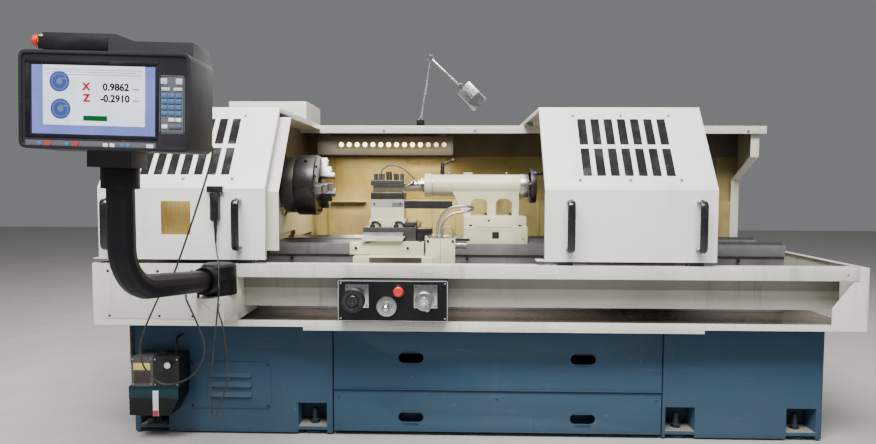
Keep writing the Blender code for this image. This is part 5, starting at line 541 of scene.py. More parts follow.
def add_tube(shape, route, radius, steps, uv=None):
    """A round tube along points, with UVs in metres along it and turns around it."""
    points = [Vector(p) for p in route]
    _, one, _ = axis_frame(points[1] - points[0])
    rings, along, distance = [], [], 0.0
    for i, point in enumerate(points):
        before, after = points[max(i - 1, 0)], points[min(i + 1, len(points) - 1)]
        ahead = (after - before).normalized()
        one = (one - ahead * one.dot(ahead)).normalized()
        wide = radius(i / (len(points) - 1)) if callable(radius) else radius
        rings.append(ring_of(shape, point, one, ahead.cross(one), wide, steps))
        distance += (point - before).length
        along.append(distance)
    for i, (a, b) in enumerate(zip(rings, rings[1:])):
        for k in range(steps):
            face = shape.faces.new([a[k], a[(k + 1) % steps], b[(k + 1) % steps], b[k]])
            corners = ((i, k), (i, k + 1), (i + 1, k + 1), (i + 1, k)) if uv else ()
            for loop, (row, turn) in zip(face.loops, corners):
                loop[uv].uv = (along[row], turn / steps)
    shape.faces.new(list(reversed(rings[0])))
    shape.faces.new(rings[-1])
    bmesh.ops.recalc_face_normals(shape, faces=shape.faces)


def boxes(name, finish, body, slot, soften, *limits, smooth=32.0):
    """A piece made of boxes."""
    shape = bmesh.new()
    for box in limits:
        add_box(shape, box, soften)
    piece_of(name, shape, finish, body, smooth)


def turnings(name, finish, body, slot, steps, axis, profile, *places):
    """A piece with one turned profile at each place."""
    shape = bmesh.new()
    for place in places:
        add_turned(shape, place, axis, profile, steps)
    piece_of(name, shape, finish, body)


# ---- Cords ----

PENDANT_CABLE = (
    (-0.96, -1.2395, 1.36), (-0.96, -1.228, 1.36), (-0.948, -1.19, 1.32), (-0.938, -1.175, 1.25),
    (-1.165, -0.94, 0.855), (-1.215, -0.93, 0.775), (-1.269, -0.9, 0.701), (-1.346, -0.87, 0.544),
    (-1.351, -0.85, 0.44), (-1.292, -0.85, 0.369), (-1.233, -0.85, 0.361), (-1.154, -0.85, 0.393),
    (-1.102, -0.85, 0.472), (-1.091, -0.87, 0.544), (-1.11, -0.91, 0.642), (-1.1295, -0.945, 0.725),
    (-1.1295, -0.945, 0.7433),
)
HANDSET_CABLE = (
    (-1.135, -0.6053, 0.9345), (-1.135, -0.6053, 0.915), (-1.11, -0.66, 0.878), (-1.057, -0.79, 0.85),
    (-1.043, -0.83, 0.773), (-1.037, -0.85, 0.717), (-1.071, -0.86, 0.341), (-1.059, -0.86, 0.227),
    (-1.013, -0.86, 0.341), (-0.996, -0.865, 0.416), (-1.013, -0.868, 0.59), (-1.035, -0.856, 0.655),
    (-1.045, -0.835, 0.68), (-1.045, -0.8205, 0.68),
)
CONDUIT_LOOP = (
    (-0.17, -0.42, 0.9255), (-0.17, -0.42, 0.945), (-0.168, -0.428, 0.975), (-0.158, -0.45, 1.015),
    (-0.135, -0.472, 1.05), (-0.1, -0.486, 1.07), (-0.057, -0.49, 1.076), (-0.021, -0.476, 1.074),
    (-0.002, -0.434, 1.064), (-0.021, -0.392, 1.052), (-0.056, -0.378, 1.045), (-0.1, -0.378, 1.036),
    (-0.135, -0.379, 1.01), (-0.151, -0.38, 0.972), (-0.152, -0.38, 0.945), (-0.152, -0.38, 0.9255),
)
CONDUIT_SHORT = (
    (-0.146, -0.335, 0.9255), (-0.146, -0.335, 0.938), (-0.1435, -0.335, 0.956), (-0.134, -0.335, 0.968),
    (-0.121, -0.335, 0.972), (-0.108, -0.335, 0.968), (-0.0985, -0.335, 0.956), (-0.096, -0.335, 0.938),
    (-0.096, -0.335, 0.9255),
)
COOLANT_LINE = (
    (-0.45, -0.25, 1.1925), (-0.45, -0.25, 1.215), (-0.44, -0.25, 1.245), (-0.404, -0.25, 1.266),
    (-0.367, -0.25, 1.26), (-0.33, -0.25, 1.24), (-0.29, -0.257, 1.205), (-0.27, -0.257, 1.18),
    (-0.27, -0.257, 1.1668),
)
# Where each loose cable is blended between its two ends' bodies
PENDANT_ZONE = ("pendant", "arm", (-0.95, -1.195, 1.32), (-1.1, -1.0, 0.96))
HANDSET_ZONE = ("left_door", "root", (-1.11, -0.66, 0.878), (-1.06, -0.86, 0.42))


def smooth_route(points, radius, spacing):
    """Points every few diameters on a smooth curve through the route's own points, as in the CAD."""
    route = [Vector(p) for p in points]
    dense = []
    for i, (a, b) in enumerate(zip(route, route[1:])):
        before, after = route[max(i - 1, 0)], route[min(i + 2, len(route) - 1)]
        for k in range(24):
            t = k / 24
            pull = (b - before) * t + (2 * before - 5 * a + 4 * b - after) * t * t
            dense.append(a + (pull + (3 * a - before - 3 * b + after) * t**3) / 2)
    dense.append(route[-1])
    lengths = [0.0]
    for a, b in zip(dense, dense[1:]):
        lengths.append(lengths[-1] + (b - a).length)
    count = max(8, min(160, round(lengths[-1] / (spacing * 2 * radius))))
    picked, i = [], 0
    for n in range(count + 1):
        target = lengths[-1] * n / count
        while i < len(dense) - 2 and lengths[i + 1] <= target:
            i += 1
        gap = lengths[i + 1] - lengths[i] or 1
        picked.append(dense[i].lerp(dense[i + 1], (target - lengths[i]) / gap))
    return picked


def cord_piece(name, points, radius, finish, slot, body, node, stiffness, sides, spacing):
    """A cord with straight ends, smooth between them."""
    middle = smooth_route(points[1:-1], radius, spacing)
    route = [p + SHIFT for p in (Vector(points[0]), *middle, Vector(points[-1]))]
    shape = bmesh.new()
    add_tube(shape, route, radius, sides, shape.loops.layers.uv.new("UVMap"))
    made = show(name, as_mesh(name, shape), body, [finish], 50.0, node)


def make_cords():
    jacket, sleeve = ("rubber_jacket", "cable_black"), ("braided_sleeve", "conduit_silver")
    cord_piece("pendant_lead", PENDANT_CABLE, 0.0035, *jacket, PENDANT_ZONE, "pendant_cable", "medium", 12,
               2.6)
    cord_piece("handset_lead", HANDSET_CABLE, 0.003, *jacket, HANDSET_ZONE, "handset_cable", "medium", 12,
               2.6)
    cord_piece("carriage_conduit", CONDUIT_LOOP, 0.006, *sleeve, "carriage", "conduit_1", "medium", 20, 0.9)
    cord_piece("sensor_lead", CONDUIT_SHORT, 0.0035, *sleeve, "carriage", "conduit_2", "limp", 16, 1.2)
    cord_piece("coolant_tube", COOLANT_LINE, 0.003, "coolant_hose", "teal_plastic", "cross_slide",
               "coolant_line", "medium", 14, 1.4)


# ---- CAD nodes kept, with better edges and finishes ----

NODE_FINISHES = {
    "base_blue": "left_pedestal right_pedestal louvre_panel chip_drawer coolant_tank",
    "tray_enamel": "tray_floor tray_left_end tray_right_end tray_front_rail",
    "cream_enamel": "headstock headstock_guard guard_roof guard_right_end roof_box arm_support_box "
                    "electrical_cabinet",
    "casting_cream": "saddle tailstock_base tailstock_body apron riser",
    "hood_enamel": "left_door right_door",
    "splash_enamel": "rear_guard_panel",
    "bed_grey": "bed",
    "black_powder_coat": "arm_tube arm_bracket lamp_base control_panel",
    "pendant_grey": "pendant_housing",
    "black_moulding": "handset z_handwheel arm_lock_lever lube_unit",
    # The light bar's housing takes the same dark brown: partly its colour, partly painted shade under the
    # roof
    "smoke_and_shade_enamel": "work_light_bar",
    "post_steel": "tool_post",
    "ground_steel": "lead_screw quill",
    "jaw_steel": "jaw_1 jaw_2 jaw_3",
    "turned_steel": "x_handwheel",
    "brown_steel": "clamp_lever",
    "oiled_iron": "spindle cross_slide",
    "chuck_iron": "chuck_body tailstock_handwheel",
    "bright_chrome": "joystick lamp_lower_arm lamp_upper_arm lamp_head",
    "smoked_sheet": "left_window right_window",
    "red_moulding": "stop_button e_stop",
}
ANYWHERE = (-9.0, 9.0)


def zone(x=ANYWHERE, y=ANYWHERE, z=ANYWHERE):
    """The lowest and highest corner of a box, open on the sides that aren't given."""
    return (x[0], y[0], z[0]), (x[1], y[1], z[1])


def pocket_patches(*columns):
    """Dust on each pocket's floor, and the dark bolt that stands on it."""
    for left, right in columns:
        bolt = ((left + right) / 2 - 0.026, (left + right) / 2 + 0.026)
        yield "dusty_paint", zone((left, right), (-0.444, -0.32), (0.03, 0.0405))
        yield "black_oxide", zone(bolt, (-0.412, -0.358), (0.0406, 0.111))


CAD_HANDLES = zone(y=(-0.66, -0.5902), z=(0.855, 1.125))
SHOE_FRONTS = ("black_moulding", zone(y=(-0.6, -0.5), z=(0.8, 0.8394)))
RAIL_WEB, PANEL_DEPTH = (-0.53, -0.49), (-0.8, -0.6602)
# The parts of a node that have another finish, in the machine's frame
PATCHES = {
    "left_pedestal": (*pocket_patches((-1.564, -1.429), (-0.817, -0.682)),),
    "right_pedestal": (*pocket_patches((0.886, 1.021), (1.437, 1.572)),),
    # The tray floor behind the web is oily, and its dark brown is partly painted shade under the rail
    "tray_floor": (("oil_and_shade_tray", zone(y=(-0.506, 0.75), z=(0.545, 0.82))),),
    # The rail's web is painted darker as shade under the overhanging top rail, and darkest in the strip just
    # below it where the rail's shadow falls
    "tray_front_rail": (("web_shade_enamel", zone(y=RAIL_WEB, z=(0.6, 0.7045))),
                        ("shaded_enamel", zone(y=RAIL_WEB, z=(0.7045, 0.7632)))),
    "left_door": (SHOE_FRONTS, ("black_moulding", zone((-1.17, -1.1), (-0.66, -0.5902), (1.126, 1.18)))),
    "right_door": (SHOE_FRONTS,),
    "lube_unit": (("lube_grey", zone(x=(-1.56, -1.444), z=(0.2585, 0.7))),
                  ("green_tank", zone(z=(0.1, 0.2575)))),
    "control_panel": (("ground_steel", zone((-0.558, -0.454), PANEL_DEPTH)),
                      ("ground_steel", zone((-0.264, -0.16), PANEL_DEPTH)),
                      ("turned_steel", zone((-0.425, -0.335), PANEL_DEPTH, (0.6, 0.695)))),
    "apron": (("turned_steel", zone(y=(-0.42, -0.32), z=(0.8395, 1.0))),),
    "tool_post": (("brown_steel", zone(z=(1.0, 1.1335))), ("beige_metal", zone(z=(1.1335, 1.1675))),
                  ("bolt_black", zone(z=(1.1925, 1.3))), ("black_oxide", zone(x=(-0.334, -0.25)))),
    "pendant_housing": (("yellow_enamel", zone((-1.445, -1.365), (-1.395, -1.34), (1.594, 1.66))),),
    "tailstock_body": (("turned_steel", zone(x=(0.2501, 0.4))),),
    "riser": (("plate_grey", zone(z=(1.062, 1.12))),
              ("black_oxide", zone(x=(-0.3345, -0.09), z=(1.05, 1.1)))),
    # Painted shade: the dark brown patches on the splash panel above its ledge, on the guard's end wall
    # behind the chuck and on the roof's underside
    "rear_guard_panel": (("smoke_and_shade_enamel", zone(z=(1.3455, 1.6))), ("cream_enamel", zone(y=(0.6985, 1.2)))),
    "headstock_guard": (("smoke_and_shade_enamel", zone(x=(-0.9915, -0.985), z=(1.06, 1.6))),),
    "guard_roof": (("smoke_and_shade_enamel", zone(y=(0.372, 0.7), z=(1.4, 1.5105))),),
    "bed": (("way_steel", zone(z=(0.8795, 0.9))),),
    "work_light_bar": (("brown_reflector", zone((-0.79, -0.13), (0.4315, 0.48), (1.36, 1.44))),),
}
# Where one flat face of a node carries two finishes: the axis (0 is X) and the place of each dividing plane
CUTS = {
    "left_door": ((2, 0.8393),), "right_door": ((2, 0.8393),), "lube_unit": ((0, -1.444), (2, 0.258)),
    "riser": ((2, 1.062), (0, -0.3345)), "rear_guard_panel": ((2, 1.345),), "headstock_guard": ((2, 1.06),),
    "tray_floor": ((1, -0.507),), "tray_front_rail": ((2, 0.7045),),
}
EDGES = {"left_window": 0.0, "right_window": 0.0, "chuck_body": 0.0005, "joystick": 0.0003, "handset": 0.0006}
USUAL_EDGE = 0.0009


def face_in(face, low, high):
    middle = face.calc_center_median() - SHIFT
    return all(a <= m <= b for a, m, b in zip(low, middle, high))


def without_handles(shape):
    """Takes the CAD's angular handles off a hood, for the rounded ones to stand there."""
    gone = [face for face in shape.faces if face_in(face, *CAD_HANDLES)]
    bmesh.ops.delete(shape, geom=gone, context="FACES")
    bmesh.ops.holes_fill(shape, edges=[edge for edge in shape.edges if edge.is_boundary], sides=0)
    bmesh.ops.recalc_face_normals(shape, faces=shape.faces)


def dressed(node, finish):
    """A copy of a CAD node with its triangles merged, its edges softly broken and its parts painted."""
    source = frame["nodes"][node]
    shape = bmesh.new()
    shape.from_mesh(source.data)
    bmesh.ops.remove_doubles(shape, verts=shape.verts, dist=0.00002)
    if node in ("left_door", "right_door"):
        without_handles(shape)
    bmesh.ops.dissolve_limit(shape, angle_limit=math.radians(0.6), verts=shape.verts, edges=shape.edges)
    for axis, at in CUTS.get(node, ()):
        way = Vector([float(k == axis) for k in range(3)])
        everything = [*shape.verts, *shape.edges, *shape.faces]
        bmesh.ops.bisect_plane(shape, geom=everything, dist=0.00001, plane_co=way * at + SHIFT, plane_no=way)
    patches = PATCHES.get(node, ())
    for index, (_, box) in enumerate(patches, 1):
        for face in shape.faces:
            if face_in(face, *box):
                face.material_index = index
    edge = EDGES.get(node, USUAL_EDGE)
    if edge:
        sharp = [e for e in shape.edges if e.is_manifold and e.calc_face_angle(0.0) > math.radians(27)
                 and e.calc_length() > edge * 4]
        bmesh.ops.bevel(shape, geom=sharp, offset=edge, segments=2, profile=0.6, affect="EDGES",
                        clamp_overlap=True)
    name = node + "_finished"
    show(name, as_mesh(name, shape), source["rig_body"], [finish, *(other for other, _ in patches)],
         50.0 if node == "arm_tube" else 32.0, node)


def dress_nodes():
    """Each CAD node that the cords don't replace."""
    for finish, nodes in NODE_FINISHES.items():
        for node in nodes.split():
            dressed(node, finish)


# ---- What Geometry Nodes repeat ----


def geometry_graph(name, inputs):
    return new_graph(name, "GeometryNodeTree", {"Geometry": "Geometry", **inputs}, {"Geometry": "Geometry"})


def grown(name, tree, mesh, body, values, smooth=35.0):
    """Runs a Geometry Nodes tree on a mesh and keeps what it makes as a plain mesh."""
    holder = bpy.data.objects.new(name + "_points", mesh)
    bpy.context.scene.collection.objects.link(holder)
    modifier = holder.modifiers.new("grow", "NODES")
    modifier.node_group = tree
    for item in tree.interface.items_tree:
        if item.item_type == "SOCKET" and item.in_out == "INPUT" and item.name in values:
            modifier[item.identifier] = values[item.name]
    bpy.context.view_layer.update()
    graph = bpy.context.evaluated_depsgraph_get()
    made = bpy.data.meshes.new_from_object(holder.evaluated_get(graph))
    bpy.data.objects.remove(holder)
    for attribute in list(made.attributes):
        if attribute.name in ("facing", "size", "recess"):
            made.attributes.remove(attribute)
    rounded_smooth(made, smooth)
    made.name = name
    show(name, made, body)


@functools.cache
def repeating_tree():
    """Copies of the given shape, each one step and one turn on from the one before."""
    origin = (0.0, 0.0, 0.0)
    g = geometry_graph("repeating",
                       {"Finish": None, "Count": 5, "Start": origin, "Step": origin, "Turn": origin})
    index = g.put("GeometryNodeInputIndex")
    along, turned = (g.put("ShaderNodeVectorMath", {"operation": "SCALE"}, Vector=g[each], Scale=index)
                     for each in ("Step", "Turn"))
    spots = g.put("GeometryNodePoints", Count=g["Count"], Position=along)
    spots = g.put("GeometryNodeSetPosition", Geometry=spots, Offset=g["Start"])
    g.give(Geometry=g.finished(g.solid(spots, g["Geometry"], Rotation=turned), g["Finish"]))
    return g.tree


def repeated(name, shape, finish, body, count, start, step=(0.0, 0.0, 0.0), turn=(0.0, 0.0, 0.0),
             smooth=32.0):
    """A row or a ring of one shape, which is drawn about the origin."""
    values = {"Finish": FINISHES[finish], "Count": count, "Start": tuple(Vector(start) + SHIFT),
              "Step": tuple(step), "Turn": tuple(turn)}
    grown(name, repeating_tree(), as_mesh(name + "_one", shape), body, values, smooth)


def dial_ticks(name, centre, inner, outer, groups, finish, body, wide=0.0009):
    """Graduations round a dial, each group one long and four short."""
    group = bmesh.new()
    for k in range(5):
        short = (outer - inner) * 0.35 if k else 0.0
        add_box(group, (-wide / 2, wide / 2, -0.0004, 0.0, inner + short, outer),
                turn=Matrix.Rotation(2 * math.pi * k / (5 * groups), 3, "Y"))
    repeated(name, group, finish, body, groups, centre, turn=(0.0, 2 * math.pi / groups, 0.0), smooth=0)


THREAD_START, THREAD_LENGTH, THREAD_TURNS = (-1.04, -0.245, 0.705), 2.5, 208.0
THREAD_CORE, THREAD_CREST = 0.02, 0.0021


def thread_tree():
    """A helical ridge along X from its start."""
    g = geometry_graph("screw_thread", {"Metal": None, "Start": (0.0, 0.0, 0.0)})
    helix = g.put("GeometryNodeCurveSpiral", Resolution=20, Rotations=THREAD_TURNS, Start_Radius=THREAD_CORE,
                  End_Radius=THREAD_CORE, Height=THREAD_LENGTH)
    section = g.put("GeometryNodeCurvePrimitiveCircle", Resolution=6, Radius=THREAD_CREST)
    ridge = g.put("GeometryNodeCurveToMesh", Curve=helix, Profile_Curve=section, Fill_Caps=True)
    lying = g.put("GeometryNodeTransform", Geometry=ridge, Rotation=(0.0, math.radians(90), 0.0))
    placed = g.put("GeometryNodeSetPosition", Geometry=lying, Offset=g["Start"])
    solid = g.put("GeometryNodeRealizeInstances", Geometry=placed)
    g.give(Geometry=g.finished(solid, g["Metal"]))
    return g.tree


# ---- Screws ----

# Body, kind, finish, slot, size, the way it faces, then the places along X, Y and Z
SCREWS = (
    ("left_door", "dome_screw", "brass_plate", "white_paint", 0.0022, FRONT, (-1.377, -1.256), -0.5912,
     (1.092, 0.956)),
    ("root", "cap_screw", "zinc_screw", "black_plastic", 0.005, FRONT, (-0.885, -0.117), 0.43, 1.4),
    ("root", "hex_bolt", "zinc_screw", "cream_paint", 0.0062, FRONT, (-0.501, 0.026, 0.56, 1.11, 1.58), 0.37,
     1.482),
    ("root", "dome_screw", "zinc_screw", "splash_paint", 0.005, FRONT, (-0.32, 0.28, 0.47, 1.07), 0.6772,
     (1.298, 1.1)),
    ("root", "cap_screw", "zinc_screw", "cream_paint", 0.005, UP, (-0.9, -0.3, 0.3, 0.9, 1.55), 0.66, 1.512),
    ("carriage", "dome_screw", "zinc_screw", "steel", 0.0042, FRONT, (-0.577, -0.129), -0.66, (0.598, 0.749)),
    ("carriage", "dome_screw", "black_oxide", "steel", 0.0042, FRONT, (-0.547, -0.465, -0.253, -0.171),
     -0.666, (0.654, 0.736)),
    ("cross_slide", "cap_screw", "black_oxide", "steel", 0.0065, UP, (-0.486, -0.344), (-0.125, -0.205),
     0.972),
    ("cross_slide", "cap_screw", "zinc_screw", "steel", 0.006, UP, (-0.505, -0.3), (-0.05, 0.05, 0.15, 0.225),
     0.966),
    ("cross_slide", "cap_screw", "black_oxide", "steel", 0.0042, FRONT, (-0.478, -0.352), -0.28,
     (0.972, 1.08)),
    ("carriage", "cap_screw", "black_oxide", "cream_paint", 0.0062, FRONT, -0.31, -0.36, 0.872),
    ("carriage", "cap_screw", "black_oxide", "cream_paint", 0.0058, FRONT, (-0.212, -0.098), -0.44,
     (0.802, 0.914)),
    ("carriage", "cap_screw", "black_oxide", "cream_paint", 0.007, UP, -0.252, (-0.335, 0.275), 0.9),
    ("carriage", "cap_screw", "black_oxide", "cream_paint", 0.0062, FRONT, -0.556, -0.362, 0.872),
    ("tailstock", "cap_screw", "black_oxide", "cream_paint", 0.0085, UP, (-0.01, 0.236), (-0.17, 0.17),
     0.965),
    ("tailstock", "dome_screw", "black_oxide", "cream_paint", 0.0058, FRONT, 0.082, -0.14, 0.992),
    ("tailstock", "dome_screw", "zinc_screw", "cream_paint", 0.005, FRONT, (-0.022, 0.248), -0.2, 0.905),
    ("tailstock", "hex_bolt", "oiled_iron", "cream_paint", 0.015, UP, (0.079, 0.207), -0.01, 1.0125),
    ("root", "dome_screw", "black_oxide", "blue_paint", 0.0062, FRONT, (-1.312, -0.957), -0.448,
     (0.135, 0.332)),
    ("chip_drawer", "dome_screw", "base_blue", "blue_paint", 0.0052, FRONT, (-0.625, 0.109, 0.843), -0.449,
     0.492),
    ("coolant_tank", "dome_screw", "base_blue", "blue_paint", 0.0052, FRONT, (-0.625, 0.109, 0.843), -0.449,
     0.185),
    ("root", "cap_screw", "zinc_screw", "blue_paint", 0.006, FRONT, (-1.56, -1.11, -0.69, 0.905, 1.56),
     -0.445, 0.52),
    ("root", "cap_screw", "black_oxide", "dark_iron", 0.0085, FRONT, (-0.9, -0.028, 0.42, 0.86, 1.3), -0.2,
     0.806),
    ("root", "dome_screw", "zinc_screw", "cream_paint", 0.0055, FRONT, 1.6, -0.6, 0.792),
    ("root", "dome_screw", "black_oxide", "cream_paint", 0.0068, FRONT, (-1.6205, -1.398, -1.245), -0.6,
     0.7865),
    ("root", "dome_screw", "black_oxide", "cream_paint", 0.0068, FRONT, (-1.6155, -1.3925, -1.245), -0.6,
     0.588),
    ("root", "dome_screw", "zinc_screw", "steel", 0.0042, FRONT, (-1.536, -1.455, -1.436, -1.335), -0.565,
     (0.268, 0.382)),
    ("root", "cap_screw", "zinc_screw", "cream_paint", 0.005, BACK, (-0.7, 0.0, 0.7, 1.4), 0.7, (0.9, 1.45)),
)
FASTENERS = {}


def fasten(body, kind, finish, slot, size, facing, *places):
    """Notes screws of one kind at these places. Each kind on each body becomes one piece."""
    for place in places:
        FASTENERS.setdefault((body, kind, finish, slot), []).append((Vector(place), Vector(facing), size))


def cylinder_of(g, sides, radius, depth, lift):
    made = g.put("GeometryNodeMeshCylinder", Vertices=sides, Radius=radius, Depth=depth)
    return g.put("GeometryNodeTransform", Geometry=made, Translation=(0, 0, lift))


def recess_of(g, radius, lift):
    """A six-sided recess, marked so that it takes its own finish."""
    return g.put("GeometryNodeStoreNamedAttribute", {"data_type": "BOOLEAN", "domain": "FACE"},
                 Geometry=cylinder_of(g, 6, radius, 0.06, lift), Name="recess", Value=True)


def fastener_tree(kind):
    """Stands one screw head on each point, along its facing attribute and at its size attribute."""
    g = geometry_graph(kind, {"Head": None, "Socket": None})
    if kind == "hex_bolt":
        parts = [cylinder_of(g, 24, 1.28, 0.16, 0.08), cylinder_of(g, 6, 1.0, 0.7, 0.45),
                 cylinder_of(g, 20, 0.82, 0.12, 0.83)]
    elif kind == "cap_screw":
        parts = [cylinder_of(g, 20, 1.0, 0.9, 0.45), cylinder_of(g, 20, 0.9, 0.12, 0.93),
                 recess_of(g, 0.52, 0.985)]
    else:
        ball = g.put("GeometryNodeMeshUVSphere", Segments=18, Rings=10, Radius=1.0)
        parts = [g.put("GeometryNodeTransform", Geometry=ball, Scale=(1.0, 1.0, 0.6)),
                 recess_of(g, 0.4, 0.56)]
    whole = g.node("GeometryNodeJoinGeometry")
    for part in parts:
        g.tree.links.new(part, whole.inputs[0])
    held = (("facing", "FLOAT_VECTOR"), ("size", "FLOAT"), ("recess", "BOOLEAN"))
    facing, size, marked = (g.put("GeometryNodeInputNamedAttribute", {"data_type": sort}, Name=name)
                            for name, sort in held)
    turn = g.put("FunctionNodeAlignRotationToVector", {"axis": "Z"}, Vector=facing)
    heads = g.finished(g.solid(g["Geometry"], whole.outputs[0], Rotation=turn, Scale=size), g["Head"])
    g.give(Geometry=g.finished(heads, g["Socket"], Selection=marked))
    return g.tree


def point_mesh(name, rows):
    """Loose points with the way each faces and its size."""
    mesh = bpy.data.meshes.new(name)
    mesh.from_pydata([tuple(place + SHIFT) for place, _, _ in rows], [], [])
    facing = mesh.attributes.new("facing", "FLOAT_VECTOR", "POINT")
    facing.data.foreach_set("vector", [c for _, way, _ in rows for c in way.normalized()])
    size = mesh.attributes.new("size", "FLOAT", "POINT")
    size.data.foreach_set("value", [value for _, _, value in rows])
    return mesh


def make_fasteners():
    for *screw, x, y, z in SCREWS:
        rows = [along if isinstance(along, tuple) else (along,) for along in (x, y, z)]
        fasten(*screw, *itertools.product(*rows))
    trees = {kind: fastener_tree(kind) for kind in ("hex_bolt", "cap_screw", "dome_screw")}
    for (body, kind, finish, slot), rows in sorted(FASTENERS.items()):
        name = f"{body}_{finish}_{kind}s"
        values = {"Head": FINISHES[finish], "Socket": FINISHES["black_oxide"]}
        grown(name, trees[kind], point_mesh(name, rows), body, values)


# ---- Pendant ----

PENDANT_TOP = Vector((-1.194, -1.3, 1.16))
PENDANT_ROLL = Matrix.Rotation(math.radians(1.5), 4, "Y")
SCREEN_LEFT, SCREEN_TOP = Vector((-1.3965, 1.5323))
FACE_Y, GLASS, MILLIMETRE = -1.446, -1.4433, 0.001
KEY_BACK, PAGE, INK = FACE_Y - 0.0006, GLASS - 0.0003, GLASS - 0.0005
LEFT_DIALS = ((86.5, 50), (89.6, 133))


def pendant_piece(name, shape, finish, smooth=32.0):
    """A piece drawn upright and then rolled with the pendant."""
    bmesh.ops.rotate(shape, cent=PENDANT_TOP, matrix=PENDANT_ROLL, verts=shape.verts)
    piece_of(name, shape, finish, "pendant", smooth)


def plate_on(shape, x, down, wide, high, back, proud, soften=0.0):
    """A plate centred x and down from the screen's top left corner, proud of a depth, in millimetres."""
    middle_x, middle_z = SCREEN_LEFT + x * MILLIMETRE, SCREEN_TOP - down * MILLIMETRE
    half_x, half_z = wide * MILLIMETRE / 2, high * MILLIMETRE / 2
    add_box(shape, (middle_x - half_x, middle_x + half_x, back - proud * MILLIMETRE, back, middle_z - half_z,
                    middle_z + half_z), soften * MILLIMETRE)


def plates(name, finish, back, proud, soften, *rows):
    shape = bmesh.new()
    for row in rows:
        plate_on(shape, *row, back, proud, soften)
    pendant_piece(name, shape, finish)


def disc_on(shape, x, down, radius, back, proud, hole=0.0, steps=40):
    at = (SCREEN_LEFT + x * MILLIMETRE, back, SCREEN_TOP - down * MILLIMETRE)
    inner, outer, depth = hole * MILLIMETRE, radius * MILLIMETRE, proud * MILLIMETRE
    rim = [(0, outer), (depth * 0.6, outer), (depth, outer * 0.96)]
    add_turned(shape, at, FRONT, looped((0, inner), *rim, (depth, inner)) if hole else closed(*rim), steps)


def lettering(shape, words, size, x, down, weight):
    """Plain figures on the screen, in the built-in face."""
    curve = bpy.data.curves.new("figures", "FONT")
    curve.body = words
    curve.size = size * MILLIMETRE
    curve.align_x, curve.align_y = "CENTER", "CENTER"
    curve.offset = size * MILLIMETRE * weight
    curve.resolution_u = 4
    holder = bpy.data.objects.new("figures", curve)
    mesh = bpy.data.meshes.new_from_object(holder)
    at = Vector((SCREEN_LEFT + x * MILLIMETRE, INK, SCREEN_TOP - down * MILLIMETRE))
    mesh.transform(Matrix.Translation(at) @ Matrix.Rotation(math.radians(90), 4, "X"))
    shape.from_mesh(mesh)
    bpy.data.objects.remove(holder)


def screen_details():
    plates("screen_page", "screen_white", GLASS, 0.3, 0.0, (193.5, 91, 317, 182))
    plates("screen_bars", "screen_lavender", GLASS, 0.3, 0.0, (17.5, 91, 35, 182), (368, 91, 32, 182),
           (192, 196, 384, 28))
    plates("screen_button", "screen_green", PAGE, 0.3, 0.0, (197.5, 160, 75, 16))
    rules = [(193, 13 + 7.5 * k, 300 - 40 * (k % 2), 1.6) for k in range(3)]
    rules += [(30 + 42 * k, 196, 1.4, 26) for k in range(9)]
    rules += [(17.5, 22 + 26 * k, 22, 1.6) for k in range(6)]
    rules += [(368, 22 + 26 * k, 20, 1.6) for k in range(6)]
    rules += [(325, 70, 20, 4), (325, 104, 20, 4)]
    plates("screen_rules", "screen_grey", PAGE, 0.2, 0.0, *rules)
    dials, needles, figures, axes = (bmesh.new() for _ in range(4))
    for x, down in LEFT_DIALS:
        disc_on(dials, x, down, 31.5, PAGE, 0.3)
        disc_on(needles, x, down, 25.0, PAGE - 0.0003, 0.2, hole=22.5)
        disc_on(needles, x, down, 9.0, PAGE - 0.0003, 0.2)
        plate_on(needles, x + 9, down - 9, 26, 4, PAGE - 0.0003, 0.2)
    for words, x, down in (("0.9862", 262, 64.7), ("-0.2910", 259, 99.5)):
        lettering(figures, words, 30, x, down, 0.04)
    for words, x, down in (("X", 169.7, 64.7), ("Z", 170.6, 99.5)):
        lettering(axes, words, 31, x, down, 0.06)
    pendant_piece("screen_dials", dials, "screen_dial")
    pendant_piece("screen_needles", needles, "screen_grey")
    pendant_piece("screen_figures", figures, "screen_ink", 0)
    pendant_piece("screen_axes", axes, "screen_red", 0)


def keypad_details():
    plates("keypad_frame", "key_frame", FACE_Y, 0.6, 0.0, (437.5, 26, 78, 4), (437.5, 199, 78, 4),
           (400.5, 112.5, 4, 176), (474.5, 112.5, 4, 176), (437.5, 112.5, 74, 172))
    plates("number_keys", "key_blue", KEY_BACK, 2.2, 1.2,
           *[(x, down, 18, 13.5) for x in (413.5, 435.5, 457.5) for down in (85.3, 103.0, 121.0, 139.0)])
    plates("end_keys", "key_light", KEY_BACK, 2.2, 1.2, (412.5, 42.3, 20, 18), (459, 42.3, 20, 18),
           (417.6, 65.7, 26, 10), (455, 65.7, 26, 10))
    plates("edit_keys", "key_white", KEY_BACK, 2.2, 1.2, (435.9, 158.5, 18, 12), (457.3, 158.5, 18, 12),
           (414.5, 179.1, 18, 12))
    plates("enter_key", "key_frame", KEY_BACK, 2.6, 1.2, (447, 179.1, 40, 12))
    plates("lower_strip", "key_frame", FACE_Y, 0.6, 0.0, (184, 241.5, 406, 23))
    plates("strip_blue_keys", "key_blue", KEY_BACK, 2.0, 1.0, (24.5, 241.5, 15, 13), (111, 241.5, 15, 13),
           (283.7, 241.5, 13, 13), (300.5, 241.5, 13, 13))
    plates("strip_white_keys", "key_white", KEY_BACK, 2.0, 1.0, (231, 241.5, 15, 12), (252.2, 241.5, 15, 12),
           (369.6, 241.5, 22, 12))
    rounds = bmesh.new()
    for x in (50.7, 137.0):
        disc_on(rounds, x, 241.0, 9.5, KEY_BACK, 2.6, steps=28)
    pendant_piece("strip_red_keys", rounds, "key_red")


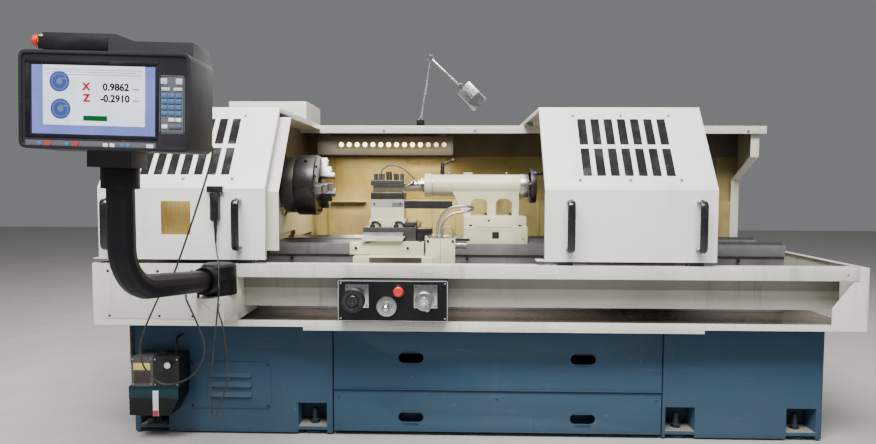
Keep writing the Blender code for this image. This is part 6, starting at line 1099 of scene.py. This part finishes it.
def pendant_details():
    screen_details()
    keypad_details()
    plates("screen_surround", "screen_bezel", FACE_Y, 1.6, 0.5, (187.5, -9.5, 413, 11),
           (187.5, 215.5, 413, 11), (-12.0, 103, 14, 214), (391.0, 103, 6, 214))
    plate, vents = bmesh.new(), bmesh.new()
    add_box(plate, (-1.4, -1.18, -1.4068, -1.405, 1.5865, 1.6265), 0.0006)
    pendant_piece("bare_name_panel", plate, "screen_bezel")
    for k in range(9):
        add_box(vents, (-1.3 + 0.03 * k, -1.285 + 0.03 * k, -1.2402, -1.2385, 1.32, 1.44), 0.0004)
    pendant_piece("pendant_vents", vents, "black_moulding")
    for corner in itertools.product((-1.4265, -0.9115), (FACE_Y - 0.0018,), (1.569, 1.2835)):
        place = PENDANT_ROLL @ (Vector(corner) - PENDANT_TOP) + PENDANT_TOP
        fasten("pendant", "dome_screw", "black_oxide", "black_plastic", 0.0035, FRONT, place)
    turnings("pendant_gland", "black_moulding", "pendant", "black_plastic", 20, BACK,
             looped((-0.001, 0.0115), (0.006, 0.0115), (0.007, 0.0085), (0.0105, 0.0085), (0.0105, 0.0042),
                    (0.002, 0.0042)), (-0.96, -1.2385, 1.36))


# ---- Hoods ----

HANDLE_BAR = ((-0.598, 0.8925), (-0.634, 0.8905), (-0.6425, 0.896), (-0.646, 0.908), (-0.646, 1.082),
              (-0.6425, 1.094), (-0.634, 1.0995), (-0.598, 1.0975))
HANDLE_DEPTH, HANDLE_WIDTH = 0.0075, 0.017
SLOPE_TOP, SLOPE, SLOPE_OUTWARD = Vector((0.0, -0.33, 1.535)), Vector((0.0, 0.26, 0.382)), (0.0, -0.382, 0.26)


def add_hood_handle(shape, x):
    """A rounded bridge handle, flattened across."""
    before = set(shape.verts)
    add_tube(shape, [(x, y, z) for y, z in HANDLE_BAR], HANDLE_DEPTH, 20)
    for vert in set(shape.verts) - before:
        share = (vert.co.x - x) / HANDLE_DEPTH
        vert.co.x = x + HANDLE_WIDTH * math.copysign(abs(share) ** 0.6, share)


def hood_details():
    """The window screws on each slope, the rounded handles, the shoes' lips and the bare brass plate."""
    for body, left, handles in (("left_door", -1.663, (-1.609, -1.036)),
                                ("right_door", 0.303, (0.408, 0.966))):
        for down, along in itertools.product((0.112, 0.891), (0.152, 0.371, 0.59)):
            place = Vector((left + along, 0.0, 0.0)) + SLOPE_TOP - SLOPE * down
            fasten(body, "dome_screw", "zinc_screw", "white_paint", 0.008, SLOPE_OUTWARD, place)
        bars = bmesh.new()
        for x in handles:
            add_hood_handle(bars, x)
        piece_of(body + "_handles", bars, "handle_moulding", body, 50.0)
        turnings(body + "_handle_collars", "turned_steel", body, "black_plastic", 24, FRONT,
                 closed((0, 0.015), (0.022, 0.015), (0.024, 0.013)),
                 *itertools.product(handles, (-0.59,), (0.8925, 1.0975)))
        boxes(body + "_bottom_lip", "hood_enamel", body, "white_paint", 0.0008,
              (max(left - 0.034, -1.69), left + 0.002, -0.5885, -0.515, 0.84, 0.8432))
    boxes("brass_plate", "brass_plate", "left_door", "white_paint", 0.0004,
          (-1.382, -1.251, -0.5912, -0.59, 0.951, 1.097))
    turnings("handset_relief", "rubber_jacket", "left_door", "black_plastic", 18, (0, 0, -1),
             closed((0, 0.0055), (0.006, 0.0055), (0.01, 0.0045), (0.016, 0.0045), (0.02, 0.0038),
                    (0.02, 0.0032), (0.004, 0.0032)), (-1.135, -0.6053, 0.9355))
    face = bmesh.new()
    add_box(face, (-1.146, -1.124, -0.6212, -0.62, 1.07, 1.112), 0.0005)
    add_turned(face, (-1.135, -0.62, 1.045), FRONT,
               [(0, 0.006), (0.0018, 0.006), (0.0024, 0.005), (0.0024, 0)], 20)
    piece_of("handset_keys", face, "screen_bezel", "left_door")


# ---- Light bar and guard ----

LED_PITCH, LED_RADIUS, LED_FLATNESS = 0.0466, 0.0135, 0.45


def light_bar_details():
    """The row of domed lamps on the light bar, the last three of them dimmer."""
    for name, finish, first, count in (("lit_leds", "warm_led", -0.76, 11),
                                       ("end_leds", "dim_led", -0.2474, 3)):
        dome = bmesh.new()
        bmesh.ops.create_uvsphere(dome, u_segments=20, v_segments=10, radius=LED_RADIUS)
        bmesh.ops.scale(dome, vec=(1.0, LED_FLATNESS, 1.0), verts=dome.verts)
        repeated(name, dome, finish, "root", count, (first, 0.4325, 1.405),
                 (LED_PITCH, 0.0, 0.0), smooth=35.0)


def guard_details():
    """The seams and ledge of the splash panel, and the shelf bracket."""
    seams = [(-0.37, 0.329, 0.6772, 0.68, 1.085, 1.312), (0.42, 1.119, 0.6772, 0.68, 1.085, 1.312)]
    seams += [(x, x + 0.022, 0.6768, 0.68, 1.075, 1.336) for x in (-0.905, -0.396, 0.375, 1.18)]
    seams += [(x, x + 0.018, 0.6552, 0.658, 0.86, 1.066)
              for x in (-0.972, -0.89, -0.62, -0.1, 0.42, 0.94, 1.46)]
    trim = bmesh.new()
    add_box(trim, (-0.985, 1.65, 0.6735, 0.68, 1.336, 1.345), 0.002)
    for seam in seams:
        add_box(trim, seam, 0.0012)
    piece_of("splash_panel_trim", trim, "splash_enamel", "root")
    boxes("splash_shelf", "splash_enamel", "root", "splash_paint", 0.0015,
          (-0.862, -0.64, 0.625, 0.658, 1.06, 1.068))


# ---- Control panel ----

PANEL_FRONT, PANEL_LEFT, PANEL_RIGHT = -0.66, -0.588, -0.118
PANEL_LOW, PANEL_HIGH, EDGING = 0.586, 0.7605, 0.0022
# Each hand wheel: its hub's name, body, place, radius, finish and slot, then its marks' name, radii, finish
WHEELS = (
    ("x_wheel_hub", "x_handwheel", -0.212, 0.018, "bright_chrome", "steel", "dial_marks", 0.024,
     0.033, "black_oxide"),
    ("z_wheel_hub", "z_handwheel", -0.506, 0.022, "handle_moulding", "black_plastic", "z_dial_marks", 0.029,
     0.039, "key_frame"),
)


def control_panel_details():
    """Edging, screws round the joystick, the wheels' hubs and dials, and the stop button's collar."""
    depth = (PANEL_FRONT - 0.001, PANEL_FRONT)
    boxes("panel_edging", "key_light", "carriage", "black_paint", 0.0003,
          (PANEL_LEFT, PANEL_RIGHT, *depth, PANEL_LOW, PANEL_LOW + EDGING),
          (PANEL_LEFT, PANEL_RIGHT, *depth, PANEL_HIGH - EDGING, PANEL_HIGH),
          (PANEL_LEFT, PANEL_LEFT + EDGING, *depth, PANEL_LOW, PANEL_HIGH),
          (PANEL_RIGHT - EDGING, PANEL_RIGHT, *depth, PANEL_LOW, PANEL_HIGH))
    for a in (0.52, 2.62, 4.71):
        fasten("carriage", "dome_screw", "black_oxide", "steel", 0.0034, FRONT,
               (-0.379 + 0.033 * math.sin(a), PANEL_FRONT - 0.004, 0.65 + 0.033 * math.cos(a)))
    for hub, body, x, radius, finish, slot, marks, inner, outer, ink in WHEELS:
        turnings(hub, finish, body, slot, 32, FRONT,
                 closed((0, radius), (0.004, radius), (0.0052, radius * 0.93), (0.0052, radius * 0.45),
                        (0.003, radius * 0.4)), (x, PANEL_FRONT - 0.1278, 0.695))
        dial_ticks(marks, (x, PANEL_FRONT - 0.1286, 0.695), inner, outer, 12, ink, body)
    turnings("stop_collar", "black_moulding", "carriage", "black_paint", 32, FRONT,
             looped((0, 0.0165), (0, 0.027), (0.0028, 0.027), (0.0034, 0.0262), (0.0034, 0.0165)),
             (-0.327, PANEL_FRONT, 0.717))


# ---- Carriage, tool post and tailstock ----

HOOK_BEND = ((-0.004, 0, 0.022), (0.012, -0.004, 0.026), (0.026, -0.008, 0.024), (0.036, -0.01, 0.014),
             (0.04, -0.011, 0.004))
SHEET_ENDS = ((-0.3005, 0.94), (-0.336, 0.929), (-0.379, 0.906))
SHEET_X, SHEET_THICKNESS = (-0.528, -0.336), 0.0022


def hook_lever(shape, x):
    """A small clamp lever on the slide's front edge: a post, and a bar that hooks back over it."""
    base = Vector((x, -0.284, 0.966))
    add_turned(shape, base, UP,
               closed((0, 0.013), (0.01, 0.013), (0.013, 0.01), (0.013, 0.007), (0.026, 0.007),
                      (0.028, 0.005)), 20)
    add_tube(shape, [base + Vector(p) for p in HOOK_BEND], lambda t: 0.0062 - 0.0014 * t, 10)


def bent_sheet():
    """The sheet that hangs over the slide's front edge, bent once."""
    shape = bmesh.new()
    for a, b in zip(SHEET_ENDS, SHEET_ENDS[1:]):
        a, b = Vector((0.0, *a)), Vector((0.0, *b))
        across = (b - a).normalized().cross(Vector(RIGHT)) * SHEET_THICKNESS
        rows = [[shape.verts.new((x, p.y, p.z)) for x in SHEET_X] for p in (a, b, b + across, a + across)]
        for p, q in zip(rows, rows[1:] + rows[:1]):
            shape.faces.new([p[0], p[1], q[1], q[0]])
        shape.faces.new([row[0] for row in rows])
        shape.faces.new([row[1] for row in reversed(rows)])
    bmesh.ops.recalc_face_normals(shape, faces=shape.faces)
    return shape


def carriage_details():
    levers = bmesh.new()
    for x in (-0.486, -0.372):
        hook_lever(levers, x)
    piece_of("clamp_hooks", levers, "black_oxide", "cross_slide")
    piece_of("slide_apron_sheet", bent_sheet(), "milled_steel", "cross_slide")
    boxes("slide_bellows", "bellows_rubber", "cross_slide", "steel", 0.0015,
          *[(-0.331, -0.279, -0.292 + 0.026 * k, -0.27 + 0.026 * k, 0.9662, 0.99 - 0.0012 * k)
            for k in range(7)])
    boxes("side_box_seam", "black_oxide", "carriage", "cream_paint", 0.0,
          (-0.1558, -0.1542, -0.4404, -0.44, 0.793, 0.922))
    boxes("saddle_wing", "casting_cream", "carriage", "cream_paint", 0.0015,
          (-0.585, -0.4905, -0.362, -0.295, 0.84, 0.896), (-0.56, -0.4905, -0.43, -0.363, 0.8, 0.838))
    # A thin dark plate on the apron's top, painted shade for the recess under the saddle
    boxes("apron_shadow_gap", "oil_and_shade_tray", "carriage", "cream_paint", 0.0,
          (-0.482, -0.24, -0.4508, -0.45, 0.806, 0.8375))
    cover = bmesh.new()
    add_box(cover, (-0.2725, -0.198, -0.296, -0.18, 0.9265, 0.96), 0.002)
    add_box(cover, (-0.2725, -0.237, -0.296, -0.18, 0.9005, 0.93), 0.002)
    add_box(cover, (-0.0865, -0.018, -0.39, -0.365, 0.91, 0.92), 0.0015)
    piece_of("slide_end_cover", cover, "black_moulding", "carriage")
    boxes("way_wipers", "rubber_jacket", "carriage", "cream_paint", 0.001,
          *[(x, x + 0.007, y, y + 0.085, 0.882, 0.897) for y in (-0.197, 0.112) for x in (-0.236, -0.496)])
    insert = bmesh.new()
    add_box(insert, (-0.266, -0.2535, -0.2715, -0.26, 1.1605, 1.166), 0.0006, Matrix.Rotation(0.25, 3, "Z"),
            (-0.25975, -0.26575, 1.16325))
    piece_of("cutting_insert", insert, "brass_plate", "cross_slide")
    boxes("riser_plate", "zinc_screw", "cross_slide", "steel", 0.0006,
          (-0.392, -0.34, -0.2822, -0.28, 1.066, 1.09))


def tailstock_details():
    # The black plate stands for the socket's recess and is painted shade; the thin strip is a dark seam
    boxes("socket_shade_and_seam", "black_oxide", "tailstock", "cream_paint", 0.0,
          (0.0968, 0.1292, -0.2004, -0.2, 0.9063, 0.9387), (0.01, 0.195, -0.2003, -0.2, 0.9632, 0.9662),
          smooth=0)
    turnings("barrel_rings", "turned_steel", "tailstock", "cream_paint", 48, RIGHT,
             looped((0, 0.0565), (0, 0.0581), (0.0016, 0.0584), (0.0032, 0.0581), (0.0032, 0.0565)),
             (-0.205, 0, SPINDLE_HEIGHT), (0.2445, 0, SPINDLE_HEIGHT))
    turnings("oil_cups", "bright_chrome", "tailstock", "cream_paint", 18, UP,
             closed((0, 0.008), (0.004, 0.008), (0.005, 0.006), (0.01, 0.006), (0.012, 0.003)),
             (-0.12, 0, SPINDLE_HEIGHT + 0.0565), (0.18, 0, SPINDLE_HEIGHT + 0.0565))
    boxes("tailstock_scale", "black_oxide", "tailstock", "cream_paint", 0.0,
          *[(-0.0435 + 0.0052 * k, -0.0429 + 0.0052 * k, -0.2003, -0.2, 0.946, 0.952 if k % 5 else 0.956)
            for k in range(26)], smooth=0)
    turnings("tailstock_wheel_cap", "bright_chrome", "tailstock_wheel", "steel", 28, RIGHT,
             closed((0, 0.017), (0.003, 0.017), (0.004, 0.015)), (0.3285, 0, SPINDLE_HEIGHT))


def around_spindle(x, radius, angle):
    return Vector((x, radius * math.cos(angle), SPINDLE_HEIGHT + radius * math.sin(angle)))


def chuck_details():
    """Face grooves between the jaws, face screws and the square key holes in the rim."""
    rings = bmesh.new()
    for radius, jaw in itertools.product((0.062, 0.092, 0.122), (100, 220, 340)):
        gap = math.degrees(0.03 / radius)
        sweep = [math.radians(jaw + gap + (120 - 2 * gap) * k / 24) for k in range(25)]
        add_tube(rings, [around_spindle(-0.7998, radius, a) for a in sweep], 0.0011, 8)
    piece_of("chuck_rings", rings, "turned_steel", "spindle")
    for degrees in (40, 160, 280):
        angle = math.radians(degrees)
        fasten("spindle", "cap_screw", "black_oxide", "dark_iron", 0.0078, RIGHT,
               *[around_spindle(-0.8, 0.136, angle + spread) for spread in (-0.42, 0.0, 0.42)])
        rim, way = bmesh.new(), (0, math.cos(angle), math.sin(angle))
        # The flat black disc inside each rim is painted shade for the hole's depth
        for profile in (looped((0, 0.0085), (0, 0.0125), (0.0014, 0.0125), (0.0014, 0.0085)),
                        closed((0, 0.0086), (0.0008, 0.0086))):
            add_turned(rim, Vector((-0.85, 0, SPINDLE_HEIGHT)) + Vector(way) * 0.157, way, profile, 24)
        piece_of(f"chuck_key_hole_{degrees}", rim, "black_oxide", "spindle")


# ---- Base, tray, lubricator and the things at the back ----


def base_details():
    """Shadows below the louvres, lips on the grips, the lead screw's thread and the hose's corrugations."""
    # Thin dark strips just under each louvre: painted shadow
    shade = bmesh.new()
    add_box(shade, (-0.0995, 0.0995, -0.0005, 0.0, -0.0075, -0.0005))
    repeated("louvre_shadow_strips", shade, "black_oxide", "root", 3, (-1.1345, -0.4481, 0.2734),
             (0.0, 0.0, -0.047), smooth=0)
    for body, z in (("chip_drawer", 0.3699), ("coolant_tank", 0.0902)):
        boxes(body + "_grip_lips", "base_blue", body, "blue_paint", 0.001,
              *[(x - 0.037, x + 0.037, -0.4515, -0.449, z + low, z + high) for x in (-0.2892, 0.5057)
                for low, high in ((-0.0275, -0.0232), (0.0232, 0.0262))])
    values = {"Metal": FINISHES["ground_steel"], "Start": tuple(Vector(THREAD_START) + SHIFT)}
    grown("lead_screw_thread", thread_tree(), bpy.data.meshes.new("thread_start"), "root",
          values, 60.0)
    ring = bmesh.new()
    add_turned(ring, (0, 0, 0), UP, looped((0, 0.0095), (0.002, 0.0117), (0.005, 0.0117), (0.007, 0.0095)),
               16)
    repeated("hose_corrugations", ring, "bellows_rubber", "root", 17, (-1.565, -0.505, 0.352),
             (0.0, 0.0, 0.0112))


def lubricator_details():
    """Gauge, plates, sight strip, cap, band and vents of the way lubricator."""
    turnings("gauge_case", "black_moulding", "root", "steel", 32, FRONT,
             closed((0, 0.019), (0.012, 0.019), (0.014, 0.0175), (0.014, 0.0155), (0.0115, 0.015)),
             (-1.374, -0.565, 0.359))
    turnings("gauge_face", "key_white", "root", "steel", 32, FRONT, closed((0, 0.0148), (0.0006, 0.0148)),
             (-1.374, -0.5766, 0.359))
    dial_ticks("gauge_marks", (-1.374, -0.5772, 0.359), 0.01, 0.0136, 4, "black_oxide", "root",
               0.0007)
    needle = bmesh.new()
    add_box(needle, (-1.3747, -1.3733, -0.578, -0.5774, 0.359, 0.3705), 0.0, Matrix.Rotation(-0.7, 3, "Y"),
            (-1.374, -0.577, 0.359))
    piece_of("gauge_needle", needle, "black_oxide", "root", 0)
    for name, finish, slot, soften, box in (
            ("bare_label_plate", "label_yellow", "steel", 0.0004,
             (-1.533, -1.456, -0.566, -0.565, 0.334, 0.366)),
            ("sight_strip", "key_white", "teal_plastic", 0.0008,
             (-1.447, -1.421, -0.568, -0.565, 0.1245, 0.24)),
            ("sight_low_mark", "key_red", "teal_plastic", 0.0003,
             (-1.4455, -1.4225, -0.569, -0.568, 0.126, 0.15)),
            ("tank_band", "teal_band", "teal_plastic", 0.0005,
             (-1.5575, -1.331, -0.5645, -0.563, 0.205, 0.2575))):
        boxes(name, finish, "root", slot, soften, box)
    turnings("pump_cap", "black_moulding", "root", "steel", 24, UP,
             closed((0, 0.017), (0.012, 0.017), (0.014, 0.014)), (-1.41, -0.52, 0.392))
    for name, finish, half, proud, high, soften, start, step in (
            ("pump_ribs", "black_moulding", 0.046, 0.0012, 0.0035, 0.0005, (-1.38, -0.565, 0.276), 0.01),
            ("cover_vents", "brown_steel", 0.037, 0.0011, 0.0045, 0.0004, (-1.495, -0.5645, 0.276), 0.0105)):
        bar = bmesh.new()
        add_box(bar, (-half, half, -proud, 0.0, 0.0, high), soften)
        repeated(name, bar, finish, "root", 5, start, (0.0, 0.0, step))


def lamp_details():
    """Cooling fins on the lamp's head, which is turned 45 degrees about the knee."""
    turn = Matrix.Rotation(math.radians(-45), 3, "Y")
    fin = bmesh.new()
    add_box(fin, (-0.0488, 0.0488, -0.0488, 0.0488, -0.03, -0.0275), 0.0006, turn)
    repeated("lamp_fins", fin, "bright_chrome", "lamp_head", 7, (-0.06, 0.3554, 1.735),
             turn @ Vector((0.0, 0.0, -0.011)))


def cabinet_details():
    """Hinges, latches and vents of the electrical cabinet's door, and the folds behind the splash panel."""
    hinges = bmesh.new()
    for z in (0.72, 1.05, 1.38):
        add_turned(hinges, (-1.5015, 1.0735, z), UP, closed((0, 0.006), (0.06, 0.006)), 16)
    for z in (0.8, 1.3):
        add_turned(hinges, (-1.072, 1.0755, z), BACK, closed((0, 0.013), (0.003, 0.013), (0.004, 0.011)), 24)
    piece_of("cabinet_hinges", hinges, "turned_steel", "root")
    boxes("rear_folds", "cream_enamel", "root", "splash_paint", 0.002,
          *[(x, x + 0.03, 0.7, 0.706, 0.84, 1.5) for x in (-0.99, -0.455, 0.08, 0.615, 1.15, 1.63)],
          (-0.99, 1.66, 0.7, 0.706, 0.81, 0.834))
    vents = bmesh.new()
    for low in (0.0, 0.62):
        add_box(vents, (-0.09, 0.09, 0.0, 0.0013, low, low + 0.0075), 0.0006)
    repeated("cabinet_vents", vents, "black_moulding", "root", 8, (-1.27, 1.0755, 0.66),
             (0.0, 0.0, 0.02))


# ---- Floor and light ----

# Place, what it faces, width, height and watts of each light
LIGHTS = {
    "overhead": ((-0.4, 0.4, 4.6), (0.0, 0.3, 0.8), 6.0, 2.4, 230.0),
    "high_front": ((-0.6, -3.7, 5.6), (0.0, -0.2, 0.7), 5.0, 2.2, 900.0),
    "front_left": ((-3.6, -4.2, 3.4), (-0.2, 0.0, 0.9), 2.6, 2.2, 20.0),
    "front_right": ((3.8, -4.4, 3.2), (0.3, 0.0, 0.8), 2.4, 2.2, 14.0),
    "under_bar": ((-0.46, 0.62, 1.335), (-0.46, 0.62, 0.9), 0.62, 0.05, 8.0, (1.0, 0.8, 0.42)),
    "rear": ((0.5, 4.6, 3.2), (0.0, 0.2, 1.0), 4.0, 1.6, 90.0),
}
WORLD_COLOUR, WORLD_STRENGTH, FLOOR_HALF = (0.8, 0.81, 0.83, 1), 0.24, 14.0


def shop_floor():
    g, shader = new_finish("pale_floor")
    plain = g.stretched()
    tone = g.noise(plain, 1.3, 6.0, 0.6)
    g.wire(shader, Base_Color=g.mix(tone, (0.38, 0.37, 0.355, 1), (0.47, 0.46, 0.44, 1)),
           Roughness=g.ramp(g.noise(plain, 6.0, 4.0), 0.3, 0.7, 0.45, 0.62),
           Normal=g.relief(g.noise(plain, 130.0, 3.0), 0.2, 0.001))
    shape = bmesh.new()
    bmesh.ops.create_grid(shape, x_segments=2, y_segments=2, size=FLOOR_HALF)
    mesh = as_mesh("floor", shape)
    mesh.materials.append(FINISHES["pale_floor"])
    floor = bpy.data.objects.new("floor", mesh)
    bpy.context.scene.collection.objects.link(floor)


def softbox(name, place, target, width, height, watts, colour=(1.0, 1.0, 1.0)):
    data = bpy.data.lights.new(name, "AREA")
    data.shape = "RECTANGLE"
    data.size, data.size_y = width, height
    data.energy = watts
    data.color = colour
    lamp = bpy.data.objects.new(name, data)
    lamp.location = place
    lamp.rotation_euler = (Vector(target) - Vector(place)).to_track_quat("-Z", "Y").to_euler()
    bpy.context.scene.collection.objects.link(lamp)


def studio_light():
    world = bpy.data.worlds.new("studio")
    world.use_nodes = True
    background = world.node_tree.nodes["Background"].inputs
    background["Color"].default_value = WORLD_COLOUR
    background["Strength"].default_value = WORLD_STRENGTH
    bpy.context.scene.world = world
    for name, values in LIGHTS.items():
        softbox(name, *values)


# ---- The scene ----

photo_camera()
make_finishes()
make_cords()
dress_nodes()
for details in (pendant_details, hood_details, light_bar_details, guard_details, control_panel_details,
                carriage_details, tailstock_details, chuck_details, base_details, lubricator_details,
                lamp_details, cabinet_details):
    details()
make_fasteners()
shop_floor()
studio_light()
